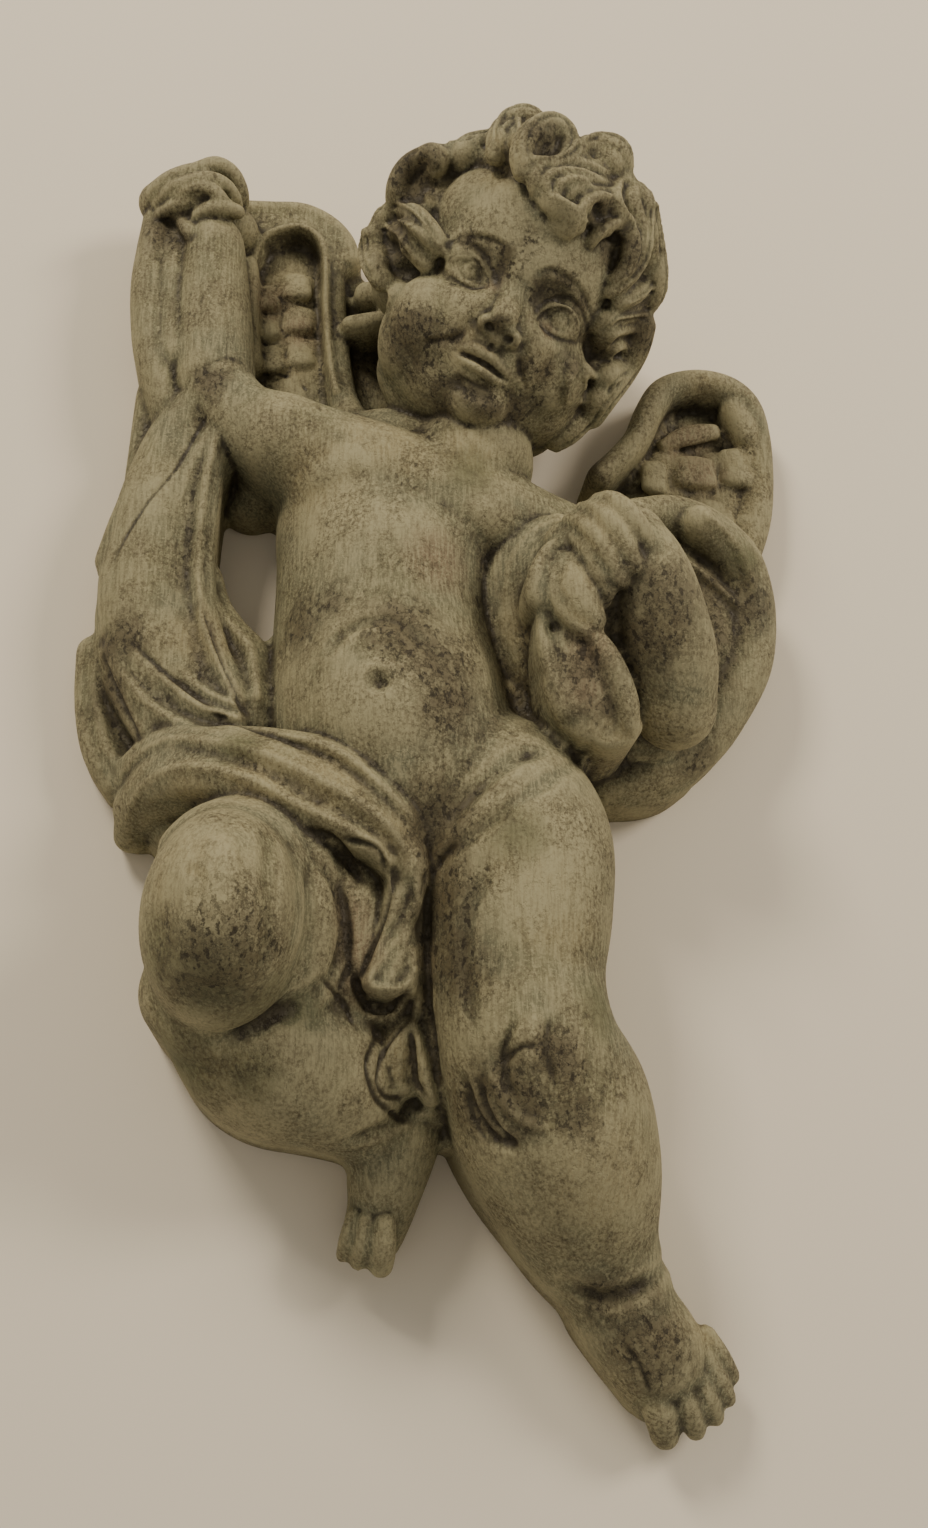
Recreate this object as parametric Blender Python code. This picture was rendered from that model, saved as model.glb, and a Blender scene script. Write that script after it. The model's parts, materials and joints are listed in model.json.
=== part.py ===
"""A cast cherub for a wall: a relief figure with two wings, a length of drapery and a flat back.

The figure is worked out the way a modeller builds up clay. Rounded masses and tapering
strands are laid over one another, melted into one skin, and then modelled with strokes that
sink or raise the skin. The flat back is the wall side, at y = 0.

Places are given in millimetres as (right, up, out): right and up as seen by someone who faces
the wall, and out as the distance in front of it.
"""
import math

import bmesh
import bpy
import numpy as np
from mathutils import Matrix, Vector
from mathutils.bvhtree import BVHTree

# Driving sizes, in metres
TALL = 0.254               # from the toes to the top of the hair
WIDE = 0.144               # from the hanging cloth to the wing
DEEP = 0.058               # from the wall to the front of the face
SKIN = 0.0009              # size of the clay's grain where the masses are melted together
BEHIND = 0.006             # how far the masses reach past the wall before they are cut there
SNAP = 0.00025             # points this near to the wall are moved on to it

FACES = 9200               # triangles of the skin before the back is cut

# The modeller's millimetre, in metres, to the right, up and out: the clay is 144 wide,
# 254 tall and 58 deep in it, so the three sizes above stretch the whole casting
SCALE = np.array((WIDE / 144, TALL / 254, DEEP / 58))
STEP = float(SCALE.mean())
PATINA = (0.205, 0.195, 0.120, 1.0)

# Leftovers of an earlier run
for item in list(bpy.data.objects):
    bpy.data.objects.remove(item, do_unlink=True)


def unit(v):
    """Rows of v made one long."""
    v = np.asarray(v, float)
    return v / np.maximum(np.linalg.norm(v, axis=-1, keepdims=True), 1e-9)


def smooth_path(rows, step=2.0):
    """A curve through the rows: Catmull-Rom spans, cut so that points lie about one step apart.

    Each span blends its four nearest rows by the cubic that passes through the middle two.
    Columns after the third (half width, half thickness) ride along with the place.
    """
    p = np.asarray(rows, float)
    if len(p) == 2:
        n = max(2, int(math.ceil(np.linalg.norm(p[1, :3] - p[0, :3]) / step)))
        t = np.linspace(0, 1, n + 1)[:, None]
        return p[0] + (p[1] - p[0]) * t
    ends = np.vstack([2 * p[0] - p[1], p, 2 * p[-1] - p[-2]])
    ends[0, 3:] = p[0, 3:]
    ends[-1, 3:] = p[-1, 3:]
    out = []
    for a, b, c, d in zip(ends, ends[1:], ends[2:], ends[3:]):
        n = max(2, int(math.ceil(np.linalg.norm(c[:3] - b[:3]) / step)))
        t = (np.arange(n) / n)[:, None]
        out.append(0.5 * (2 * b + (c - a) * t + (2 * a - 5 * b + 4 * c - d) * t ** 2
                          + (3 * b - a - 3 * c + d) * t ** 3))
    out.append(p[-1][None])
    return np.vstack(out)


class Clay:
    """A heap of closed forms that is melted into one skin.

    Where `to_wall` is set, the back half of each form is drawn straight back past the wall, as
    the sides of a relief must be for it to leave its mould.
    """

    def __init__(self, to_wall=False):
        self.heap = bmesh.new()
        self.to_wall = to_wall

    def take(self, form):
        """Add one closed form to the heap."""
        bmesh.ops.recalc_face_normals(form, faces=form.faces)
        if self.to_wall:
            form.normal_update()
            for vert in form.verts:
                if vert.normal.z < -0.1:
                    vert.co.z = min(vert.co.z, -BEHIND / SCALE[2])
        mesh = bpy.data.meshes.new("form")
        form.to_mesh(mesh)
        form.free()
        self.heap.from_mesh(mesh)
        bpy.data.meshes.remove(mesh)

    def ball(self, centre, radii, turn=None):
        """A ball with three radii, along three directions of its own where turn gives them."""
        turn = np.identity(3) if turn is None else np.asarray(turn, float)
        stretch = Matrix((turn * np.asarray(radii, float)[:, None]).T.tolist()).to_4x4()
        form = bmesh.new()
        bmesh.ops.create_uvsphere(form, u_segments=36, v_segments=24, radius=1,
                                  matrix=Matrix.Translation(Vector(centre)) @ stretch)
        self.take(form)

    def strand(self, rows, flat=(0, 0, 1), away=None, beside=0.0, sides=14):
        """A tapering bar with round ends: circles set along a smooth path, and bridged.

        Each row is a place, a half width and, for a flattened bar, a half thickness. The
        thickness lies along `flat`, or points away from `away`, as near as the path allows.
        Past either end the section shrinks as a quarter circle does. `beside` shifts the bar
        sideways by that share of its half width.
        """
        p = smooth_path([row if len(row) == 5 else (*row, row[3]) for row in rows])
        c, w, t = p[:, :3], p[:, 3], p[:, 4]
        along = unit(np.gradient(c, axis=0))
        if away is None:
            flat = np.broadcast_to(np.asarray(flat, float), c.shape)
        else:
            flat = unit(c - np.asarray(away, float))
        up = unit(flat - (flat * along).sum(1, keepdims=True) * along)
        side = np.cross(up, along)
        c = c + side * (beside * w)[:, None]
        turns = np.radians([78, 50, 24])
        rings = [(c[0] - along[0] * min(w[0], t[0]) * np.sin(a), side[0], up[0], along[0],
                  w[0] * np.cos(a), t[0] * np.cos(a)) for a in turns]
        rings += list(zip(c, side, up, along, w, t))
        rings += [(c[-1] + along[-1] * min(w[-1], t[-1]) * np.sin(a), side[-1], up[-1], along[-1],
                   w[-1] * np.cos(a), t[-1] * np.cos(a)) for a in turns[::-1]]
        form = bmesh.new()
        last = None
        for centre, across, rise, ahead, wide, thick in rings:
            set_there = Matrix(np.array([across * wide, rise * thick, -ahead]).T.tolist()).to_4x4()
            set_there.translation = Vector(centre)
            ring = bmesh.ops.create_circle(form, cap_ends=False, radius=1, segments=sides, matrix=set_there)
            edges = list({edge for vert in ring["verts"] for edge in vert.link_edges})
            if last is not None:
                bmesh.ops.bridge_loops(form, edges=last + edges)
            last = edges
        bmesh.ops.holes_fill(form, edges=[edge for edge in form.edges if edge.is_boundary], sides=0)
        self.take(form)

    def lock(self, rows, away):
        """A lock of hair: a low body with a thin crest along the top of it."""
        for sink, wide, thick in [(1.9, 1.15, 1.2), (0.9, 0.95, 0.75), (-0.1, 0.5, 0.55)]:
            bar = []
            for row in rows:
                place = np.asarray(row[:3], float)
                outward = unit(place - np.asarray(away, float))
                bar.append((*(place - sink * outward), row[3] * wide, row[3] * thick))
            self.strand(bar, away=away)


class Frame:
    """A place with directions of its own: right, up and out of a part that leans and nods."""

    def __init__(self, origin, nod, lean):
        a, b = math.radians(nod), math.radians(lean)
        upright = np.array([0, math.cos(a), math.sin(a)])
        across = np.array([1.0, 0, 0])
        self.origin = np.asarray(origin, float)
        self.out = np.array([0, -math.sin(a), math.cos(a)])
        self.right = math.cos(b) * across - math.sin(b) * upright
        self.up = math.sin(b) * across + math.cos(b) * upright
        self.turn = np.array([self.right, self.up, self.out])

    def place(self, rows):
        """Rows whose first three numbers are places in this frame, set into the board's."""
        return [(*(self.origin + np.asarray(row[:3], float) @ self.turn), *row[3:]) for row in rows]


def new_object(name, clay):
    """The heap of clay as an object, from millimetres (right, up, out) to metres (x, y, z)."""
    right, up, out = SCALE
    stand_up = Matrix(((right, 0, 0, 0), (0, 0, -out, 0), (0, up, 0, 0), (0, 0, 0, 1)))
    clay.heap.transform(stand_up)
    mesh = bpy.data.meshes.new(name)
    clay.heap.to_mesh(mesh)
    clay.heap.free()
    thing = bpy.data.objects.new(name, mesh)
    bpy.context.scene.collection.objects.link(thing)
    return thing


def settle(thing):
    """The object's mesh as its modifiers leave it, with the modifiers spent."""
    graph = bpy.context.evaluated_depsgraph_get()
    mesh = bpy.data.meshes.new_from_object(thing.evaluated_get(graph))
    thing.modifiers.clear()
    thing.data = mesh
    return thing


def melt(thing, grain, soften):
    """Melt overlapping forms into one skin, and rub it smooth."""
    skin = thing.modifiers.new("skin", "REMESH")
    skin.mode = "VOXEL"
    skin.voxel_size = grain * STEP
    if soften:
        rub = thing.modifiers.new("rub", "SMOOTH")
        rub.factor = 0.5
        rub.iterations = soften
    return settle(thing)


class Skin:
    """The melted skin as rows of places in millimetres (right, up, out)."""

    def __init__(self, thing):
        self.thing = thing
        mesh = thing.data
        n = len(mesh.vertices)
        flat = np.empty(n * 3, np.float32)
        mesh.vertices.foreach_get("co", flat)
        p = flat.reshape(-1, 3).astype(float)
        self.p = np.stack([p[:, 0], p[:, 2], -p[:, 1]], 1) / SCALE
        self.look()

    def look(self):
        """Read the skin's normals and the tree that finds points on it."""
        mesh = self.thing.data
        p = self.p * SCALE
        place = np.stack([p[:, 0], -p[:, 2], p[:, 1]], 1)
        mesh.vertices.foreach_set("co", place.astype(np.float32).ravel())
        mesh.update()
        n = np.empty(len(p) * 3, np.float32)
        mesh.vertex_normals.foreach_get("vector", n)
        n = n.reshape(-1, 3)
        self.n = np.stack([n[:, 0], n[:, 2], -n[:, 1]], 1)
        self.tree = None

    def find(self, right, up, frame=None):
        """The place on the skin met first when coming in from the front, and its normal."""
        if self.tree is None:
            faces = [tuple(f.vertices) for f in self.thing.data.polygons]
            self.tree = BVHTree.FromPolygons(self.p.tolist(), faces)
        if frame is None:
            start, way = Vector((right, up, 200)), Vector((0, 0, -1))
        else:
            start = Vector(frame.place([(right, up, 90)])[0])
            way = Vector(-frame.out)
        spot, normal, _, _ = self.tree.ray_cast(start, way)
        return spot, normal

    def lay(self, rows, lift=0.0, frame=None):
        """Rows of (right, up, ...) dropped onto the skin, lifted along its normal."""
        out = []
        for row in rows:
            spot, normal = self.find(row[0], row[1], frame)
            if spot is None:
                continue
            out.append([*(spot + normal * lift), *row[2:]])
        return out

    def stroke(self, rows, half_width, depth, frame=None, laid=False):
        """Sink a groove along a path drawn on the skin, or raise a ridge where depth is negative.

        A point at distance q half widths from the path moves by depth * (1 - q * q) squared
        along the normal, and the depth fades out to the two ends.
        """
        path = rows if laid else self.lay(rows, frame=frame)
        if len(path) < 2:
            return
        path = smooth_path([r[:3] for r in path], 1.5)
        low = path.min(0) - half_width
        high = path.max(0) + half_width
        near = np.where(((self.p > low) & (self.p < high)).all(1))[0]
        if not len(near):
            return
        q = self.p[near]
        best = np.full(len(near), 1e9)
        share = np.zeros(len(near))
        for i, (a, b) in enumerate(zip(path, path[1:])):
            ab = b - a
            t = np.clip((q - a) @ ab / max(ab @ ab, 1e-9), 0, 1)
            d = np.linalg.norm(q - a - t[:, None] * ab, axis=1)
            closer = d < best
            best[closer] = d[closer]
            share[closer] = (i + t[closer]) / (len(path) - 1)
        fade = np.clip(np.minimum(share, 1 - share) * 5 + 0.25, 0, 1)
        fall = np.clip(1 - (best / half_width) ** 2, 0, 1) ** 2
        self.p[near] -= self.n[near] * (depth * fall * fade)[:, None]

    def press(self, centre, radii, depth, frame=None):
        """Press a dent, or raise a swelling where depth is negative, inside an ellipsoid."""
        q = self.p if frame is None else (self.p - frame.origin) @ frame.turn.T
        q = (q - np.asarray(centre, float)) / np.asarray(radii, float)
        fall = np.clip(1 - (q * q).sum(1), 0, 1) ** 2
        self.p -= self.n * (depth * fall)[:, None]


# The head's own directions: where its middle is, how far it nods forward and leans to its left
HEAD = Frame((19.5, 46.5, 28), nod=23, lean=21)

# The eyes, their lids and the lips in the head's own frame
EYES = [(-9.7, -3.1), (10.2, -4.3)]
UPPER_LIDS = [
    [(-14.4, -3.4, 13.6, 0.6), (-13.8, -1.8, 14.9, 0.8), (-12.7, -0.7, 15.9, 0.9), (-11.2, -0.1, 16.5, 0.9),
     (-9.5, -0.3, 16.8, 0.9), (-7.8, -1.2, 16.8, 0.9), (-6.3, -2.5, 16.6, 0.8), (-4.8, -4.2, 16.4, 0.6)],
    [(5.8, -5, 16.3, 0.6), (6.6, -3.5, 16.6, 0.8), (7.7, -2.3, 16.8, 0.9), (9.1, -1.5, 16.8, 0.9),
     (10.8, -1.2, 16.5, 0.9), (12.4, -1.6, 15.7, 0.9), (13.7, -2.4, 14.6, 0.8), (14.9, -3.8, 13, 0.6)],
]
LOWER_LIDS = [
    [(-13.9, -4.2, 14, 0.5), (-12.2, -5.4, 15.2, 0.7), (-10.3, -6, 15.9, 0.8), (-8.4, -6, 16.1, 0.8),
     (-6.5, -5.6, 16.2, 0.7), (-4.8, -5, 16.3, 0.5)],
    [(6.1, -5.7, 16.2, 0.5), (7.8, -6.5, 16.1, 0.7), (9.6, -7.1, 15.9, 0.8), (11.4, -7, 15.5, 0.8),
     (13, -6.4, 14.5, 0.7), (14.6, -5.2, 12.9, 0.5)],
]
LID_FOLDS = [
    [(-15.3, -1.9), (-14.3, 0.2), (-12.5, 1.3), (-10, 1.2), (-7.5, 0.2), (-5.5, -1.6)],
    [(4.9, -3.6), (5.5, -1.8), (6.9, -0.6), (9, 0.1), (11.5, 0.1), (13.9, -0.5), (15.5, -1.9)],
    [(-12.8, -6.7), (-10, -7.4), (-7, -7.2)],
    [(7.6, -7.8), (10, -8.5), (12.8, -7.9)],
]
LIPS = [
    [(-6.3, -18.9, 16.4, 0.6), (-4.6, -17.9, 18.2, 1), (-2.4, -17.4, 19.3, 1.2), (-0.8, -17.7, 19.6, 1.1),
     (1, -17.6, 19.5, 1.2), (3.4, -18.3, 18.7, 1.1), (5.4, -19.2, 17.3, 0.9), (6.9, -20, 15.8, 0.6)],
    [(-5.6, -19.2, 16.8, 0.5), (-3.6, -18.9, 18.4, 0.6), (-1.6, -18.9, 19.2, 0.7), (0.6, -19.2, 19.3, 0.7),
     (2.6, -19.6, 18.7, 0.6), (4.2, -20, 17.8, 0.5)],
    [(-4.6, -20.9, 16.9, 0.8), (-2.2, -21.7, 18, 1.1), (0.4, -22.1, 18.4, 1.2), (2.8, -22.2, 17.9, 1.1),
     (4.8, -21.6, 16.7, 0.8)],
]

# Ridges of hair in the head's own frame: right, up, out and half width
SIDE_LOCKS = [
    [(-26.8, 17.4, 6.9, 3), (-29.2, 14.6, 3.5, 3.6), (-29.3, 10.9, 2.6, 3.8), (-27.7, 8.9, -0.4, 3)],
    [(-24.5, 20.5, 5.3, 1.3), (-24.4, 18.3, 5.4, 1.6), (-24.5, 16.3, 3.9, 1.7), (-24.8, 13.8, 3, 1.6),
     (-24.6, 11.6, 2.1, 1.5), (-23.2, 8.9, 4, 1.2)],
    [(-25.2, 20.1, 5.5, 1.3), (-27.9, 18.4, 4.4, 1.4), (-30, 14.9, 5.9, 1.4), (-31.4, 12.8, 2.9, 1.4),
     (-31.5, 9.7, 1.7, 1.3), (-30.6, 6.9, 2, 1.2)],
    [(-27.2, 12.6, 3.3, 0.7), (-25.1, 12.2, 2.4, 0.8), (-23.1, 8.8, 7.9, 0.8)],
    [(-28.5, -6.6, 4.5, 1.7), (-30.5, -2.4, -0.2, 1.7), (-31.5, 2, -1.4, 1.8), (-31, 5.2, -0.3, 1.9),
     (-28.8, 7.1, 1, 1.8), (-25.2, 4.1, 11, 1.7), (-22.1, 2.3, 14.1, 1.5), (-19.6, 0.8, 14.6, 1.4),
     (-17, -1.1, 14.5, 1.2)],
    [(-29.5, 1.4, -0.8, 1.5), (-28.6, 2.9, -0.6, 1.7), (-25.3, -1.3, 9.9, 2), (-22.4, -2.8, 11.3, 2),
     (-19.8, -4.5, 11.8, 1.7)],
    [(-26.5, 1.4, 9.8, 1.1), (-23.7, 0.2, 13.7, 1.2), (-21, -0.8, 14.7, 1.2), (-18.8, -1.9, 13.7, 1.1)],
    [(-32.3, 0.1, -1, 2), (-31.3, -3, -2.2, 2.2), (-29.1, -7.6, 3.9, 2.2), (-26.5, -9.8, 5.1, 2)],
    [(14.6, 29.2, 10, 1.7), (17.4, 27.1, 9.3, 1.8), (19.2, 22.5, 11.6, 1.8), (20.6, 17.9, 13.2, 1.8),
     (21.2, 14.2, 13, 1.7), (20.3, 10, 14.2, 1.5), (18.5, 6.4, 14.6, 1.2)],
    [(17.1, 18.2, 15.6, 1.3), (18.7, 15, 15.9, 1.4), (19, 11.8, 15.4, 1.3), (18.3, 8.9, 15.4, 1.1)],
    [(18.7, 26.7, 10.7, 1.6), (21.4, 24, 8, 1.8), (24.2, 20.4, 6.8, 1.9), (26.6, 16.4, 6.3, 2),
     (27.9, 13, 4.1, 2), (27.1, 9.9, 2.7, 1.8), (23.6, 5.3, 8.7, 1.6), (20.4, 2, 12.2, 1.4),
     (19.3, -0.4, 11.1, 1.2)],
    [(23.8, 18.1, 6.5, 1.5), (25.1, 15.1, 4.8, 1.6), (23.8, 9.5, 10.3, 1.6), (21.4, 5.7, 13.1, 1.4)],
    [(27.2, 6.6, 1.1, 1.2), (24.7, 3.5, 5.9, 1.4), (21.9, -0.1, 10.8, 1.4), (21.4, -1.8, 9, 1.3),
     (21.3, -3.3, 5.1, 1.1)],
    [(27.9, 4, 1.7, 1.4), (26.5, 2.8, 0.3, 1.5), (23.9, -1.1, 6.5, 1.5), (22.8, -3, 5, 1.3),
     (21.9, -4.2, 1.4, 1.1)],
    [(28.1, 0.9, 0.9, 1.5), (27, -0, -1, 1.6), (25.1, -1.9, -1.5, 1.5), (23, -6.5, 5.1, 1.3)],
    [(27.9, -2.9, 0.3, 1.6), (26.1, -6.9, 6.4, 1.7), (25.3, -9.3, 5.4, 1.6), (25, -11.7, 4.5, 1.4)],
    [(26.7, -9.3, 4.6, 1.8), (25.7, -12.6, 5.1, 2), (25, -15.8, 1.7, 2.2), (23.4, -20.3, 2.3, 2.2),
     (20.9, -23.5, 1.3, 2.2)],
    [(11.6, 29.1, 10.6, 2.6), (13.5, 26.3, 8.1, 2.6), (17, 23.1, 6.9, 2.6), (19.6, 18.9, 6.1, 2.6),
     (20.2, 12, 10.3, 2.4)],
    [(16.4, 28, 9.6, 2.8), (20, 23.5, 8.7, 3), (23.1, 18.4, 6, 3), (24.4, 13.4, 4.2, 3),
     (22.2, 7.1, 7.8, 2.4)],
    [(14.8, 20.4, 15.9, 1), (17, 18.4, 14.9, 1.1), (18.6, 15.3, 14.8, 1.1), (18.9, 11.8, 14.8, 1.1),
     (18.3, 8.3, 14.5, 1)],
    [(28.6, 7.4, 2.1, 2.6), (29.4, 3, -0.4, 3), (28.9, -2.2, -2.1, 3.2), (26.9, -10, 3.1, 3.2),
     (26.1, -14.9, 1.1, 3)],
]
TOP_LOCKS = [
    [(-21.6, 22.5, 6.6, 1.7), (-22.5, 20.1, 5.5, 1.5), (-22.6, 17.5, 4.2, 1.4),
     (-23.1, 14.4, 3.1, 1.2), (-23.5, 12, 1.9, 0.9)],
    [(-20.3, 23.5, 6.7, 1.7), (-20.6, 20.7, 5.8, 1.4), (-19.9, 18.3, 4.4, 1.2), (-19.7, 15.1, 5.6, 0.8)],
    [(-23.2, 21.4, 6.2, 1.5), (-24.2, 19, 4.6, 1.3)],
    [(-21, 21.3, 6.6, 3), (-17.1, 23.5, 6.4, 3.4), (-13.1, 25.1, 7.3, 3.4), (-10, 26, 7.4, 3)],
    [(-19.8, 21.8, 5.8, 1.8), (-16.4, 22.3, 8.3, 2.1), (-13.1, 21.9, 13.4, 2.1),
     (-10.2, 22.9, 14.2, 1.8)],
    [(-20.6, 23.4, 6.6, 2.3), (-17.6, 25.1, 7.8, 2.3), (-14.6, 26.3, 7.8, 2.2)],
    [(-15, 20.4, 16.4, 1.6), (-16, 23.5, 15.1, 1.8), (-15.9, 29.1, 9.5, 2), (-14, 31.3, 10.6, 2.1),
     (-11.3, 32.4, 11, 2), (-8.7, 32.3, 10.7, 1.6)],
    [(-14.3, 24, 13.5, 1.6), (-14.1, 26.6, 13.1, 1.8), (-12.9, 28.9, 11.7, 1.9),
     (-11.4, 23.7, 17.8, 1.8)],
    [(-8.5, 18, 21.7, 1.8), (-10, 20.7, 21, 2.1), (-10.2, 24.4, 20.1, 2.3), (-8.8, 28.1, 18.6, 2.4),
     (-6.1, 30.6, 16.4, 2.4), (-3.2, 30.4, 15.8, 2.3), (-1, 27.7, 17.2, 2), (-1.7, 23.7, 19.8, 1.7),
     (-4.1, 20.9, 21, 1.7), (-6.9, 19.4, 21.4, 1.7)],
    [(-8, 21.5, 20, 1.5), (-8.5, 24.8, 19, 1.6), (-6.9, 27.3, 18.7, 1.5)],
    [(-6.8, 24.3, 15.8, 3.4), (-4.6, 28.5, 12.8, 3.6), (-2.7, 26.8, 14.9, 3)],
    [(-0.4, 27.4, 18, 1.8), (2.1, 32.9, 11.3, 2.1), (5.2, 34.2, 11.8, 2.2), (8.2, 34.2, 11.4, 2.2),
     (10.2, 32.7, 10.5, 2.1), (10.4, 30.1, 10.2, 1.8)],
    [(-0.6, 24.9, 17.7, 1.4), (2.7, 26.2, 16.1, 1.5), (6.3, 27.8, 12.8, 1.5), (9.6, 29.2, 9.2, 1.4)],
    [(0.7, 30.1, 9.5, 2.6), (4, 31.1, 10.6, 3.4), (7.4, 31.2, 11.3, 3.2)],
]
FORELOCKS = [
    [(-4, 14.8, 22.3, 1), (-5.5, 16.2, 22.5, 1.2), (-5.2, 18.8, 21.6, 1.3), (-3, 21.3, 20.9, 1.3),
     (0.5, 23.8, 19.1, 1.3), (4.6, 25.5, 16.7, 1.3), (8.3, 27, 12.3, 1.2)],
    [(-2.2, 14.5, 23.6, 1), (-3.3, 16.6, 23.3, 1.2), (-2, 19.1, 22.8, 1.2), (1.3, 21.3, 21.6, 1.2),
     (5.3, 22.7, 19.3, 1.2), (8.2, 22.9, 16.7, 1)],
    [(-0.3, 14.8, 23.8, 1), (-0.6, 16.4, 23.9, 1.1), (1, 18.7, 23.4, 1.2), (4.2, 19.8, 22, 1.1),
     (6.5, 19.6, 20, 1)],
    [(2, 15.4, 23.4, 1), (2.7, 17.6, 23, 1), (4.7, 17.7, 22.1, 0.9)],
    [(-2.4, 18.1, 20.8, 3), (1, 18.8, 21, 3.2), (4.8, 21.2, 18.7, 3.2), (8, 24.7, 13.1, 2.6)],
    [(-1, 14.6, 21.6, 2), (2.2, 15, 21.6, 2.6), (5, 15.9, 20.7, 2.6), (8, 19.3, 17.8, 2.6),
     (11.2, 21.9, 14.3, 2.4)],
    [(-4, 15.6, 21.8, 1.1), (-1.6, 13.6, 23.5, 1.2), (1.1, 12.8, 24.1, 1.3), (3.7, 12.5, 24, 1.3),
     (5.4, 11.8, 23.2, 1.3), (4.9, 10.5, 22.6, 1.2), (2.8, 10.3, 22.5, 1.1), (1.1, 11, 22.2, 1)],
    [(-0.4, 13.8, 24.5, 1.1), (2.2, 13.5, 24.7, 1.2), (4.9, 13.5, 23.9, 1.2), (6.8, 12.9, 22.4, 1.1)],
    [(6.5, 12.6, 22.3, 1.1), (5.3, 14, 23.7, 1.2), (5.8, 16.5, 23.4, 1.3), (7.6, 19.3, 21.2, 1.4),
     (10.2, 20.9, 18.2, 1.3), (12.1, 20.4, 15.9, 1.2), (11.9, 18, 16.7, 1)],
    [(10.5, 12.1, 19.9, 1), (10.8, 14.1, 20.2, 1.2), (12.4, 16.8, 18.5, 1.4), (14.9, 19.6, 13.4, 1.3),
     (16.8, 20.2, 8.5, 1.2), (16.1, 17, 11.5, 1)],
    [(10.4, 27, 12.9, 1.2), (10.8, 22, 18.2, 1.3), (12.8, 20.3, 17.6, 1.3), (15.5, 20, 14.5, 1.2),
     (17.8, 19.8, 9.8, 1.1)],
    [(12.7, 29.5, 10.1, 1.4), (14.2, 25.6, 13.4, 1.5), (16.1, 23.4, 13.1, 1.5), (17.8, 20.7, 13.1, 1.3)],
]
# What shows of the two ears
EARS = [
    [(20.2, -9.5, 11.4, 1), (23, -8.6, 4.4, 1.1), (23.9, -10.9, 3.8, 1.1), (23, -12.8, 3.5, 1),
     (20.5, -15, 7.9, 0.9)],
    [(17.4, -10.7, 14.4, 0.9), (17.2, -13.8, 14.4, 1), (17.9, -16.3, 12.4, 1), (19.3, -17.9, 7.1, 0.9)],
    [(19.5, -10.7, 11.6, 0.9), (21, -11.8, 8.2, 0.9)],
    [(24.3, -13.5, 3.1, 1.2), (23.2, -15.6, 2, 1.3), (21.4, -17.5, 1.7, 1.2)],
    [(-23.5, -8.9, 4.1, 1.4), (-21.5, -12, 7.9, 1.9), (-21.2, -13.9, 5.9, 1.6)],
]
# The left wing: its top, the arch, the walls of the sunken place, and a piece beside the head
LEFT_ARCH = [
    [(-36.5, 81.2, 8, 3, 5), (-30.1, 81.3, 8, 3.4, 5), (-24.1, 81.5, 8, 3.6, 5),
     (-18.9, 79.2, 8, 3.6, 5), (-15.1, 75.6, 7.5, 3.4, 5), (-13.4, 70.7, 7, 3.2, 5)],
    [(-35, 68.2, 7.2, 3.6, 4), (-33.5, 73, 7.8, 4.2, 4.2), (-29.6, 75.9, 8.2, 4.4, 4.2),
     (-24.8, 77.6, 8.4, 4.4, 4.2), (-20.3, 76.1, 8.2, 4.2, 4.2), (-17.3, 72.2, 8, 3.8, 4),
     (-16, 67.3, 7.4, 3.4, 4)],
    [(-17.2, 69, 8.5, 2.7, 3.2), (-16.7, 61.6, 8.2, 2.8, 3.2), (-15.9, 50.9, 8.4, 2.9, 3.2),
     (-14.8, 39.4, 10, 3, 3.2), (-13.7, 31, 12, 3, 3.2)],
    [(-34.8, 65.3, 8, 2, 4), (-33.9, 57.3, 8, 2, 4), (-33.4, 46.9, 8, 2, 4), (-32.5, 39, 9, 2, 4)],
    [(-31.3, 65.8, 8.5, 1.4), (-29.1, 68.3, 8.8, 1.6), (-26.1, 70.5, 8.8, 1.8), (-23.2, 71, 8.6, 1.6),
     (-21.4, 68.8, 8.2, 1.4)],
    [(-12.2, 49.8, 12, 3, 3.4), (-9.2, 49.8, 13, 3.2, 3.4), (-6.2, 50.9, 13, 3, 3.4)],
]
RIGHT_RIM = [
    [(41.4, 16.8, 10.5, 3, 4), (45.5, 21.1, 10.5, 3, 4), (49.9, 27, 10.5, 3, 4),
     (53.1, 34.5, 10.5, 3.2, 4), (56.9, 40.1, 10, 3.4, 4), (64, 42.9, 9.5, 3.4, 4),
     (71, 42.1, 9, 3.6, 4), (75.6, 38.7, 8, 3.8, 3.6), (77.5, 31.7, 7, 3.8, 3),
     (77.5, 21.7, 6.6, 3.8, 3), (76.1, 11.5, 6.6, 3.8, 3), (72.7, 1.5, 6.6, 3.8, 3)],
    [(72.5, 37.7, 9, 3, 3), (74.3, 34, 9, 3.4, 3), (74.9, 31.5, 8.5, 3, 3)],
]
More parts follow.
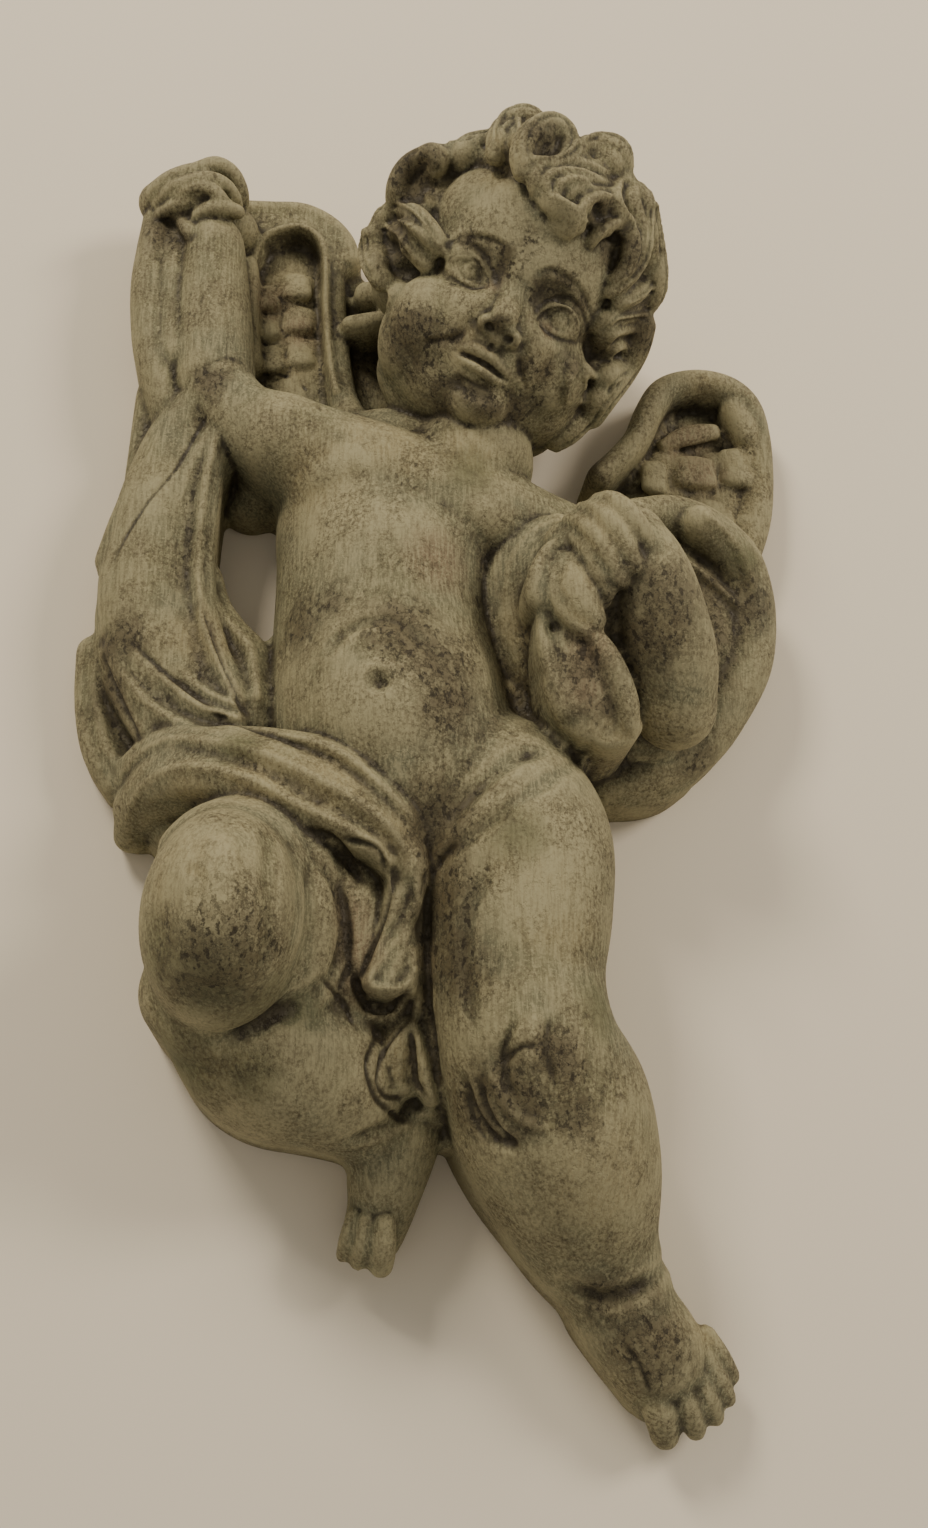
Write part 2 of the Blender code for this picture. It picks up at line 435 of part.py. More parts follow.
# Short feathers: two rows on the left wing, and what shows of those on the right wing
TILES = [
    [(-24.5, 63.9, 6.8, 3.1, 1.8), (-24.3, 60.1, 6.8, 3.1, 1.8)],
    [(-23.9, 55.3, 6.8, 3.2, 1.8), (-23.5, 51.6, 6.8, 2.9, 1.8)],
    [(-23.1, 47.2, 6.8, 2.9, 1.8), (-22.5, 42.3, 7.2, 2.5, 1.8)],
    [(-30.2, 60, 6.8, 2, 1.8), (-30, 57.1, 6.8, 2, 1.8)],
    [(-29.8, 52.3, 6.8, 2, 1.8), (-29.7, 49.4, 6.8, 2, 1.8)],
    [(-28.7, 43.5, 7.2, 2.2, 1.8), (-28.1, 40.2, 7.6, 2.2, 1.8)],
    [(62.8, 23.9, 8, 4.4, 1.8), (62.8, 19.1, 8, 4, 1.8)],
    [(73.8, 26.9, 8, 3.6, 1.8), (73.3, 20, 8, 3.4, 1.8)],
    [(53.6, 21.9, 8, 2.4, 1.8), (53.1, 16.9, 8, 2.4, 1.8)],
    [(65.2, 13.1, 7.6, 3.6, 1.6), (65.2, 9.3, 7.4, 3.4, 1.6)],
    [(73.7, 13.7, 7.6, 3.2, 1.6), (73.2, 9.9, 7.4, 3, 1.6)],
    [(57.7, 27.8, 7.2, 1.2, 1.4), (60.6, 29.2, 7.4, 2, 1.5), (64.3, 30.8, 7.4, 2.2, 1.5),
     (67.9, 31.8, 7.2, 1.8, 1.4)],
]
BILLOW_FOLDS = [
    [(29.1, -5.6, 28.5, 2.4), (23.9, -7.7, 26.5, 3), (20, -12.8, 25, 3.2), (18.6, -20.4, 23.5, 3.2),
     (19.1, -28.1, 22, 3.2), (22.3, -35.2, 19.5, 3.2), (27.7, -42.2, 17, 3.2), (33.5, -48.8, 13.5, 3)],
    [(27.5, -10.1, 30.5, 2), (24, -12.6, 29, 2.4), (22.2, -17.5, 27.5, 2.6), (21.8, -24.6, 26, 2.6),
     (22.8, -31.4, 24, 2.6), (26.1, -37.8, 21, 2.6), (31, -43.5, 18, 2.4), (36.2, -48.2, 15, 2.2)],
    [(25.1, -15.3, 31, 1.6), (23.9, -19.2, 30, 1.8), (23.6, -25.4, 29, 1.8), (24.7, -32.3, 27, 1.8),
     (27.2, -38.2, 24.5, 1.8)],
    [(46.9, -5.9, 31, 1.4), (49.6, -8.7, 30, 1.6), (51.7, -12.4, 29, 1.6), (53.2, -16.6, 27, 1.4)],
    [(58.9, 1.2, 22, 3, 4), (64.3, -1.3, 19, 3.4, 4), (68, -5, 17, 3.6, 4), (70.4, -10.3, 15, 3.6, 4)],
    [(58.3, -9.8, 22, 1.6), (61.3, -11.3, 21, 1.8), (64.7, -12.8, 19, 1.8), (67.3, -14.7, 17, 1.6)],
    [(58.8, -25.2, 21, 2.4), (60.4, -30.7, 20, 2.4), (59.9, -36.7, 19, 2.4), (57.5, -41.5, 18, 2.4),
     (53.4, -45.2, 17.5, 2.4), (48.4, -46.9, 17.5, 2.4), (43.7, -46.9, 18, 2.2)],
    [(61.9, -39.4, 14.5, 2), (57.8, -45.3, 14, 2.4), (52.7, -48.9, 13.5, 2.6),
     (47.3, -50.6, 13.5, 2.6), (43.3, -50.4, 13.5, 2.4)],
    [(57.4, -48, 10, 2.4), (52.2, -51.6, 9.5, 2.6), (46.7, -53.3, 9.5, 2.6), (41.5, -53.6, 9.5, 2.4)],
]
CLOTH_END = [
    [(28.1, -14, 36.5, 1.4), (25.1, -16.6, 37, 1.7), (23.2, -20.5, 37, 2), (22.4, -24.4, 36.5, 2),
     (23, -26.9, 36, 1.8), (24.8, -27.4, 35.5, 1.5)],
    [(26.8, -19.5, 33, 4, 4), (27.4, -25.7, 33, 5, 4)],
    [(28.5, -12.4, 32, 4, 5), (29.7, -17.2, 33, 5, 5)],
    [(29.6, -19.6, 38.5, 2.6, 2.2), (29.3, -24.3, 39.5, 3.4, 2.4), (30.5, -28.3, 39.5, 3.4, 2.4),
     (32.6, -31.2, 38.5, 2.4, 2.2)],
    [(27, -18.5, 38.5, 1), (25.6, -22, 38.6, 1.1), (25.2, -25.7, 38.6, 1.1), (26.2, -28.9, 38.6, 1.2),
     (28.3, -31.6, 38.6, 1.3), (30.7, -33.4, 38.6, 1.3)],
    [(28, -34, 34.4, 4, 2.4), (29.5, -39.2, 34.6, 6.4, 2.6), (31.8, -44.7, 34, 7, 2.6),
     (34.8, -48.6, 32.4, 6, 2.6)],
    [(23.7, -29.6, 34.9, 1.2), (23.9, -35.2, 35.3, 1.3), (25.6, -42.1, 35.3, 1.4),
     (28.2, -47, 34.4, 1.4), (31.7, -50.8, 32.8, 1.5), (35.4, -52.2, 31.8, 1.6),
     (38.9, -51.4, 31.8, 1.6), (40.8, -49.1, 32.6, 1.5)],
    [(32.3, -33, 37.2, 1.6), (34.7, -36.9, 37.2, 2.2), (37, -41.8, 36.2, 2.6), (38.6, -46, 34.8, 2.6),
     (39.2, -49.1, 33.4, 2.2)],
]
# The fold that falls between the legs: ribbon, flap, the cup under it, and the leaf below
HOOKED_FOLD = [
    [(-1.7, -73.2, 30.5, 3, 2.5), (-0.6, -77.1, 30.5, 3, 2.5), (-0.9, -80.9, 30, 2.7, 2.5),
     (-1.8, -84.3, 29.5, 2.4, 2.4), (-3, -87.6, 28.5, 2, 2.2), (-4.3, -90.7, 28, 1.6, 2),
     (-5.5, -93.7, 27.5, 1.2, 1.8)],
    [(0.5, -75.4, 33, 0.9), (1.6, -79.1, 32.6, 1), (1.5, -82.4, 32, 1), (0.6, -85, 31, 1),
     (-0.8, -87.3, 30.2, 0.9), (-2.4, -89.6, 29.6, 0.9), (-4, -91.9, 29, 0.8)],
    [(-3.9, -76.5, 32.6, 0.9), (-2.8, -80.1, 32, 0.9), (-3.1, -83.6, 31.2, 0.9),
     (-4, -87.4, 30.2, 0.9), (-5.2, -91, 29.2, 0.9), (-6.6, -94.9, 28.2, 0.8)],
    [(0.8, -87.2, 29.4, 0.8, 1.2), (0.1, -89.1, 29.4, 1.7, 1.3), (-1, -91.7, 29.4, 2.8, 1.3),
     (-2.1, -94.1, 29.2, 3.7, 1.3), (-2.9, -95.8, 29, 4.1, 1.3)],
    [(0.4, -87.8, 30.4, 0.7), (-2, -90.1, 30.4, 0.8), (-4.4, -93.2, 30.2, 0.9),
     (-6.5, -96.4, 29.6, 0.9)],
    [(-6.5, -96.7, 29.6, 0.8), (-4.3, -97.5, 29.6, 0.9), (-1.8, -97.6, 29.6, 0.9),
     (0.1, -96.9, 29.6, 0.9), (1.4, -94.6, 29.6, 0.8), (1.3, -90.9, 29.6, 0.8)],
    [(-8.8, -93.2, 25, 1.1), (-8.3, -96.8, 24, 1.2), (-6.7, -99.7, 23.4, 1.3), (-4.1, -101, 23.4, 1.3),
     (-1.7, -100.3, 23.6, 1.2), (0.2, -98.4, 24.4, 1.1)],
    [(0.1, -97.9, 22, 2.4, 2), (-0.9, -101.3, 21.5, 2.6, 2), (-2.1, -103.8, 20.5, 2.4, 2)],
    [(1.6, -101.4, 22.4, 0.9, 2), (0.6, -104.1, 22.6, 2.1, 2), (-0.3, -107.3, 22.4, 3.2, 2),
     (-0.6, -110.4, 21.8, 3.4, 2), (0.1, -112.5, 21, 3, 2)],
    [(1.2, -101.7, 24, 0.8), (-0.8, -104.2, 24, 0.9), (-2.3, -107.3, 23.8, 1), (-2.9, -110.3, 23.2, 1),
     (-2.2, -112.8, 22.2, 1), (-0.7, -113.7, 21.8, 1), (1.5, -113, 21.8, 1)],
    [(2, -101.9, 23.8, 0.8, 1.4), (2.9, -105.8, 23.8, 1.4, 1.4), (3.9, -109.5, 23.2, 1.6, 1.5),
     (4.8, -112.4, 22.4, 1.6, 1.5), (5.6, -114.3, 21.6, 1.3, 1.4)],
    [(-6.7, -99.5, 20.5, 1.2), (-5, -102.9, 20.5, 1.3), (-4.6, -107.9, 20, 1.3),
     (-4.1, -112, 19.4, 1.3), (-2.4, -115, 18.8, 1.3), (0, -117.1, 18.2, 1.3)],
    [(-0.6, -115.5, 17.5, 2, 2), (2.5, -116.6, 17.2, 2.2, 2), (5.6, -116.5, 16.8, 2.2, 2),
     (7.8, -115.6, 16.2, 2, 2)],
    [(3.2, -78.5, 27, 1), (2.4, -85.2, 26.6, 1), (2.6, -91.7, 26, 1), (2.9, -97.5, 25, 1),
     (2.5, -100.3, 24, 0.9)],
]
DRAPE_FOLDS = [
    [(-40, 25.5, 17, 3.4, 3), (-45.4, 16.7, 16, 3.4, 2.8), (-50.7, 7.5, 15, 3.4, 2.6),
     (-54.7, -2, 14, 3, 2.6), (-57.8, -10.7, 12, 2.6, 2.4)],
    [(-35.3, 25.3, 18, 3.6, 3.4), (-39.4, 15.8, 17, 4.6, 3.4), (-43.7, 5.6, 16, 5.4, 3.4),
     (-46.7, -6, 15.4, 6, 3.4), (-48.9, -18.3, 15, 6, 3.4), (-49.1, -29.2, 15.4, 5.4, 3.2)],
    [(-34.5, 25.4, 20, 1.8), (-37.7, 16.3, 19, 2.2), (-39.7, 6.3, 18, 2.4), (-40.3, -5.7, 17.2, 2.4),
     (-40, -16.7, 17.2, 2.4), (-38, -26.5, 17.8, 2.4), (-34.6, -35.4, 19, 2.2), (-31, -42.6, 21, 2)],
    [(-38.7, -12.6, 13, 2.2), (-36.7, -19.7, 13.4, 2.4), (-32.9, -25.6, 14, 2.6),
     (-29.6, -29.9, 15, 2.8), (-28.1, -36.6, 17, 2.8), (-27.4, -42.6, 19.6, 2.6)],
    [(-54.7, -25.5, 15, 1.5), (-49.3, -32.6, 16.4, 1.6), (-43.7, -39.4, 18.2, 1.7),
     (-37.8, -44.5, 20.4, 1.7), (-30.7, -47.4, 22.6, 1.5)],
    [(-56.2, -30.6, 14, 1.6), (-51.7, -38, 15.8, 1.7), (-46.3, -44.1, 18, 1.8),
     (-40.4, -48.2, 20.4, 1.7), (-34.8, -50.1, 22, 1.5)],
    [(-47.9, -29.6, 16.4, 1.2), (-42.7, -35.7, 17.8, 1.4), (-36.9, -41.2, 19.8, 1.4),
     (-31.2, -44.6, 22, 1.3)],
    [(-59.1, -27.5, 7, 3.4), (-58.1, -38.4, 7, 3.6), (-55.5, -48, 8, 3.8), (-51.7, -54.8, 9, 3.4)],
]
RIGHT_FINGERS = [
    [(33.4, -7.7, 41, 1.5), (35.4, -9.1, 43.5, 1.9), (37.6, -12.1, 45, 2.1), (40.3, -15.3, 44, 2.2),
     (42.5, -18.5, 42, 2)],
    [(30.9, -8.3, 38.5, 1.5), (32.9, -10.5, 42, 1.9), (34.8, -14.3, 44.5, 2), (37.2, -18, 44, 2.1),
     (39.2, -21.9, 42.5, 2)],
    [(28.8, -9.6, 36.5, 1.4), (30.5, -12.5, 40.5, 1.8), (32.5, -16.5, 43, 2), (34.6, -20.5, 43, 2),
     (36.6, -24.4, 41.5, 1.9)],
    [(27.4, -11.1, 34.5, 1.2), (29, -13.8, 37.8, 1.6), (31.1, -18.2, 40.6, 1.8),
     (33, -22.7, 41.2, 1.8), (34.8, -26.4, 40, 1.6)],
    [(28, -13.5, 33.5, 1), (30.1, -15.9, 36, 1.3), (31.8, -20.2, 38.8, 1.5), (33.2, -24.2, 39.4, 1.5),
     (34.6, -27.5, 38.5, 1.3)],
]
LEFT_FINGERS = [
    [(-54.7, 76.5, 13, 4.5, 5), (-50.4, 77.9, 15, 5, 6), (-45.1, 78.9, 16, 5.5, 6),
     (-40.8, 79, 15, 4.5, 5)],
    [(-53.3, 72.9, 11, 4, 5), (-51.6, 66.8, 10.5, 4, 5)],
    [(-48.1, 71.1, 16.5, 4, 4.4), (-46.5, 69.9, 15, 3.4, 4)],
    [(-56.5, 74.1, 15, 1.6), (-54.7, 75.9, 18, 2), (-51.1, 77.2, 20, 2.2), (-46.3, 78.3, 21.5, 2.3),
     (-42.4, 79.9, 22, 2.3), (-39.2, 79.1, 21, 2.1), (-37.4, 77.1, 19, 1.9), (-36.8, 76.4, 16, 1.6)],
    [(-54.6, 72.8, 17, 1.3), (-51.5, 74, 20.5, 1.6), (-47.6, 74.5, 22.5, 1.7),
     (-43.9, 75.1, 23.5, 1.7), (-40.5, 74.6, 23, 1.6), (-38.4, 73.5, 21, 1.5), (-37.6, 73.3, 18, 1.3)],
    [(-52.3, 72.2, 18, 1.1), (-49.2, 72.5, 21.5, 1.4), (-45.4, 72.5, 23.5, 1.5),
     (-42.4, 71.6, 24, 1.5), (-40.3, 70.1, 23, 1.4), (-39.5, 70.5, 20, 1.2)],
    [(-53.9, 70, 17.5, 1.2), (-50.4, 70.3, 20, 1.5), (-47.1, 70.9, 21, 1.5), (-44.1, 70.9, 21, 1.4)],
    [(-45.6, 67.7, 20.5, 1.4), (-43.1, 68.3, 22, 1.8), (-40.2, 68.7, 22.5, 1.9), (-37.3, 69.3, 21, 1.6)],
    [(-49.3, 68, 18, 1.3), (-47.1, 64.2, 19.5, 1.8), (-45.1, 62, 19, 1.6)],
]
TOES = [
    [(43.6, -158, 9.8, 3.3), (45.2, -162.5, 9.6, 3.1), (46.3, -165.8, 7, 2.7)],
    [(47.9, -158, 10.4, 2.5), (50, -162.2, 9.8, 2.3), (51.6, -165.2, 6.8, 2)],
    [(50.8, -156.5, 10.3, 2.3), (53.2, -160.4, 9.6, 2.1), (55, -163.2, 6.8, 1.8)],
    [(52.8, -154.5, 9.9, 2.2), (55.4, -157.9, 9.1, 2), (57.4, -160.5, 6.6, 1.7)],
    [(54.2, -152, 9, 2.1), (56.7, -154.8, 8.2, 1.9), (58.6, -157.2, 6, 1.7)],
]
SMALL_TOES = [
    [(-1.4, -134, 13.2, 2), (-1.6, -137.6, 12.6, 2.3), (-1.7, -140.6, 9.6, 2.2)],
    [(-4.6, -133.6, 12.9, 1.4), (-5.2, -137.3, 12, 1.6), (-5.6, -140.1, 9, 1.5)],
    [(-6.9, -132.8, 11.8, 1.2), (-7.7, -136.3, 11, 1.4), (-8.2, -139, 8, 1.3)],
]


def toes(clay):
    """The toes of both feet."""
    for rows in TOES + SMALL_TOES:
        clay.strand(rows)


def trunk(clay):
    """Chest, belly and hips, leaning a little, with the shoulders sloping down to the right."""
    clay.strand([(1, 12, 9, 22, 16), (-2, 0, 9, 24, 21), (-3, -10, 9, 22.5, 24), (-3.5, -24, 10, 22, 24),
                 (-2.5, -40, 11, 23.5, 26),
                 (0, -54, 10, 25, 26), (4, -62, 8, 27, 24)], sides=32)
    clay.strand([(-25, 15, 18, 10), (-8, 7, 17, 13), (12, 0, 17, 13), (33, -4, 14, 10)], sides=24)
    clay.strand([(5, 0, 13, 15), (13, 14, 17, 13)], sides=24)
    clay.ball((-13, 5, 15), (12, 11, 14))
    clay.ball((20, -3, 14), (13, 9, 13))
    clay.ball((29, -62, 6), (10, 16, 14))
    clay.strand([(5, -77, 18, 7, 11), (5.5, -87.5, 16, 7, 11), (6, -97.5, 14, 7, 11),
                 (9, -109.5, 12, 7, 11)])
    clay.strand([(-28, 12, 6, 7, 8), (-32, 9, 3, 6, 6)])
    clay.strand([(24, -10, 15, 6, 9), (22, -22, 13, 7, 9), (25, -34, 11, 7, 9), (32, -46, 8, 7, 8)])


def straight_leg(clay):
    """The leg that hangs down on the right, foot turned out."""
    clay.strand([(17, -60, 16, 18), (20, -70, 20, 18.5), (20.5, -82, 22, 17), (20, -94, 23, 15.5),
                 (21.5, -105, 24, 15.5), (26, -115, 19, 17.5), (30.5, -126, 15, 16), (35, -137, 11, 12),
                 (39, -144, 10, 9.5)], sides=32)
    clay.strand([(39.5, -147, 9, 9), (45, -154, 8.5, 9, 8.5), (48.5, -159, 4.5, 8.5, 7)], sides=24)


def bent_leg(clay):
    """The leg on the left: the knee comes forward, and the shin goes back under it."""
    clay.strand([(-13, -66, 10, 16), (-14, -80, 13, 14), (-13, -92, 11, 13)], flat=(0, 1, 0), sides=32)
    clay.ball((-30.5, -88, 34), (13.5, 18.5, 21))
    clay.strand([(-22, -70, 14, 13.5), (-29.5, -80, 29, 14.5)], sides=32)
    clay.strand([(-31.5, -97, 17, 12), (-23, -106, 19, 14), (-12, -111.5, 17, 12),
                 (-1, -118, 11, 8)], sides=28)
    clay.strand([(0.5, -119, 11, 8), (-1, -127, 10, 6.8), (-1.7, -131.5, 8.5, 5.8), (-3, -135.5, 6.5, 5.4)],
                sides=20)
    clay.strand([(-10, -73.5, 19, 9, 11), (-10, -85, 20, 9, 11), (-10, -96, 16, 9, 11)])
    clay.strand([(-9.1, -76, 20, 6, 6), (-7.2, -81, 20, 7, 6), (-7, -87, 20, 7.5, 6),
                 (-8.5, -93, 19.5, 7.5, 6),
                 (-11, -98, 19, 7, 6)])


def arms(clay):
    """The raised arm on the left, and on the right the forearm folded up over the drapery."""
    clay.strand([(-25, 15, 18, 10), (-33, 20, 16, 8.5), (-39, 27, 14, 8.5)])
    clay.strand([(-40, 30, 14, 8.5), (-41, 43.5, 14.5, 8.2), (-41.5, 53, 15, 7.6), (-42, 64, 16, 6.5)])
    clay.strand([(33, -6, 14, 9), (50, 1, 12, 9), (62, -6, 14, 9), (60, -30, 18, 9)])


def head_masses(clay):
    """Skull, forehead, cheeks, chin and the soft fold under the chin."""
    for centre, radii in [((0, 6, -2), (21.5, 22, 23)), ((0, -10, 2), (19, 18, 18)),
                          ((-0.5, 8, 6), (18, 15, 15)), ((-1, 1.5, 8.5), (16.5, 10, 12)),
                          ((-6, 10, 5), (15, 13, 12)), ((0, -18, 0), (19.5, 14.5, 16)),
                          ((-10.8, -13, 6.8), (10.5, 10.5, 9.2)), ((11, -12.8, 6.4), (10, 10.2, 9)),
                          ((2.2, -25, 11), (6.5, 5.5, 7)), ((0.3, -17.5, 13), (8, 7, 6.2)),
                          ((-12.5, -15, 3), (9.5, 12, 10)), ((12.5, -15, 2), (9.5, 12, 10)),
                          ((0, 4, -14), (21, 22, 20))]:
        clay.ball(HEAD.place([centre])[0], radii, HEAD.turn)
    clay.strand(HEAD.place([(-12, -21, -3, 8), (-7, -25, -1, 8), (0, -26, -1, 8), (8, -24.5, -2, 7.5),
                            (13, -20, -4, 8)]))


def sockets(skin):
    """The hollows that the eyes lie in, deepest beside the nose, with an edge under the brow."""
    for right, up in EYES:
        inward = -1 if right > 0 else 1
        skin.press((right, up - 0.5, 18), (7.5, 5.5, 8), 2.6, HEAD)
        skin.press((right + 0.5 * inward, up + 4, 19), (7.5, 3.4, 6), 1.7, HEAD)
        skin.press((right + 5.2 * inward, up + 1.5, 20), (3.4, 4.5, 5), 1.6, HEAD)
    skin.look()


def face(clay):
    """Eyes with their lids, the short turned-up nose and the parted lips."""
    for right, up in EYES:
        clay.ball(HEAD.place([(right, up, 11.5)])[0], (4.9, 4.9, 4.9))
    for rows in UPPER_LIDS + LOWER_LIDS + LIPS:
        clay.strand(HEAD.place(rows), away=HEAD.origin)
    for right, up in [(-3, -12.4), (3, -12.9)]:
        clay.ball(HEAD.place([(right, up, 19.6)])[0], (1.9, 2.0, 2.6), HEAD.turn)
    clay.strand(HEAD.place([(-1.2, 3, 16.6, 3.4), (-1, -2, 17.3, 2.9), (-0.6, -6.5, 19, 2.6),
                            (-0.6, -10, 20.7, 2.9)]),
                sides=20)
    clay.strand(HEAD.place([(-0.3, -11.6, 21.2, 1.5), (0, -14.5, 19.4, 1.4)]))


def body_lines(skin):
    """Creases of a plump child's skin: belly, groin, knees and ankles, and the navel."""
    for centre, radii, depth in [((-6, -45, 37), (3, 3, 6), 1.6), ((-6.3, -42.5, 37), (5, 3.5, 6), -0.5),
                                 ((-13, 3, 30), (9, 8, 10), -0.8), ((14, -6, 30), (9, 8, 10), -0.8),
                                 ((-6, -48, 36), (17, 13, 12), -1.2), ((15.5, -110, 39), (3.4, 5, 8), 0.7),
                                 ((19.5, -107, 39), (4.4, 7, 8), -0.8), ((26, -110, 37), (4, 8, 8), -0.6),
                                 ((29, -125, 32), (12, 13, 14), -0.8), ((42, -150, 16), (8, 8, 8), -0.6)]:
        skin.press(centre, radii, depth)
    skin.look()
    for rows, wide, depth in [([(-15, -37.5), (-12, -34), (-6, -32), (-1.5, -33.5), (3, -38)], 2.2, 0.7),
                              ([(1.5, -72), (10.5, -64), (20, -56), (30, -49)], 3, 1.4),
                              ([(4.5, -77), (12.5, -70.5), (21.5, -63.5), (31, -55)], 2.4, 0.6),
                              ([(-29.5, -107.5), (-23.5, -104.5), (-17.5, -101), (-12.5, -96)], 3, 1.2),
                              ([(9.5, -112), (11.5, -117.5), (14.5, -121.5), (18.5, -123)], 1.8, 1.2),
                              ([(13.5, -111.5), (15.5, -116), (18.5, -119), (22.5, -120.5)], 1.6, -0.7),
                              ([(17, -104), (15.5, -108.5), (16, -113), (18, -116)], 1.3, 0.6),
                              ([(22.5, -103.5), (22, -108.5), (23.5, -114)], 1.2, 0.5),
                              ([(-15.5, -77), (-11.5, -83), (-10.5, -90), (-12.5, -97)], 2.2, 0.8),
                              ([(13, -78), (10, -86), (9.5, -95), (11, -104)], 2.6, 0.5),
                              ([(29, -144), (34.5, -146), (40, -144.5), (47, -139)], 2.6, 1.4),
                              ([(-8, -121.5), (-4, -120), (0, -117.5), (3, -115)], 2.2, 0.9)]:
        skin.stroke(rows, wide, depth)


def face_lines(skin):
    """Nostrils, the carved irises, the folds of the lids and the line of the mouth."""
    for side, right, up in [(-1, -2.4, -13.2), (1, 2, -13.7)]:
        skin.press((right, up, 22), (1.3, 1.4, 3), 1.5, HEAD)
        skin.stroke([(5.0 * side, -11.5), (6.4 * side, -15), (7.2 * side, -18.5)], 2.4, 0.45, HEAD)
    for right, up in EYES:
        turns = np.radians(np.arange(-20, 341, 30))
        ring = [(right + 1.75 * math.cos(turn), up + 1.75 * math.sin(turn)) for turn in turns]
        skin.stroke(ring, 0.7, 0.28, HEAD)
        skin.press((right + 0.3, up + 0.3, 17), (1.2, 1.2, 2), 0.4, HEAD)
    for rows in LID_FOLDS:
        skin.stroke(rows, 1.3, 0.6, HEAD)
    skin.stroke([(-5.4, -20), (-3, -19.9), (-0.4, -20.2), (1.8, -20.5), (4, -20.9)], 0.9, 1.2, HEAD)
    skin.stroke([(-4, -24), (0.5, -24.8), (4.5, -24.3)], 2.0, 0.6, HEAD)
    skin.stroke([(-0.1, -15.2), (0, -17)], 1.0, 0.5, HEAD)


def hair(clay):
    """A cap of hair that stands off the skull, with the ridges of the curls laid over it."""
    for centre, radii in [((-14.5, 9, -4), (14, 14.5, 13)), ((13, 7, -6), (14, 20, 13)),
                          ((0, 18, 0), (18, 14, 13)), ((-19, -2, -8), (10, 10, 9)),
                          ((17, -11, -5), (8.5, 12, 9)), ((7, 21, 3), (11, 8.5, 10)),
                          ((-4, 23, 7), (8, 6.5, 8))]:
        clay.ball(HEAD.place([centre])[0], radii, HEAD.turn)
    for centre in [(1, 57, 38), (3, 69.3, 38.2)]:
        clay.ball(centre, (2.6, 3, 2.8))
    for rows in SIDE_LOCKS + TOP_LOCKS + FORELOCKS + EARS:
        clay.lock(HEAD.place(rows), HEAD.origin)


def left_wing(clay):
    """The wing behind the raised arm: a plate, the arch at its top and the rows of feathers."""
    clay.strand([(-26, 72, 0, 14, 7), (-24, 50, 0, 15, 6.6), (-18, 26, 2, 14, 8)])
    clay.strand([(-14, 66, 0, 8, 5), (-12, 50, 0, 9, 5), (-10, 34, 0, 9, 6)])
    for rows in LEFT_ARCH:
        clay.strand(rows)
    clay.strand([(-9, 61, 8, 3.2, 3), (-3.5, 60, 10, 3.2, 3)])
    clay.ball((-2.5, 54.5, 7), (4.5, 6, 7.5))


def right_wing(clay):
    """The small wing on the right: a flat plate with a sunken place near its top, and feathers."""
    clay.strand([(56, 4, 0, 17, 7.5), (64, 20, 0, 15.5, 7.5)])
    clay.strand([(64, 14, 0, 15, 6), (66, 30, 0, 12.5, 5)])
    clay.ball((65.5, 31, 1), (13, 12, 5))
    for rows in RIGHT_RIM:
        clay.strand(rows)


def feathers(clay):
    """Rows of short feathers like rounded tiles, on both wings."""
    for rows in TILES:
        clay.strand(rows)


def left_drape(clay):
    """The cloth that hangs from the raised hand, down the outside of the arm and round to the lap."""
    clay.strand([(-54.5, 73, 13, 3.6, 5), (-54.5, 65.5, 13, 4.2, 6), (-54.5, 55.5, 13, 4.8, 6),
                 (-53.5, 45.5, 13, 5, 6), (-52, 38, 13, 4.8, 6), (-50, 31, 13, 4.4, 6)])
    clay.strand([(-38, 29, 16, 6, 7), (-44, 17.5, 11, 9, 8), (-48, 1.5, 10, 10, 9), (-49, -14.5, 10, 11, 9),
                 (-46, -27.5, 11, 12, 8), (-40.5, -38.5, 11, 13, 8), (-30.5, -46, 13, 12, 8)])
    clay.strand([(-49, 60, 11, 4, 5), (-48.5, 48, 10, 5, 6), (-47, 36, 10, 5, 7)])
    clay.strand([(-53.5, 31, 8, 3), (-54, 15, 8, 3), (-54.5, 1, 8, 3), (-56, -12.5, 9, 3),
                 (-56.5, -22.5, 9, 3.5), (-53.5, -35.5, 10, 3.5), (-46, -47.5, 14, 4)])
    clay.strand([(-56, -31, 4, 3), (-56, -39.5, 4, 3.5), (-54.5, -48, 4, 3.5), (-51.5, -55, 5, 3)])
    clay.strand([(-48, -40, 2, 8, 6), (-45, -56, 3, 7, 8), (-41, -66, 5, 5, 9)])


def drape_folds(clay):
    """The folds on that cloth."""
    for rows in DRAPE_FOLDS:
        clay.strand(rows)


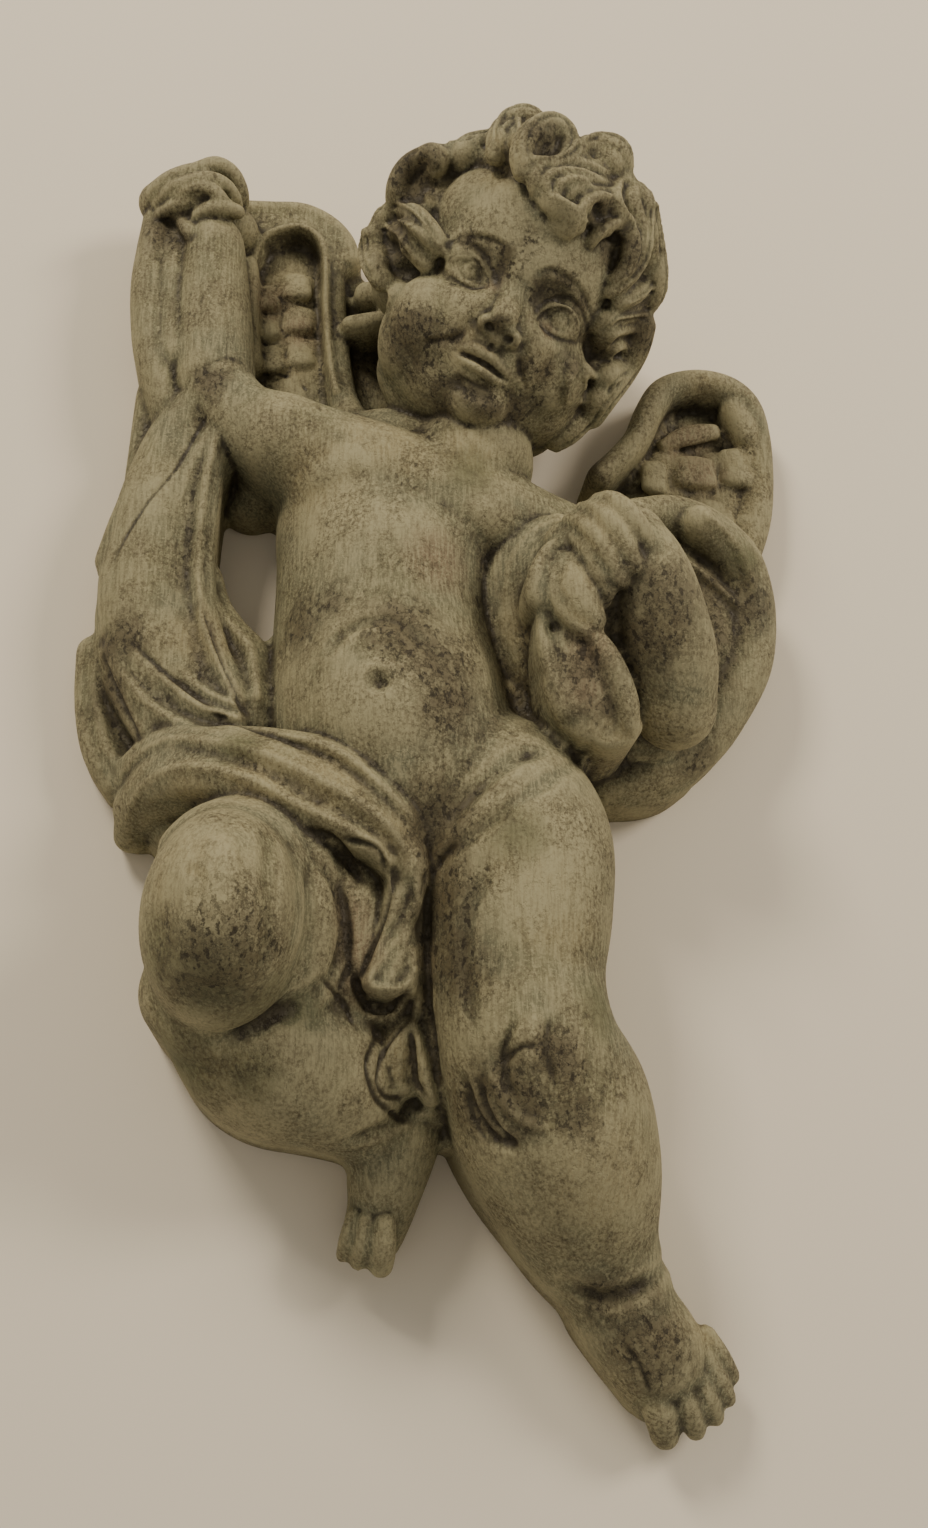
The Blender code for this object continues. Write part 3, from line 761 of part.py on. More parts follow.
def lap_band(clay):
    """The roll of cloth over the lap, which falls between the legs in a hooked fold."""
    core = [(-46.5, -60, 9, 5.5, 8), (-41, -57.5, 18, 6, 7), (-31.5, -56.5, 24, 6.5, 7),
            (-21, -60.5, 28, 6.5, 7), (-12, -64.5, 30, 7, 7), (-4, -70, 30, 6, 6),
            (0, -76, 28, 4, 6), (0.5, -81, 25, 3.4, 5), (-0.5, -85.5, 22, 3, 5),
            (-2, -90.5, 19, 3, 5)]
    upper = [(-34.5, -51, 22, 1.4), (-29, -51.5, 26, 1.6), (-23, -53.5, 30, 1.8), (-16.5, -55.5, 32.5, 1.8),
             (-10.5, -59, 34.5, 1.8), (-5.5, -63.5, 35, 1.8), (-1, -67.5, 34, 1.7), (1.5, -71, 32, 1.5)]
    broad = [(-52, -56, 8, 2.6), (-48, -53.5, 15, 3), (-42, -52.5, 21, 3.2), (-34, -55, 27, 3.4),
             (-25, -58.5, 31.5, 3.4), (-16.5, -63, 34, 3.4), (-9, -67.5, 35.2, 3.2), (-4, -71, 34.5, 2.8),
             (-1, -74.5, 33, 2.2)]
    lower = [(-50, -65.5, 6, 2.6), (-48.5, -62, 13, 3), (-44.5, -59.5, 20, 3.2), (-37.5, -59.5, 27, 3.2),
             (-27.5, -63, 32, 3), (-19, -68, 34.5, 2.6), (-11.5, -71.5, 35.5, 2.2), (-6, -74.5, 35, 1.8),
             (-3.5, -77, 33.5, 1.5)]
    for rows in (core, upper, broad, lower):
        clay.strand(rows)
    clay.strand([(-9.5, -74, 23, 1), (-6.5, -76.5, 24.5, 1.2), (-3.5, -76, 27, 1.2)])


def hooked_fold(clay):
    """Where the falling fold turns over: a flap, a hollow cup, and a leaf of cloth under it."""
    for rows in HOOKED_FOLD:
        clay.strand(rows)
    clay.strand([(-4, -92, 13, 6, 7), (-3, -99, 12, 7, 7), (1, -106, 11, 8, 8), (3, -114.5, 10, 6, 6)])
    clay.strand([(6, -84, 19, 3, 5), (6, -92, 18, 3, 5), (6.5, -98, 17, 3, 5), (7, -106, 16, 3, 5),
                 (8.5, -113, 14, 3, 5)])


def right_drape(clay):
    """The billow of cloth behind the folded arm, with its rolled edge."""
    clay.ball((43, -22, 8), (23, 26, 12))
    clay.strand([(46, 2, 20, 4), (54, 4, 17, 5), (61.5, 2.5, 15, 5.5), (68, -2.5, 13, 6),
                 (70.5, -9.5, 12, 6),
                 (71, -17, 11, 6), (69.5, -25.5, 10.5, 6), (65, -34, 10, 6), (59.5, -41.5, 9.5, 6),
                 (51.5, -47.5, 9, 6), (40, -51, 9, 6)])
    clay.strand([(57.5, -47, 9, 2.8), (50.5, -51.5, 9, 3), (43, -54, 9, 2.8)])
    clay.strand([(27, -8, 22, 4, 6), (21, -15, 20, 4, 6), (19.5, -23.5, 18, 4, 6), (21.5, -31.5, 16, 4, 6),
                 (26.5, -39, 13, 4, 6), (34, -48, 9, 4, 6)])


def billow_folds(clay):
    """The folds in the billow and the bands of cloth beside the hand."""
    for rows in BILLOW_FOLDS:
        clay.strand(rows)


def cloth_end(clay):
    """The gathered end of the cloth under the hand: a lobe, a leaf and a long open petal."""
    clay.ball((31.5, -33, 24), (8.5, 16, 11))
    clay.strand([(34, -44, 17, 5, 7), (40, -41, 18, 6, 7), (46, -41, 17, 5, 7)])
    for rows in CLOTH_END:
        clay.strand(rows)


def right_hand(clay):
    """The hand of the folded arm, its fingers closed over the end of the cloth."""
    clay.strand([(50.5, -42, 25, 8), (49, -34.5, 29.2, 8.9), (46.5, -28, 32.8, 8.9), (44.3, -22, 35.4, 8.4),
                 (42.6, -16.5, 35.8, 7.5), (41.4, -12.5, 35.4, 6.4)], sides=32)
    clay.strand([(38, -14, 36, 5.6), (35, -19, 35, 5.6)])
    for rows in RIGHT_FINGERS:
        clay.strand(rows)


def left_hand(clay):
    """The raised hand, gripping the cloth, knuckles up."""
    clay.strand([(-47, 73, 11, 5, 6), (-42.5, 72.5, 11.5, 5, 6), (-38, 72, 11, 5, 6)])
    for rows in LEFT_FINGERS:
        clay.strand(rows)


def fuse(makers, name, grain, soften, to_wall=False):
    """One skin from the forms that the makers lay down."""
    clay = Clay(to_wall)
    for maker in makers:
        maker(clay)
    return melt(new_object(name, clay), grain, soften)


def join(things):
    """One object out of several."""
    bm = bmesh.new()
    for thing in things:
        bm.from_mesh(thing.data)
    mesh = bpy.data.meshes.new("joined")
    bm.to_mesh(mesh)
    bm.free()
    for thing in things[1:]:
        bpy.data.objects.remove(thing, do_unlink=True)
    things[0].data = mesh
    return things[0]


def plug(thing):
    """A coarse and shrunken copy of the thing, which stops up gaps too narrow to cast."""
    copy = bpy.data.objects.new("plug", thing.data.copy())
    bpy.context.scene.collection.objects.link(copy)
    coarse = copy.modifiers.new("coarse", "REMESH")
    coarse.mode = "VOXEL"
    coarse.voxel_size = 2.4 * STEP
    shrink = copy.modifiers.new("shrink", "DISPLACE")
    shrink.mid_level = 0
    shrink.strength = -2.6 * STEP
    return settle(copy)


def casting(grain=SKIN / STEP):
    """All forms melted together and modelled. The grain is in the modeller's millimetres."""
    body = fuse((trunk, straight_leg, bent_leg, arms), "body", grain, int(12 / grain ** 2), True)
    head = fuse((head_masses,), "head", grain, int(8 / grain ** 2))
    sockets(Skin(head))
    cloth = fuse((left_wing, right_wing, left_drape, right_drape), "cloth", grain, 0, True)
    detail = fuse((face, hair, feathers, drape_folds, lap_band, hooked_fold, billow_folds,
                   cloth_end, right_hand, left_hand, toes), "detail", grain, 0)
    heap = join([body, head, cloth, detail])
    whole = melt(join([heap, plug(heap)]), grain, int(1.6 / grain ** 2))
    skin = Skin(whole)
    body_lines(skin)
    face_lines(skin)
    skin.look()
    return whole


def flat_back(thing, snap=SNAP):
    """Cut the casting level with the wall at y = 0 and close it there."""
    bm = bmesh.new()
    bm.from_mesh(thing.data)
    everything = bm.verts[:] + bm.edges[:] + bm.faces[:]
    bmesh.ops.bisect_plane(bm, geom=everything, dist=snap, plane_co=(0, 0, 0), plane_no=(0, 1, 0),
                           clear_outer=True)
    rim = [edge for edge in bm.edges if edge.is_boundary]
    for vert in {vert for edge in rim for vert in edge.verts}:
        vert.co.y = 0
    bmesh.ops.triangle_fill(bm, use_beauty=True, edges=rim, normal=(0, 1, 0))
    bmesh.ops.delete(bm, geom=crumbs(bm), context="VERTS")
    bmesh.ops.recalc_face_normals(bm, faces=bm.faces)
    bm.to_mesh(thing.data)
    bm.free()


def crumbs(bm):
    """The points of every loose piece but the largest."""
    pieces = []
    seen = set()
    for first in bm.verts:
        if first in seen:
            continue
        piece = {first}
        edge_of_piece = [first]
        while edge_of_piece:
            vert = edge_of_piece.pop()
            near = {edge.other_vert(vert) for edge in vert.link_edges} - piece
            piece |= near
            edge_of_piece += near
        seen |= piece
        pieces.append(piece)
    pieces.sort(key=len)
    return [vert for piece in pieces[:-1] for vert in piece]


def lighten(thing, faces):
    """Thin the skin out to the given number of triangles, closest where it bends most."""
    thin = thing.modifiers.new("thin", "DECIMATE")
    thin.ratio = faces / (2 * len(thing.data.polygons))
    return settle(thing)


def patina():
    """Painted verdigris over a cast body: dull sage green."""
    material = bpy.data.materials.new("patina")
    material.use_nodes = True
    shader = material.node_tree.nodes["Principled BSDF"]
    shader.inputs["Base Color"].default_value = PATINA
    shader.inputs["Roughness"].default_value = 0.62
    shader.inputs["Metallic"].default_value = 0.0
    material.diffuse_color = PATINA
    return material


def cherub():
    """The finished casting."""
    thing = lighten(casting(), FACES)
    flat_back(thing)
    thing.name = "cherub"
    thing.data.name = "cherub"
    thing.data.materials.clear()
    thing.data.materials.append(patina())
    for face in thing.data.polygons:
        face.use_smooth = True
    return thing


cherub()
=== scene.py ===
# %% [markdown]
# # A cast cherub for a wall
#
# The object is a relief of a winged child, about ten inches tall, cast in one piece and painted
# to look like old green bronze or weathered stone. It hangs flat on a wall.
#
# The plan follows the way such a piece is made. A modeller builds the figure up in clay, rubs it
# together and cuts the details in. The model is moulded and cast, the cast gets a coat of green,
# and a dark glaze is brushed on and wiped off again, so it stays in the hollows.
#
# The steps below keep that order. All places are given on a board of 144 by 254 by 58 mm: right,
# up, and out from the wall, with the origin on the flat back, behind the upper chest.

# %% Start
import json
import math

import bmesh
import bpy
import numpy as np
from mathutils import Matrix, Vector
from mathutils.bvhtree import BVHTree

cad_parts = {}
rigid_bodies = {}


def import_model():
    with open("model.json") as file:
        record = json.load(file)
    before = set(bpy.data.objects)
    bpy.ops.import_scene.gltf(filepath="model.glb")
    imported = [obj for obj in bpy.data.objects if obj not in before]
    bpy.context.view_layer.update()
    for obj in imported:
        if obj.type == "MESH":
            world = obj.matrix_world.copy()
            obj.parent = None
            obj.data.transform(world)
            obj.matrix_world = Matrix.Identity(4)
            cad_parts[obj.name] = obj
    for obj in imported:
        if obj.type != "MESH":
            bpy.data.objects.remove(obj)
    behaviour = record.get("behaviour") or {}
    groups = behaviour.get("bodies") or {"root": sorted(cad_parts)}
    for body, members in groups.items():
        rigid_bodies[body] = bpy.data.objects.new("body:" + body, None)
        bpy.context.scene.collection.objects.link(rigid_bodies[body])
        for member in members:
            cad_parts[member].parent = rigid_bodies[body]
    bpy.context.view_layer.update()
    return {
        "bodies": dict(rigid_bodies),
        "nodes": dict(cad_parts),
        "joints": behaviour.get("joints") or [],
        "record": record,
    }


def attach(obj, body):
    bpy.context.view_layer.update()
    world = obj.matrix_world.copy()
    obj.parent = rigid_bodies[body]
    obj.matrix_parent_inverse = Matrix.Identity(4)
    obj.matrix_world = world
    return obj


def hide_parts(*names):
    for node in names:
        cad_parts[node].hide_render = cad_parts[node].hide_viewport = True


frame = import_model()
MM = 0.001
BOARD = np.array((144, 254, 58))
WIDE, TALL, DEEP = 144 * MM, 254 * MM, 58 * MM
SCALE = np.array((WIDE, TALL, DEEP)) / BOARD
STEP = float(SCALE.mean())

# %% [markdown]
# ## Curves to build on
#
# A limb, a curl and a fold all follow a path, and all get thicker and thinner on the way. So a
# path is a short list of rows, each with a place and a half width, and a smooth curve is drawn
# through the rows. Places are in millimetres: right, up, and out from the wall.

# %% Smooth paths
def unit(v):
    """Rows of v made one long."""
    v = np.asarray(v, float)
    return v / np.maximum(np.linalg.norm(v, axis=-1, keepdims=True), 1e-9)


def smooth_path(rows, step=2.0):
    """A curve through the rows: Catmull-Rom spans, cut so that points lie about one step apart.

    Each span blends its four nearest rows by the cubic that passes through the middle two.
    Columns after the third (half width, half thickness) ride along with the place.
    """
    p = np.asarray(rows, float)
    if len(p) == 2:
        n = max(2, int(math.ceil(np.linalg.norm(p[1, :3] - p[0, :3]) / step)))
        t = np.linspace(0, 1, n + 1)[:, None]
        return p[0] + (p[1] - p[0]) * t
    ends = np.vstack([2 * p[0] - p[1], p, 2 * p[-1] - p[-2]])
    ends[0, 3:] = p[0, 3:]
    ends[-1, 3:] = p[-1, 3:]
    out = []
    for a, b, c, d in zip(ends, ends[1:], ends[2:], ends[3:]):
        n = max(2, int(math.ceil(np.linalg.norm(c[:3] - b[:3]) / step)))
        t = (np.arange(n) / n)[:, None]
        out.append(0.5 * (2 * b + (c - a) * t + (2 * a - 5 * b + 4 * c - d) * t ** 2
                          + (3 * b - a - 3 * c + d) * t ** 3))
    out.append(p[-1][None])
    return np.vstack(out)


trial = smooth_path([(0, 0, 0, 1), (4, 3, 0, 2), (9, 3, 0, 1)])
print("a path through three rows gets", len(trial), "points")

# %% [markdown]
# ## Clay
#
# Two kinds of lump are enough for the whole figure. A ball makes a skull, a cheek or a knee. A
# strand makes a limb, a finger, a fold or a lock of hair. Both are surfaces of two parameters:
# round the section and along the path. The lumps may overlap as they like, because they are
# melted into one skin afterwards.
#
# A relief has to come out of its mould, so its sides run straight back to the wall. That is what
# `to_wall` does to the back half of each lump: the points that look back, by more than a tenth,
# are drawn 6 mm behind the wall, where the cut will take them off.
#
# A lock of hair and a fold of cloth are both three strands on top of each other. Each layer has
# its sink in millimetres and its shares of the width and the thickness, lowest layer first.

# %% Balls and strands
BEHIND = 6
LOOKS_BACK = -0.1
LOCK_LAYERS = [(1.9, 1.15, 1.2), (0.9, 0.95, 0.75), (-0.1, 0.5, 0.55)]
FOLD_LAYERS = [(1.5, 1.3, 1.0), (0.8, 0.8, 0.9), (0.0, 0.42, 0.9)]


class Clay:
    """A heap of closed forms that is melted into one skin."""

    def __init__(self, to_wall=False):
        self.points = []
        self.faces = []
        self.count = 0
        self.to_wall = to_wall

    def rings(self, rings, facing):
        """Skin over rings of points, closed at both ends by a fan.

        facing holds how far each point's normal looks out of the wall. Where the heap is drawn
        back to the wall, points that look the other way go behind it.
        """
        if self.to_wall:
            rings = rings.copy()
            back = facing < LOOKS_BACK
            rings[..., 2] = np.where(back, np.minimum(rings[..., 2], -BEHIND), rings[..., 2])
        n, m, _ = rings.shape
        points = np.vstack([rings.reshape(-1, 3), rings[0].mean(0), rings[-1].mean(0)])
        i, j = np.meshgrid(np.arange(n - 1) * m, np.arange(m), indexing="ij")
        k = (j + 1) % m
        sides = np.stack([i + j, i + k, i + k + m, i + j + m], -1).reshape(-1, 4)
        j = np.arange(m)
        k = (j + 1) % m
        first = np.stack([k, j, 0 * j + n * m], -1)
        last = np.stack([j + (n - 1) * m, k + (n - 1) * m, 0 * j + n * m + 1], -1)
        self.points.append(points)
        for quad_or_fan in (sides, first, last):
            self.faces += (quad_or_fan + self.count).tolist()
        self.count += len(points)

    def ball(self, centre, radii, turn=None):
        """An ellipsoid: the sphere of sines and cosines of two angles, stretched and turned.

        turn holds three rows, the directions of the three radii.
        """
        lat = np.radians(np.linspace(-87, 87, 36))[:, None]
        lon = np.radians(np.arange(0, 360, 7.5))[None, :]
        ball = np.stack([np.cos(lat) * np.cos(lon), np.cos(lat) * np.sin(lon),
                         np.sin(lat) + 0 * lon], -1)
        turn = np.identity(3) if turn is None else np.asarray(turn, float)
        radii = np.asarray(radii, float)
        facing = unit((ball / radii) @ turn)[..., 2]
        self.rings((ball * radii) @ turn + np.asarray(centre, float), facing)

    def strand(self, rows, flat=(0, 0, 1), away=None, sides=18):
        """A tapering bar with round ends: an ellipse carried along a smooth path.

        A point is centre + side * width * cos(turn) + up * thickness * sin(turn). The thickness
        lies along `flat`, or points away from `away`, as near as the path allows. Past either
        end the section shrinks as a quarter circle does.
        """
        p = smooth_path([row if len(row) == 5 else (*row, row[3]) for row in rows], 1.2)
        c, w, t = p[:, :3], p[:, 3], p[:, 4]
        along = unit(np.gradient(c, axis=0))
        if away is None:
            flat = np.broadcast_to(np.asarray(flat, float), c.shape)
        else:
            flat = unit(c - np.asarray(away, float))
        up = unit(flat - (flat * along).sum(1, keepdims=True) * along)
        side = np.cross(up, along)
        cap = np.radians(np.array([80, 60, 40, 20]))
        lead = min(w[0], t[0])
        tail = min(w[-1], t[-1])
        c = np.vstack([c[0] - along[0] * lead * np.sin(cap)[:, None], c,
                       c[-1] + along[-1] * tail * np.sin(cap[::-1])[:, None]])
        w = np.concatenate([w[0] * np.cos(cap), w, w[-1] * np.cos(cap[::-1])])[:, None, None]
        t = np.concatenate([t[0] * np.cos(cap), t, t[-1] * np.cos(cap[::-1])])[:, None, None]
        up = np.vstack([up[:1]] * len(cap) + [up] + [up[-1:]] * len(cap))
        side = np.vstack([side[:1]] * len(cap) + [side] + [side[-1:]] * len(cap))
        turn = np.radians(np.arange(sides) * 360 / sides)[None, :, None]
        sideways = side[:, None] * np.cos(turn)
        upward = up[:, None] * np.sin(turn)
        facing = unit(sideways / w + upward / t)[..., 2]
        self.rings(c[:, None] + sideways * w + upward * t, facing)

    def lock(self, rows, away):
        """A lock of hair: a low body with a thin crest along the top of it.

        A layer's place is the row's place less its sink along the way out from `away`.
        """
        for sink, wide, thick in LOCK_LAYERS:
            bar = []
            for row in rows:
                place = np.asarray(row[:3], float)
                outward = unit(place - np.asarray(away, float))
                bar.append((*(place - sink * outward), row[3] * wide, row[3] * thick))
            self.strand(bar, away=away)

    def fold(self, rows):
        """A fold of cloth: a broad low body with a thin crest, so its sides are hollow."""
        for sink, wide, thick in FOLD_LAYERS:
            bar = [(row[0], row[1], row[2] - sink, row[3] * wide, row[-1] * thick) for row in rows]
            self.strand(bar)


lump = Clay()
lump.ball((0, 0, 0), (3, 2, 1))
print("a ball has", lump.count, "points")

# %% [markdown]
# ## Directions of the head
#
# The head leans to one side and nods down. Its features are much easier to place when right, up
# and out are the head's own, so a small frame turns them into the directions of the wall.

# %% The head's frame
class Frame:
    """A place with directions of its own: right, up and out of a part that leans and nods."""

    def __init__(self, origin, nod, lean):
        a, b = math.radians(nod), math.radians(lean)
        upright = np.array([0, math.cos(a), math.sin(a)])
        across = np.array([1.0, 0, 0])
        self.origin = np.asarray(origin, float)
        self.out = np.array([0, -math.sin(a), math.cos(a)])
        self.right = math.cos(b) * across - math.sin(b) * upright
        self.up = math.sin(b) * across + math.cos(b) * upright
        self.turn = np.array([self.right, self.up, self.out])

    def place(self, rows):
        """Rows whose first three numbers are places in this frame, set into the board's."""
        return [(*(self.origin + np.asarray(row[:3], float) @ self.turn), *row[3:]) for row in rows]


HEAD = Frame((19.5, 46.5, 28), nod=23, lean=21)
print("the head looks along", HEAD.out.round(2))

# %% [markdown]
# ## Melting the lumps together
#
# A voxel remesh keeps only the outer surface of everything in the heap, and smoothing rubs the
# joins, as a thumb rubs clay. Large masses are rubbed hard and small ones hardly at all, so
# each kind gets a heap of its own.
#
# A gap as thin as a coin between two forms can't be cast. A coarse copy of the heap, drawn in by
# a little more than its own grain, stops such gaps up and stays hidden everywhere else.

# %% Melt
PLUG_GRAIN = 2.4
PLUG_INSET = 2.6


def to_board(place):
    """Metres in the scene as millimetres on the board: right is x, up is z, out is minus y."""
    return np.stack([place[:, 0], place[:, 2], -place[:, 1]], 1) / SCALE


def to_scene(board):
    """Millimetres on the board as metres in the scene."""
    place = board * SCALE
    return np.stack([place[:, 0], -place[:, 2], place[:, 1]], 1)


def new_object(name, points, faces):
    """An object from points in millimetres on the board."""
    mesh = bpy.data.meshes.new(name)
    mesh.from_pydata(to_scene(np.asarray(points, float)).tolist(), [], faces)
    thing = bpy.data.objects.new(name, mesh)
    bpy.context.scene.collection.objects.link(thing)
    return thing


def settle(thing):
    """The object's mesh as its modifiers leave it, with the modifiers spent."""
    graph = bpy.context.evaluated_depsgraph_get()
    mesh = bpy.data.meshes.new_from_object(thing.evaluated_get(graph))
    thing.modifiers.clear()
    thing.data = mesh
    return thing


def melt(thing, grain, soften):
    """Melt overlapping forms into one skin, and rub it smooth."""
    skin = thing.modifiers.new("skin", "REMESH")
    skin.mode = "VOXEL"
    skin.voxel_size = grain * STEP
    if soften:
        rub = thing.modifiers.new("rub", "SMOOTH")
        rub.factor = 0.5
        rub.iterations = soften
    return settle(thing)


def join(things):
    """One object out of several."""
    bm = bmesh.new()
    for thing in things:
        bm.from_mesh(thing.data)
    mesh = bpy.data.meshes.new("joined")
    bm.to_mesh(mesh)
    bm.free()
    for thing in things[1:]:
        bpy.data.objects.remove(thing, do_unlink=True)
    things[0].data = mesh
    return things[0]


def plug(thing):
    """A coarse and shrunken copy of the thing, which stops up gaps too narrow to cast."""
    copy = bpy.data.objects.new("plug", thing.data.copy())
    bpy.context.scene.collection.objects.link(copy)
    coarse = copy.modifiers.new("coarse", "REMESH")
    coarse.mode = "VOXEL"
    coarse.voxel_size = PLUG_GRAIN * STEP
    shrink = copy.modifiers.new("shrink", "DISPLACE")
    shrink.mid_level = 0
    shrink.strength = -PLUG_INSET * STEP
    return settle(copy)


def fuse(makers, name, grain, soften, to_wall=False):
    """One skin from the forms that the makers lay down."""
    clay = Clay(to_wall)
    for maker in makers:
        maker(clay)
    return melt(new_object(name, np.vstack(clay.points), clay.faces), grain, soften)


print("heaps can be melted, and gaps are stopped up with", PLUG_GRAIN, "mm grain")

# %% [markdown]
# ## Tools for the details
#
# When the skin is whole, a modeller draws with a tool: a groove for a crease, a ridge for a
# fold, a dent for a nostril. `Skin` does that with all points at once. Each stroke is a path on
# the surface, and points near it sink or rise by a smooth bell, (1 - q * q) squared, where q is
# the distance in half widths.

# %% The modelling tool
class Skin:
    """The melted skin as rows of places in millimetres (right, up, out)."""

    def __init__(self, thing):
        self.thing = thing
        mesh = thing.data
        n = len(mesh.vertices)
        flat = np.empty(n * 3, np.float32)
        mesh.vertices.foreach_get("co", flat)
        self.p = to_board(flat.reshape(-1, 3).astype(float))
        self.look()

    def look(self):
        """Read the skin's normals and the tree that finds points on it."""
        mesh = self.thing.data
        mesh.vertices.foreach_set("co", to_scene(self.p).astype(np.float32).ravel())
        mesh.update()
        n = np.empty(len(self.p) * 3, np.float32)
        mesh.vertex_normals.foreach_get("vector", n)
        n = n.reshape(-1, 3)
        self.n = np.stack([n[:, 0], n[:, 2], -n[:, 1]], 1)
        self.tree = None

    def find(self, right, up, frame=None):
        """The place on the skin that is met first when coming in from the front."""
        if self.tree is None:
            faces = [tuple(f.vertices) for f in self.thing.data.polygons]
            self.tree = BVHTree.FromPolygons(self.p.tolist(), faces)
        if frame is None:
            start, way = Vector((right, up, 200)), Vector((0, 0, -1))
        else:
            start = Vector(frame.place([(right, up, 90)])[0])
            way = Vector(-frame.out)
        return self.tree.ray_cast(start, way)[0]

    def lay(self, rows, frame=None):
        """Rows of (right, up) dropped onto the skin. A row that misses it is left out."""
        spots = [self.find(right, up, frame) for right, up in rows]
        return [list(spot) for spot in spots if spot is not None]

    def stroke(self, rows, half_width, depth, frame=None, laid=False):
        """Sink a groove along a path drawn on the skin, or raise a ridge where depth is negative.

        A point at distance q half widths from the path moves by depth * (1 - q * q) squared
        along the normal. In the last 15 % of the path at either end the depth fades to a
        quarter. Where the rows are laid, they are already places on the skin.
        """
        path = rows if laid else self.lay(rows, frame)
        if len(path) < 2:
            return
        path = smooth_path(path, 1.5)
        low = path.min(0) - half_width
        high = path.max(0) + half_width
        near = np.where(((self.p > low) & (self.p < high)).all(1))[0]
        if not len(near):
            return
        q = self.p[near]
        best = np.full(len(near), 1e9)
        share = np.zeros(len(near))
        for i, (a, b) in enumerate(zip(path, path[1:])):
            ab = b - a
            t = np.clip((q - a) @ ab / max(ab @ ab, 1e-9), 0, 1)
            d = np.linalg.norm(q - a - t[:, None] * ab, axis=1)
            closer = d < best
            best[closer] = d[closer]
            share[closer] = (i + t[closer]) / (len(path) - 1)
        fade = np.clip(np.minimum(share, 1 - share) * 5 + 0.25, 0, 1)
        fall = np.clip(1 - (best / half_width) ** 2, 0, 1) ** 2
        self.p[near] -= self.n[near] * (depth * fall * fade)[:, None]

    def press(self, centre, radii, depth, frame=None):
        """Press a dent, or raise a swelling where depth is negative, inside an ellipsoid."""
        q = self.p if frame is None else (self.p - frame.origin) @ frame.turn.T
        q = (q - np.asarray(centre, float)) / np.asarray(radii, float)
        fall = np.clip(1 - (q * q).sum(1), 0, 1) ** 2
        self.p -= self.n * (depth * fall)[:, None]


print("strokes are ready")

# %% [markdown]
# ## Trunk and limbs
#
# The body is a plump child's: one tapering bar for the trunk, one across the shoulders, and one
# or two for each limb. The bent knee comes far forward, so it is a ball. Short bars fill the
# angles beside and under it, where the thigh, the shin and the cloth meet.
#
# A row holds a place on the board (right, up, out) and a half width, and where the form is
# flatter or thicker than it is wide, a half thickness too.

# %% Body
def trunk(clay):
    """Chest, belly and hips, leaning a little, with the shoulders sloping down to the right."""
    clay.strand([(1, 12, 9, 22, 16), (-2, 0, 9, 24, 21), (-3, -10, 9, 22.5, 24),
                 (-3.5, -24, 10, 22, 24), (-2.5, -40, 11, 23.5, 26), (0, -54, 10, 25, 26),
                 (4, -62, 8, 27, 24)], sides=32)
    clay.strand([(-25, 15, 18, 10), (-8, 7, 17, 13), (12, 0, 17, 13), (33, -4, 14, 10)], sides=24)
    clay.strand([(5, 0, 13, 15), (13, 14, 17, 13)], sides=24)
    clay.ball((-13, 5, 15), (12, 11, 14))
    clay.ball((20, -3, 14), (13, 9, 13))
    clay.ball((29, -62, 6), (10, 16, 14))
    clay.strand([(5, -77, 18, 7, 11), (5.5, -87.5, 16, 7, 11), (6, -97.5, 14, 7, 11),
                 (9, -109.5, 12, 7, 11)])
    clay.strand([(-28, 12, 6, 7, 8), (-32, 9, 3, 6, 6)])
    clay.strand([(24, -10, 15, 6, 9), (22, -22, 13, 7, 9), (25, -34, 11, 7, 9), (32, -46, 8, 7, 8)])


def straight_leg(clay):
    """The leg that hangs down on the right, foot turned out."""
    clay.strand([(17, -60, 16, 18), (20, -70, 20, 18.5), (20.5, -82, 22, 17), (20, -94, 23, 15.5),
                 (21.5, -105, 24, 15.5), (26, -115, 19, 17.5), (30.5, -126, 15, 16), (35, -137, 11, 12),
                 (39, -144, 10, 9.5)], sides=32)
    clay.strand([(39.5, -147, 9, 9), (45, -154, 8.5, 9, 8.5), (48.5, -159, 4.5, 8.5, 7)], sides=24)


def bent_leg(clay):
    """The leg on the left: the knee comes forward, and the shin goes back under it."""
    clay.strand([(-13, -66, 10, 16), (-14, -80, 13, 14), (-13, -92, 11, 13)], flat=(0, 1, 0), sides=32)
    clay.ball((-30.5, -88, 34), (13.5, 18.5, 20))
    clay.strand([(-22, -70, 14, 13.5), (-29.5, -80, 29, 14.5)], sides=32)
    clay.strand([(-31.5, -97, 17, 12), (-23, -106, 19, 14), (-12, -111.5, 17, 12),
                 (-1, -118, 11, 8)], sides=28)
    clay.strand([(0.5, -119, 11, 8), (-1, -127, 10, 6.8), (-1.7, -131.5, 8.5, 5.8),
                 (-3, -135.5, 6.5, 5.4)], sides=20)
    clay.strand([(-10, -73.5, 19, 9, 11), (-10, -85, 20, 9, 11), (-10, -96, 16, 9, 11)])
    clay.strand([(-9.1, -76, 20, 6, 6), (-7.2, -81, 20, 7, 6), (-7, -87, 20, 7.5, 6),
                 (-8.5, -93, 19.5, 7.5, 6), (-11, -98, 19, 7, 6)])
    clay.strand([(-19.5, -76, 27, 8.5), (-19.5, -86, 29, 8.5), (-20, -96, 26, 9)])
    clay.strand([(-36, -98, 24, 8.5), (-30, -103, 26, 8.5), (-21, -104, 24, 8)])


def arms(clay):
    """The raised arm on the left, and on the right the forearm folded up over the drapery."""
    clay.strand([(-25, 15, 18, 10), (-33, 20, 16, 8.5), (-39, 27, 14, 8.5)])
    clay.strand([(-40, 30, 14, 8.5), (-41, 43.5, 14.5, 8.2), (-41.5, 53, 15, 7.6), (-42, 64, 16, 6.5)])
    clay.strand([(33, -6, 14, 9), (45, -1, 11, 9), (51, -10, 9, 8), (52, -28, 9, 8)])


print("trunk, legs and arms are described")

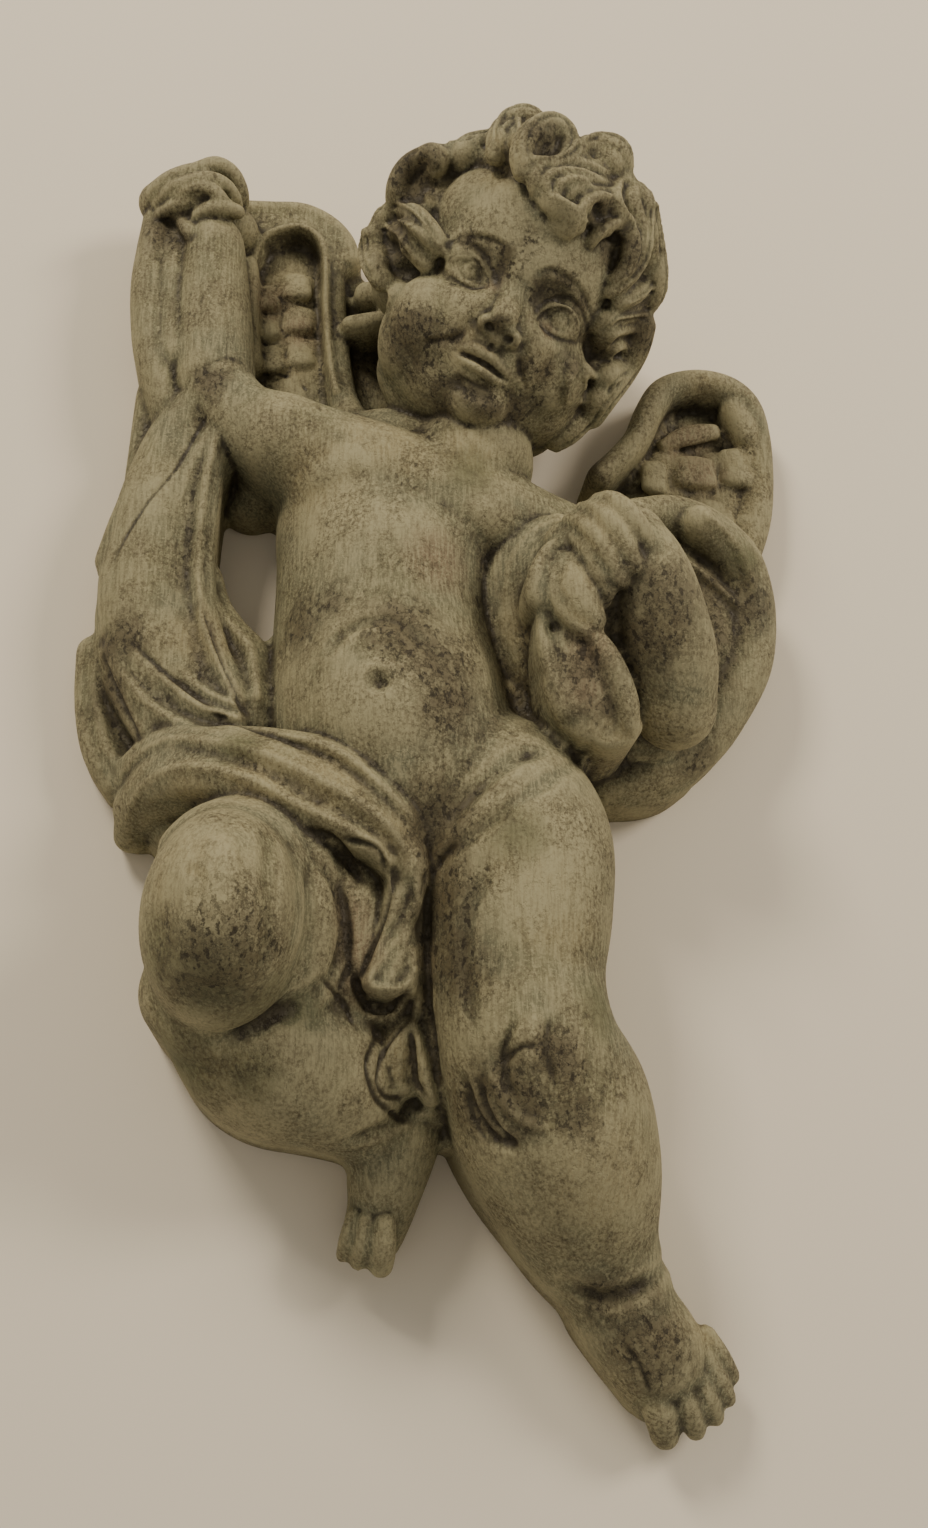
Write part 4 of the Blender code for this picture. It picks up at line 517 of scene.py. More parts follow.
# %% [markdown]
# ## Head and face
#
# The skull, cheeks and chin are balls. Sockets are pressed in before the eyes are laid in them,
# and lids, nose and lips are short strands on top. A lid is a thin strand that lies round the
# eyeball, so the lids of an eye are drawn as one long flat almond. All places here are the
# head's own: right, up and out from the middle of the skull.

# %% Face
EYES = [(-9.7, -3.1), (10.2, -4.3)]
EYEBALL = 4.9

UPPER_LIDS = [
    [(-14.4, -3.35, 13.4, 0.5), (-13.8, -2.01, 14.6, 0.6), (-12.7, -1.08, 15.5, 0.7),
     (-11.2, -0.58, 16.1, 0.7), (-9.5, -0.75, 16.4, 0.7), (-7.8, -1.5, 16.4, 0.7),
     (-6.3, -2.6, 16.2, 0.6), (-4.8, -4.02, 16, 0.5)],
    [(5.8, -4.89, 16, 0.5), (6.6, -3.63, 16.2, 0.6), (7.7, -2.62, 16.4, 0.7), (9.1, -1.95, 16.4, 0.7),
     (10.8, -1.7, 16.1, 0.7), (12.4, -2.03, 15.4, 0.7), (13.7, -2.7, 14.3, 0.6), (14.9, -3.88, 12.8, 0.5)],
]

LOWER_LIDS = [
    [(-13.9, -4.05, 13.7, 0.4), (-12.2, -5.08, 14.8, 0.5), (-10.3, -5.59, 15.5, 0.6),
     (-8.4, -5.59, 15.7, 0.6), (-6.5, -5.25, 15.8, 0.5), (-4.8, -4.73, 15.9, 0.4)],
    [(6.1, -5.5, 15.8, 0.4), (7.8, -6.19, 15.7, 0.5), (9.6, -6.71, 15.5, 0.6), (11.4, -6.62, 15.1, 0.6),
     (13, -6.11, 14.1, 0.5), (14.6, -5.07, 12.6, 0.4)],
]

LIPS = [
    [(-6.3, -18.2, 16.2, 0.5), (-4.5, -17.6, 17.7, 0.8), (-2.4, -17.2, 18.7, 1), (-0.8, -17.5, 19, 0.9),
     (1, -17.5, 18.9, 1), (3.4, -18.3, 18.1, 0.9), (5.2, -19, 16.8, 0.7), (6.6, -19.4, 15.5, 0.5)],
    [(-5.2, -19.4, 16.7, 0.6), (-2.5, -20.2, 18.1, 0.8), (0.4, -20.5, 18.5, 1), (2.8, -20.9, 18, 0.9),
     (5.2, -20.4, 16.5, 0.6)],
]


def head_masses(clay):
    """Skull, forehead, cheeks, chin and the soft fold under the chin."""
    for centre, radii in [((0, 6, -2), (21.5, 22, 23)), ((0, -10, 2), (19, 18, 18)),
                          ((-0.5, 8, 6), (18, 15, 15)), ((-1, 1.5, 8.5), (16.5, 10, 12)),
                          ((-6, 10, 5), (15, 13, 12)), ((0, -18, 0), (19.5, 14.5, 16)),
                          ((-10.8, -13, 6.8), (10.5, 10.5, 9.2)), ((11, -12.8, 6.4), (10, 10.2, 9)),
                          ((2.2, -25, 11), (6.5, 5.5, 7)), ((0.3, -17.5, 13), (8, 7, 6.2)),
                          ((-12.5, -15, 3), (9.5, 12, 10)), ((12.5, -15, 2), (9.5, 12, 10)),
                          ((0, 4, -14), (21, 22, 20))]:
        clay.ball(HEAD.place([centre])[0], radii, HEAD.turn)
    clay.strand(HEAD.place([(-12, -21, -3, 8), (-7, -25, -1, 8), (0, -26, -1, 8), (8, -24.5, -2, 7.5),
                            (13, -20, -4, 8)]))


def sockets(skin):
    """The hollows that the eyes lie in, deepest beside the nose, with an edge under the brow."""
    for right, up in EYES:
        inward = -1 if right > 0 else 1
        skin.press((right, up - 0.5, 18), (7.5, 5.5, 8), 2.6, HEAD)
        skin.press((right + 0.5 * inward, up + 4, 19), (7.5, 3.4, 6), 1.7, HEAD)
        skin.press((right + 5.2 * inward, up + 1.5, 20), (3.4, 4.5, 5), 1.6, HEAD)
    skin.look()


def face(clay):
    """Eyes with their lids, the short turned-up nose and the parted lips."""
    for right, up in EYES:
        clay.ball(HEAD.place([(right, up, 11.1)])[0], (EYEBALL, EYEBALL, EYEBALL))
    for rows in UPPER_LIDS + LOWER_LIDS + LIPS:
        clay.strand(HEAD.place(rows), away=HEAD.origin)
    for right, up in [(-2.6, -12.2), (3.2, -12.9)]:
        clay.ball(HEAD.place([(right, up, 19.4)])[0], (1.9, 1.9, 2.6), HEAD.turn)
    clay.strand(HEAD.place([(-1.2, 3, 15.4, 3.6), (-0.8, -2, 16.2, 3.4), (-0.2, -6.5, 18.2, 2.9),
                            (0, -9.8, 20.4, 2.8)]), sides=20)
    clay.strand(HEAD.place([(0.2, -11.4, 20.8, 1.4), (0.3, -14.3, 19.2, 1.3)]))


print("the head is described")

# %% [markdown]
# ## Hair
#
# Short thick curls stand off the skull. Each lock is a low broad strand with a narrow crest on
# it, so that it has the sharp back of a lock that was drawn through the clay with a tool. The
# real curls follow no rule, so each is a row of places of its own, in the head's directions:
# those beside the face, those on the crown, and the forelocks that fall over the brow. The
# shells of the ears are made as locks are, because they show the same sharp rims.

# %% Locks
SIDE_LOCKS = [
    [(-26.8, 17.4, 6.9, 3), (-29.2, 14.6, 3.5, 3.6), (-29.3, 10.9, 2.6, 3.8), (-27.7, 8.9, -0.4, 3)],
    [(-24.5, 20.5, 5.3, 1.3), (-24.4, 18.3, 5.4, 1.6), (-24.5, 16.3, 3.9, 1.7), (-24.8, 13.8, 3, 1.6),
     (-24.6, 11.6, 2.1, 1.5), (-23.2, 8.9, 4, 1.2)],
    [(-25.2, 20.1, 5.5, 1.3), (-27.9, 18.4, 4.4, 1.4), (-30, 14.9, 5.9, 1.4), (-31.4, 12.8, 2.9, 1.4),
     (-31.5, 9.7, 1.7, 1.3), (-30.6, 6.9, 2, 1.2)],
    [(-27.2, 12.6, 3.3, 0.7), (-25.1, 12.2, 2.4, 0.8), (-23.1, 8.8, 7.9, 0.8)],
    [(-28.5, -6.6, 4.5, 1.7), (-30.5, -2.4, -0.2, 1.7), (-31.5, 2, -1.4, 1.8), (-31, 5.2, -0.3, 1.9),
     (-28.8, 7.1, 1, 1.8), (-25.2, 4.1, 11, 1.7), (-22.1, 2.3, 14.1, 1.5), (-19.6, 0.8, 14.6, 1.4),
     (-17, -1.1, 14.5, 1.2)],
    [(-29.5, 1.4, -0.8, 1.5), (-28.6, 2.9, -0.6, 1.7), (-25.3, -1.3, 9.9, 2), (-22.4, -2.8, 11.3, 2),
     (-19.8, -4.5, 11.8, 1.7)],
    [(-26.5, 1.4, 9.8, 1.1), (-23.7, 0.2, 13.7, 1.2), (-21, -0.8, 14.7, 1.2), (-18.8, -1.9, 13.7, 1.1)],
    [(-32.3, 0.1, -1, 2), (-31.3, -3, -2.2, 2.2), (-29.1, -7.6, 3.9, 2.2), (-26.5, -9.8, 5.1, 2)],
    [(14.6, 29.2, 10, 1.7), (17.4, 27.1, 9.3, 1.8), (19.2, 22.5, 11.6, 1.8), (20.6, 17.9, 13.2, 1.8),
     (21.2, 14.2, 13, 1.7), (20.3, 10, 14.2, 1.5), (18.5, 6.4, 14.6, 1.2)],
    [(17.1, 18.2, 15.6, 1.3), (18.7, 15, 15.9, 1.4), (19, 11.8, 15.4, 1.3), (18.3, 8.9, 15.4, 1.1)],
    [(18.7, 26.7, 10.7, 1.6), (21.4, 24, 8, 1.8), (24.2, 20.4, 6.8, 1.9), (26.6, 16.4, 6.3, 2),
     (27.9, 13, 4.1, 2), (27.1, 9.9, 2.7, 1.8), (23.6, 5.3, 8.7, 1.6), (20.4, 2, 12.2, 1.4),
     (19.3, -0.4, 11.1, 1.2)],
    [(23.8, 18.1, 6.5, 1.5), (25.1, 15.1, 4.8, 1.6), (23.8, 9.5, 10.3, 1.6), (21.4, 5.7, 13.1, 1.4)],
    [(27.2, 6.6, 1.1, 1.2), (24.7, 3.5, 5.9, 1.4), (21.9, -0.1, 10.8, 1.4), (21.4, -1.8, 9, 1.3),
     (21.3, -3.3, 5.1, 1.1)],
    [(27.9, 4, 1.7, 1.4), (26.5, 2.8, 0.3, 1.5), (23.9, -1.1, 6.5, 1.5), (22.8, -3, 5, 1.3),
     (21.9, -4.2, 1.4, 1.1)],
    [(28.1, 0.9, 0.9, 1.5), (27, -0, -1, 1.6), (25.1, -1.9, -1.5, 1.5), (23, -6.5, 5.1, 1.3)],
    [(27.9, -2.9, 0.3, 1.6), (26.1, -6.9, 6.4, 1.7), (25.3, -9.3, 5.4, 1.6), (25, -11.7, 4.5, 1.4)],
    [(26.7, -9.3, 4.6, 1.8), (25.7, -12.6, 5.1, 2), (25, -15.8, 1.7, 2.2), (23.4, -20.3, 2.3, 2.2),
     (20.9, -23.5, 1.3, 2.2)],
    [(11.6, 29.1, 10.6, 2.6), (13.5, 26.3, 8.1, 2.6), (17, 23.1, 6.9, 2.6), (19.6, 18.9, 6.1, 2.6),
     (20.2, 12, 10.3, 2.4)],
    [(16.4, 28, 9.6, 2.8), (20, 23.5, 8.7, 3), (23.1, 18.4, 6, 3), (24.4, 13.4, 4.2, 3),
     (22.2, 7.1, 7.8, 2.4)],
    [(14.8, 20.4, 15.9, 1), (17, 18.4, 14.9, 1.1), (18.6, 15.3, 14.8, 1.1), (18.9, 11.8, 14.8, 1.1),
     (18.3, 8.3, 14.5, 1)],
    [(28.6, 7.4, 2.1, 2.6), (29.4, 3, -0.4, 3), (28.9, -2.2, -2.1, 3.2), (26.9, -10, 3.1, 3.2),
     (26.1, -14.9, 1.1, 3)],
]

TOP_LOCKS = [
    [(-21.6, 22.5, 6.6, 1.7), (-22.5, 20.1, 5.5, 1.5), (-22.6, 17.5, 4.2, 1.4),
     (-23.1, 14.4, 3.1, 1.2), (-23.5, 12, 1.9, 0.9)],
    [(-20.3, 23.5, 6.7, 1.7), (-20.6, 20.7, 5.8, 1.4), (-19.9, 18.3, 4.4, 1.2), (-19.7, 15.1, 5.6, 0.8)],
    [(-23.2, 21.4, 6.2, 1.5), (-24.2, 19, 4.6, 1.3)],
    [(-21, 21.3, 6.6, 3), (-17.1, 23.5, 6.4, 3.4), (-13.1, 25.1, 7.3, 3.4), (-10, 26, 7.4, 3)],
    [(-19.8, 21.8, 5.8, 1.8), (-16.4, 22.3, 8.3, 2.1), (-13.1, 21.9, 13.4, 2.1),
     (-10.2, 22.9, 14.2, 1.8)],
    [(-20.6, 23.4, 6.6, 2.3), (-17.6, 25.1, 7.8, 2.3), (-14.6, 26.3, 7.8, 2.2)],
    [(-15, 20.4, 16.4, 1.6), (-16, 23.5, 15.1, 1.8), (-15.9, 29.1, 9.5, 2), (-14, 31.3, 10.6, 2.1),
     (-11.3, 32.4, 11, 2), (-8.7, 32.3, 10.7, 1.6)],
    [(-14.3, 24, 13.5, 1.6), (-14.1, 26.6, 13.1, 1.8), (-12.9, 28.9, 11.7, 1.9),
     (-11.4, 23.7, 17.8, 1.8)],
    [(-8.5, 18, 21.7, 1.8), (-10, 20.7, 21, 2.1), (-10.2, 24.4, 20.1, 2.3), (-8.8, 28.1, 18.6, 2.4),
     (-6.1, 30.6, 16.4, 2.4), (-3.2, 30.4, 15.8, 2.3), (-1, 27.7, 17.2, 2), (-1.7, 23.7, 19.8, 1.7),
     (-4.1, 20.9, 21, 1.7), (-6.9, 19.4, 21.4, 1.7)],
    [(-8, 21.5, 20, 1.5), (-8.5, 24.8, 19, 1.6), (-6.9, 27.3, 18.7, 1.5)],
    [(-6.8, 24.3, 15.8, 3.4), (-4.6, 28.5, 12.8, 3.6), (-2.7, 26.8, 14.9, 3)],
    [(-0.4, 27.4, 18, 1.8), (2.1, 32.9, 11.3, 2.1), (5.2, 34.2, 11.8, 2.2), (8.2, 34.2, 11.4, 2.2),
     (10.2, 32.7, 10.5, 2.1), (10.4, 30.1, 10.2, 1.8)],
    [(-0.6, 24.9, 17.7, 1.4), (2.7, 26.2, 16.1, 1.5), (6.3, 27.8, 12.8, 1.5), (9.6, 29.2, 9.2, 1.4)],
    [(0.7, 30.1, 9.5, 2.6), (4, 31.1, 10.6, 3.4), (7.4, 31.2, 11.3, 3.2)],
]

FORELOCKS = [
    [(-4, 14.8, 22.3, 1), (-5.5, 16.2, 22.5, 1.2), (-5.2, 18.8, 21.6, 1.3), (-3, 21.3, 20.9, 1.3),
     (0.5, 23.8, 19.1, 1.3), (4.6, 25.5, 16.7, 1.3), (8.3, 27, 12.3, 1.2)],
    [(-2.2, 14.5, 23.6, 1), (-3.3, 16.6, 23.3, 1.2), (-2, 19.1, 22.8, 1.2), (1.3, 21.3, 21.6, 1.2),
     (5.3, 22.7, 19.3, 1.2), (8.2, 22.9, 16.7, 1)],
    [(-0.3, 14.8, 23.8, 1), (-0.6, 16.4, 23.9, 1.1), (1, 18.7, 23.4, 1.2), (4.2, 19.8, 22, 1.1),
     (6.5, 19.6, 20, 1)],
    [(2, 15.4, 23.4, 1), (2.7, 17.6, 23, 1), (4.7, 17.7, 22.1, 0.9)],
    [(-2.4, 18.1, 20.8, 3), (1, 18.8, 21, 3.2), (4.8, 21.2, 18.7, 3.2), (8, 24.7, 13.1, 2.6)],
    [(-1, 14.6, 21.6, 2), (2.2, 15, 21.6, 2.6), (5, 15.9, 20.7, 2.6), (8, 19.3, 17.8, 2.6),
     (11.2, 21.9, 14.3, 2.4)],
    [(-4, 15.6, 21.8, 1.1), (-1.6, 13.6, 23.5, 1.2), (1.1, 12.8, 24.1, 1.3), (3.7, 12.5, 24, 1.3),
     (5.4, 11.8, 23.2, 1.3), (4.9, 10.5, 22.6, 1.2), (2.8, 10.3, 22.5, 1.1), (1.1, 11, 22.2, 1)],
    [(-0.4, 13.8, 24.5, 1.1), (2.2, 13.5, 24.7, 1.2), (4.9, 13.5, 23.9, 1.2), (6.8, 12.9, 22.4, 1.1)],
    [(6.5, 12.6, 22.3, 1.1), (5.3, 14, 23.7, 1.2), (5.8, 16.5, 23.4, 1.3), (7.6, 19.3, 21.2, 1.4),
     (10.2, 20.9, 18.2, 1.3), (12.1, 20.4, 15.9, 1.2), (11.9, 18, 16.7, 1)],
    [(10.5, 12.1, 19.9, 1), (10.8, 14.1, 20.2, 1.2), (12.4, 16.8, 18.5, 1.4), (14.9, 19.6, 13.4, 1.3),
     (16.8, 20.2, 8.5, 1.2), (16.1, 17, 11.5, 1)],
    [(10.4, 27, 12.9, 1.2), (10.8, 22, 18.2, 1.3), (12.8, 20.3, 17.6, 1.3), (15.5, 20, 14.5, 1.2),
     (17.8, 19.8, 9.8, 1.1)],
    [(12.7, 29.5, 10.1, 1.4), (14.2, 25.6, 13.4, 1.5), (16.1, 23.4, 13.1, 1.5), (17.8, 20.7, 13.1, 1.3)],
]

EARS = [
    [(20.2, -9.5, 11.4, 1), (23, -8.6, 4.4, 1.1), (23.9, -10.9, 3.8, 1.1), (23, -12.8, 3.5, 1),
     (20.5, -15, 7.9, 0.9)],
    [(17.4, -10.7, 14.4, 0.9), (17.2, -13.8, 14.4, 1), (17.9, -16.3, 12.4, 1), (19.3, -17.9, 7.1, 0.9)],
    [(19.5, -10.7, 11.6, 0.9), (21, -11.8, 8.2, 0.9)],
    [(24.3, -13.5, 3.1, 1.2), (23.2, -15.6, 2, 1.3), (21.4, -17.5, 1.7, 1.2)],
    [(-23.5, -8.9, 4.1, 1.4), (-21.5, -12, 7.9, 1.9), (-21.2, -13.9, 5.9, 1.6)],
]


def hair(clay):
    """A cap of hair that stands off the skull, with the ridges of the curls laid over it."""
    for centre, radii in [((-14.5, 9, -4), (14, 14.5, 13)), ((13, 7, -6), (14, 20, 13)),
                          ((0, 18, 0), (18, 14, 13)), ((-19, -2, -8), (10, 10, 9)),
                          ((17, -11, -5), (8.5, 12, 9)), ((7, 21, 3), (11, 8.5, 10)),
                          ((-4, 23, 7), (8, 6.5, 8))]:
        clay.ball(HEAD.place([centre])[0], radii, HEAD.turn)
    for centre in [(1, 57, 38), (3, 69.3, 38.2)]:
        clay.ball(centre, (2.6, 3, 2.8))
    for rows in SIDE_LOCKS + TOP_LOCKS + FORELOCKS + EARS:
        clay.lock(HEAD.place(rows), HEAD.origin)


print(len(SIDE_LOCKS + TOP_LOCKS + FORELOCKS), "locks and", len(EARS), "parts of ears")

# %% [markdown]
# ## Wings
#
# Both wings are thick plates with a rolled edge. Rows of small rounded feathers lie in the
# sunken middle. A feather is a short flat strand that rises towards its lower end, so that each
# row stands a little over the next, as shingles on a roof do.

# %% Wings
LEFT_ARCH = [
    [(-36.5, 81.2, 6.6, 3, 4), (-30.1, 81.3, 6.6, 3.4, 4), (-24.1, 81.5, 6.6, 3.6, 4),
     (-18.9, 79.2, 6.6, 3.6, 4), (-15.1, 75.6, 6.2, 3.4, 4), (-13.4, 70.7, 6, 3.2, 4)],
    [(-35.5, 76, 5.6, 5, 4.4), (-29.5, 78.4, 6, 5.4, 4.4), (-23, 78.4, 6, 5.4, 4.4),
     (-18, 75.6, 6, 5, 4.4), (-15.2, 70, 6, 4, 4.4)],
    [(-35, 68.2, 7.2, 3, 3), (-33.5, 73, 7.4, 3.4, 3.2), (-29.6, 75.9, 7.6, 3.6, 3.2),
     (-24.8, 77.4, 7.6, 3.6, 3.2), (-20.3, 76, 7.6, 3.4, 3.2), (-17.3, 72.2, 7.6, 3, 3),
     (-16, 67.3, 7.4, 2.8, 3)],
    [(-34, 67, 8.6, 0.8, 2.2), (-32.2, 71.6, 9.4, 0.9, 2.6), (-29, 74, 9.8, 0.9, 2.8),
     (-24.9, 75.3, 10, 0.9, 2.8), (-21.4, 74.2, 9.8, 0.9, 2.8), (-19.1, 71.2, 9.6, 0.9, 2.6),
     (-18.2, 66, 9.2, 0.9, 2.4), (-17.9, 58, 9.2, 0.9, 2.4), (-17.2, 48, 9.8, 0.9, 2.4),
     (-16.2, 38, 11.4, 0.9, 2.4), (-14.8, 30, 13.6, 0.9, 2.4)],
    [(-17, 69, 7.6, 2.7, 2.6), (-16.5, 61.6, 7.4, 2.8, 2.6), (-15.7, 50.9, 7.8, 2.9, 2.6),
     (-14.6, 39.4, 9.4, 3, 2.8), (-13.5, 31, 11.4, 3.2, 3), (-11.5, 24, 14, 3.4, 3.4)],
    [(-34.8, 65.3, 8, 2, 4), (-33.9, 57.3, 8, 2, 4), (-33.4, 46.9, 8, 2, 4), (-32.5, 39, 9, 2, 4)],
    [(-12.2, 49.8, 11, 2.4, 3), (-9.2, 49.8, 12, 2.6, 3), (-6.2, 50.9, 12, 2.4, 3)],
]

RIGHT_RIM = [
    [(41.4, 16.8, 10.5, 3, 4), (45.5, 21.1, 10.5, 3, 4), (49.9, 27, 10.5, 3, 4),
     (53.1, 34.5, 10.5, 3.2, 4), (56.9, 40.1, 10, 3.4, 4), (64, 42.9, 9.5, 3.4, 4),
     (71, 42.1, 9, 3.6, 4), (75.6, 38.7, 8, 3.8, 3.6), (77.5, 31.7, 7, 3.8, 3),
     (77.5, 21.7, 6.6, 3.8, 3), (76.1, 11.5, 6.6, 3.8, 3), (72.7, 1.5, 6.6, 3.8, 3)],
    [(72.5, 37.7, 9, 3, 3), (74.3, 34, 9, 3.4, 3), (74.9, 31.5, 8.5, 3, 3)],
]

TILES = [
    [(-24.6, 64.6, 6.5, 3.6, 1.5), (-24.3, 59.6, 7.9, 3.6, 1.5)],
    [(-23.9, 55.9, 6.5, 3.7, 1.5), (-23.5, 50.8, 7.9, 3.4, 1.5)],
    [(-23, 47.6, 6.5, 3.4, 1.5), (-22.5, 41.5, 8.3, 3, 1.5)],
    [(-30.6, 61, 6.5, 2.5, 1.5), (-30.2, 56.5, 7.9, 2.5, 1.5)],
    [(-30, 53, 6.5, 2.5, 1.5), (-29.6, 48.6, 7.9, 2.5, 1.5)],
    [(-28.9, 45, 6.7, 2.6, 1.5), (-28.1, 39.6, 8.5, 2.6, 1.5)],
    [(63, 24.4, 7.5, 4.9, 1.5), (63, 18.4, 8.9, 4.7, 1.5)],
    [(73.3, 27.2, 7.3, 4.5, 1.5), (72.9, 19.6, 8.7, 4.3, 1.5)],
    [(54.2, 22.4, 7.5, 3, 1.5), (53.6, 16.2, 8.9, 3, 1.5)],
    [(67.4, 13.8, 7.1, 4.4, 1.4), (67, 8.8, 8.3, 4.2, 1.4)],
    [(58.6, 13.6, 7.1, 3.6, 1.4), (58.4, 9, 8.3, 3.4, 1.4)],
    [(75, 13.6, 6.9, 3, 1.4), (74.4, 9.4, 8.1, 3, 1.4)],
    [(56.7, 28.2, 7.6, 1.4, 1.4), (60, 30, 7.8, 2.3, 1.5), (64.3, 31.6, 7.8, 2.5, 1.5),
     (68.4, 32.6, 7.6, 2, 1.4)],
]


def left_wing(clay):
    """The wing behind the raised arm: a plate, the arch at its top and the walls of its hollow."""
    clay.strand([(-26, 72, 0, 14, 7), (-24, 50, 0, 15, 7.2), (-18, 26, 2, 14, 8.4)])
    clay.strand([(-27, 64, 3, 7, 4.6), (-25.5, 42, 3, 7, 5)])
    clay.strand([(-14, 66, 0, 8, 5), (-12, 50, 0, 9, 5), (-10, 34, 0, 9, 6)])
    for rows in LEFT_ARCH:
        clay.strand(rows)
    clay.strand([(-9, 61, 8, 3.2, 3), (-3.5, 60, 10, 3.2, 3)])
    clay.ball((-2.5, 54.5, 7), (4.5, 6, 7.5))


def right_wing(clay):
    """The small wing on the right: a flat plate with a sunken place near its top, and its rim."""
    clay.strand([(56, 4, 0, 17, 8), (64, 20, 0, 15.5, 8.2)])
    for right in (58, 69.5):
        clay.strand([(right, 8, 3, 7.5, 5.4), (right, 24, 3, 7, 5.4)])
    clay.strand([(64, 14, 0, 15, 6.8), (66, 30, 0, 12.5, 5)])
    clay.ball((65.5, 31, 1), (13, 12, 5))
    for rows in RIGHT_RIM:
        clay.strand(rows)


def feathers(clay):
    """Rows of short feathers like rounded tiles, on both wings."""
    for rows in TILES:
        clay.strand(rows)


print("two wings are described")

# %% [markdown]
# ## Drapery
#
# One length of cloth hangs from the raised hand, comes round over the lap and falls between the
# legs. The other end billows behind the folded arm. Folds are strands that touch along their
# length, so the melt leaves soft valleys between them. Cloth laid by simulation would fall its
# own way. The modeller's folds have to lie where they do, so each is drawn one by one.

# %% Cloth
HOOKED_FOLD = [
    [(-1.7, -73.2, 30.5, 3, 2.5), (-0.6, -77.1, 30.5, 3, 2.5), (-0.9, -80.9, 30, 2.7, 2.5),
     (-1.8, -84.3, 29.5, 2.4, 2.4), (-3, -87.6, 28.5, 2, 2.2), (-4.3, -90.7, 28, 1.6, 2),
     (-5.5, -93.7, 27.5, 1.2, 1.8)],
    [(0.5, -75.4, 33, 0.9), (1.6, -79.1, 32.6, 1), (1.5, -82.4, 32, 1), (0.6, -85, 31, 1),
     (-0.8, -87.3, 30.2, 0.9), (-2.4, -89.6, 29.6, 0.9), (-4, -91.9, 29, 0.8)],
    [(-3.9, -76.5, 32.6, 0.9), (-2.8, -80.1, 32, 0.9), (-3.1, -83.6, 31.2, 0.9),
     (-4, -87.4, 30.2, 0.9), (-5.2, -91, 29.2, 0.9), (-6.6, -94.9, 28.2, 0.8)],
    [(0.8, -87.2, 29.4, 0.8, 1.2), (0.1, -89.1, 29.4, 1.7, 1.3), (-1, -91.7, 29.4, 2.8, 1.3),
     (-2.1, -94.1, 29.2, 3.7, 1.3), (-2.9, -95.8, 29, 4.1, 1.3)],
    [(0.4, -87.8, 30.4, 0.7), (-2, -90.1, 30.4, 0.8), (-4.4, -93.2, 30.2, 0.9),
     (-6.5, -96.4, 29.6, 0.9)],
    [(-6.5, -96.7, 29.6, 0.8), (-4.3, -97.5, 29.6, 0.9), (-1.8, -97.6, 29.6, 0.9),
     (0.1, -96.9, 29.6, 0.9), (1.4, -94.6, 29.6, 0.8), (1.3, -90.9, 29.6, 0.8)],
    [(-8.8, -93.2, 25, 1.1), (-8.3, -96.8, 24, 1.2), (-6.7, -99.7, 23.4, 1.3), (-4.1, -101, 23.4, 1.3),
     (-1.7, -100.3, 23.6, 1.2), (0.2, -98.4, 24.4, 1.1)],
    [(0.1, -97.9, 22, 2.4, 2), (-0.9, -101.3, 21.5, 2.6, 2), (-2.1, -103.8, 20.5, 2.4, 2)],
    [(1.6, -101.4, 22.4, 0.9, 2), (0.6, -104.1, 22.6, 2.1, 2), (-0.3, -107.3, 22.4, 3.2, 2),
     (-0.6, -110.4, 21.8, 3.4, 2), (0.1, -112.5, 21, 3, 2)],
    [(1.2, -101.7, 24, 0.8), (-0.8, -104.2, 24, 0.9), (-2.3, -107.3, 23.8, 1), (-2.9, -110.3, 23.2, 1),
     (-2.2, -112.8, 22.2, 1), (-0.7, -113.7, 21.8, 1), (1.5, -113, 21.8, 1)],
    [(2, -101.9, 23.8, 0.8, 1.4), (2.9, -105.8, 23.8, 1.4, 1.4), (3.9, -109.5, 23.2, 1.6, 1.5),
     (4.8, -112.4, 22.4, 1.6, 1.5), (5.6, -114.3, 21.6, 1.3, 1.4)],
    [(-6.7, -99.5, 20.5, 1.2), (-5, -102.9, 20.5, 1.3), (-4.6, -107.9, 20, 1.3),
     (-4.1, -112, 19.4, 1.3), (-2.4, -115, 18.8, 1.3), (0, -117.1, 18.2, 1.3)],
    [(-0.6, -115.5, 17.5, 2, 2), (2.5, -116.6, 17.2, 2.2, 2), (5.6, -116.5, 16.8, 2.2, 2),
     (7.8, -115.6, 16.2, 2, 2)],
    [(3.2, -78.5, 27, 1), (2.4, -85.2, 26.6, 1), (2.6, -91.7, 26, 1), (2.9, -97.5, 25, 1),
     (2.5, -100.3, 24, 0.9)],
]

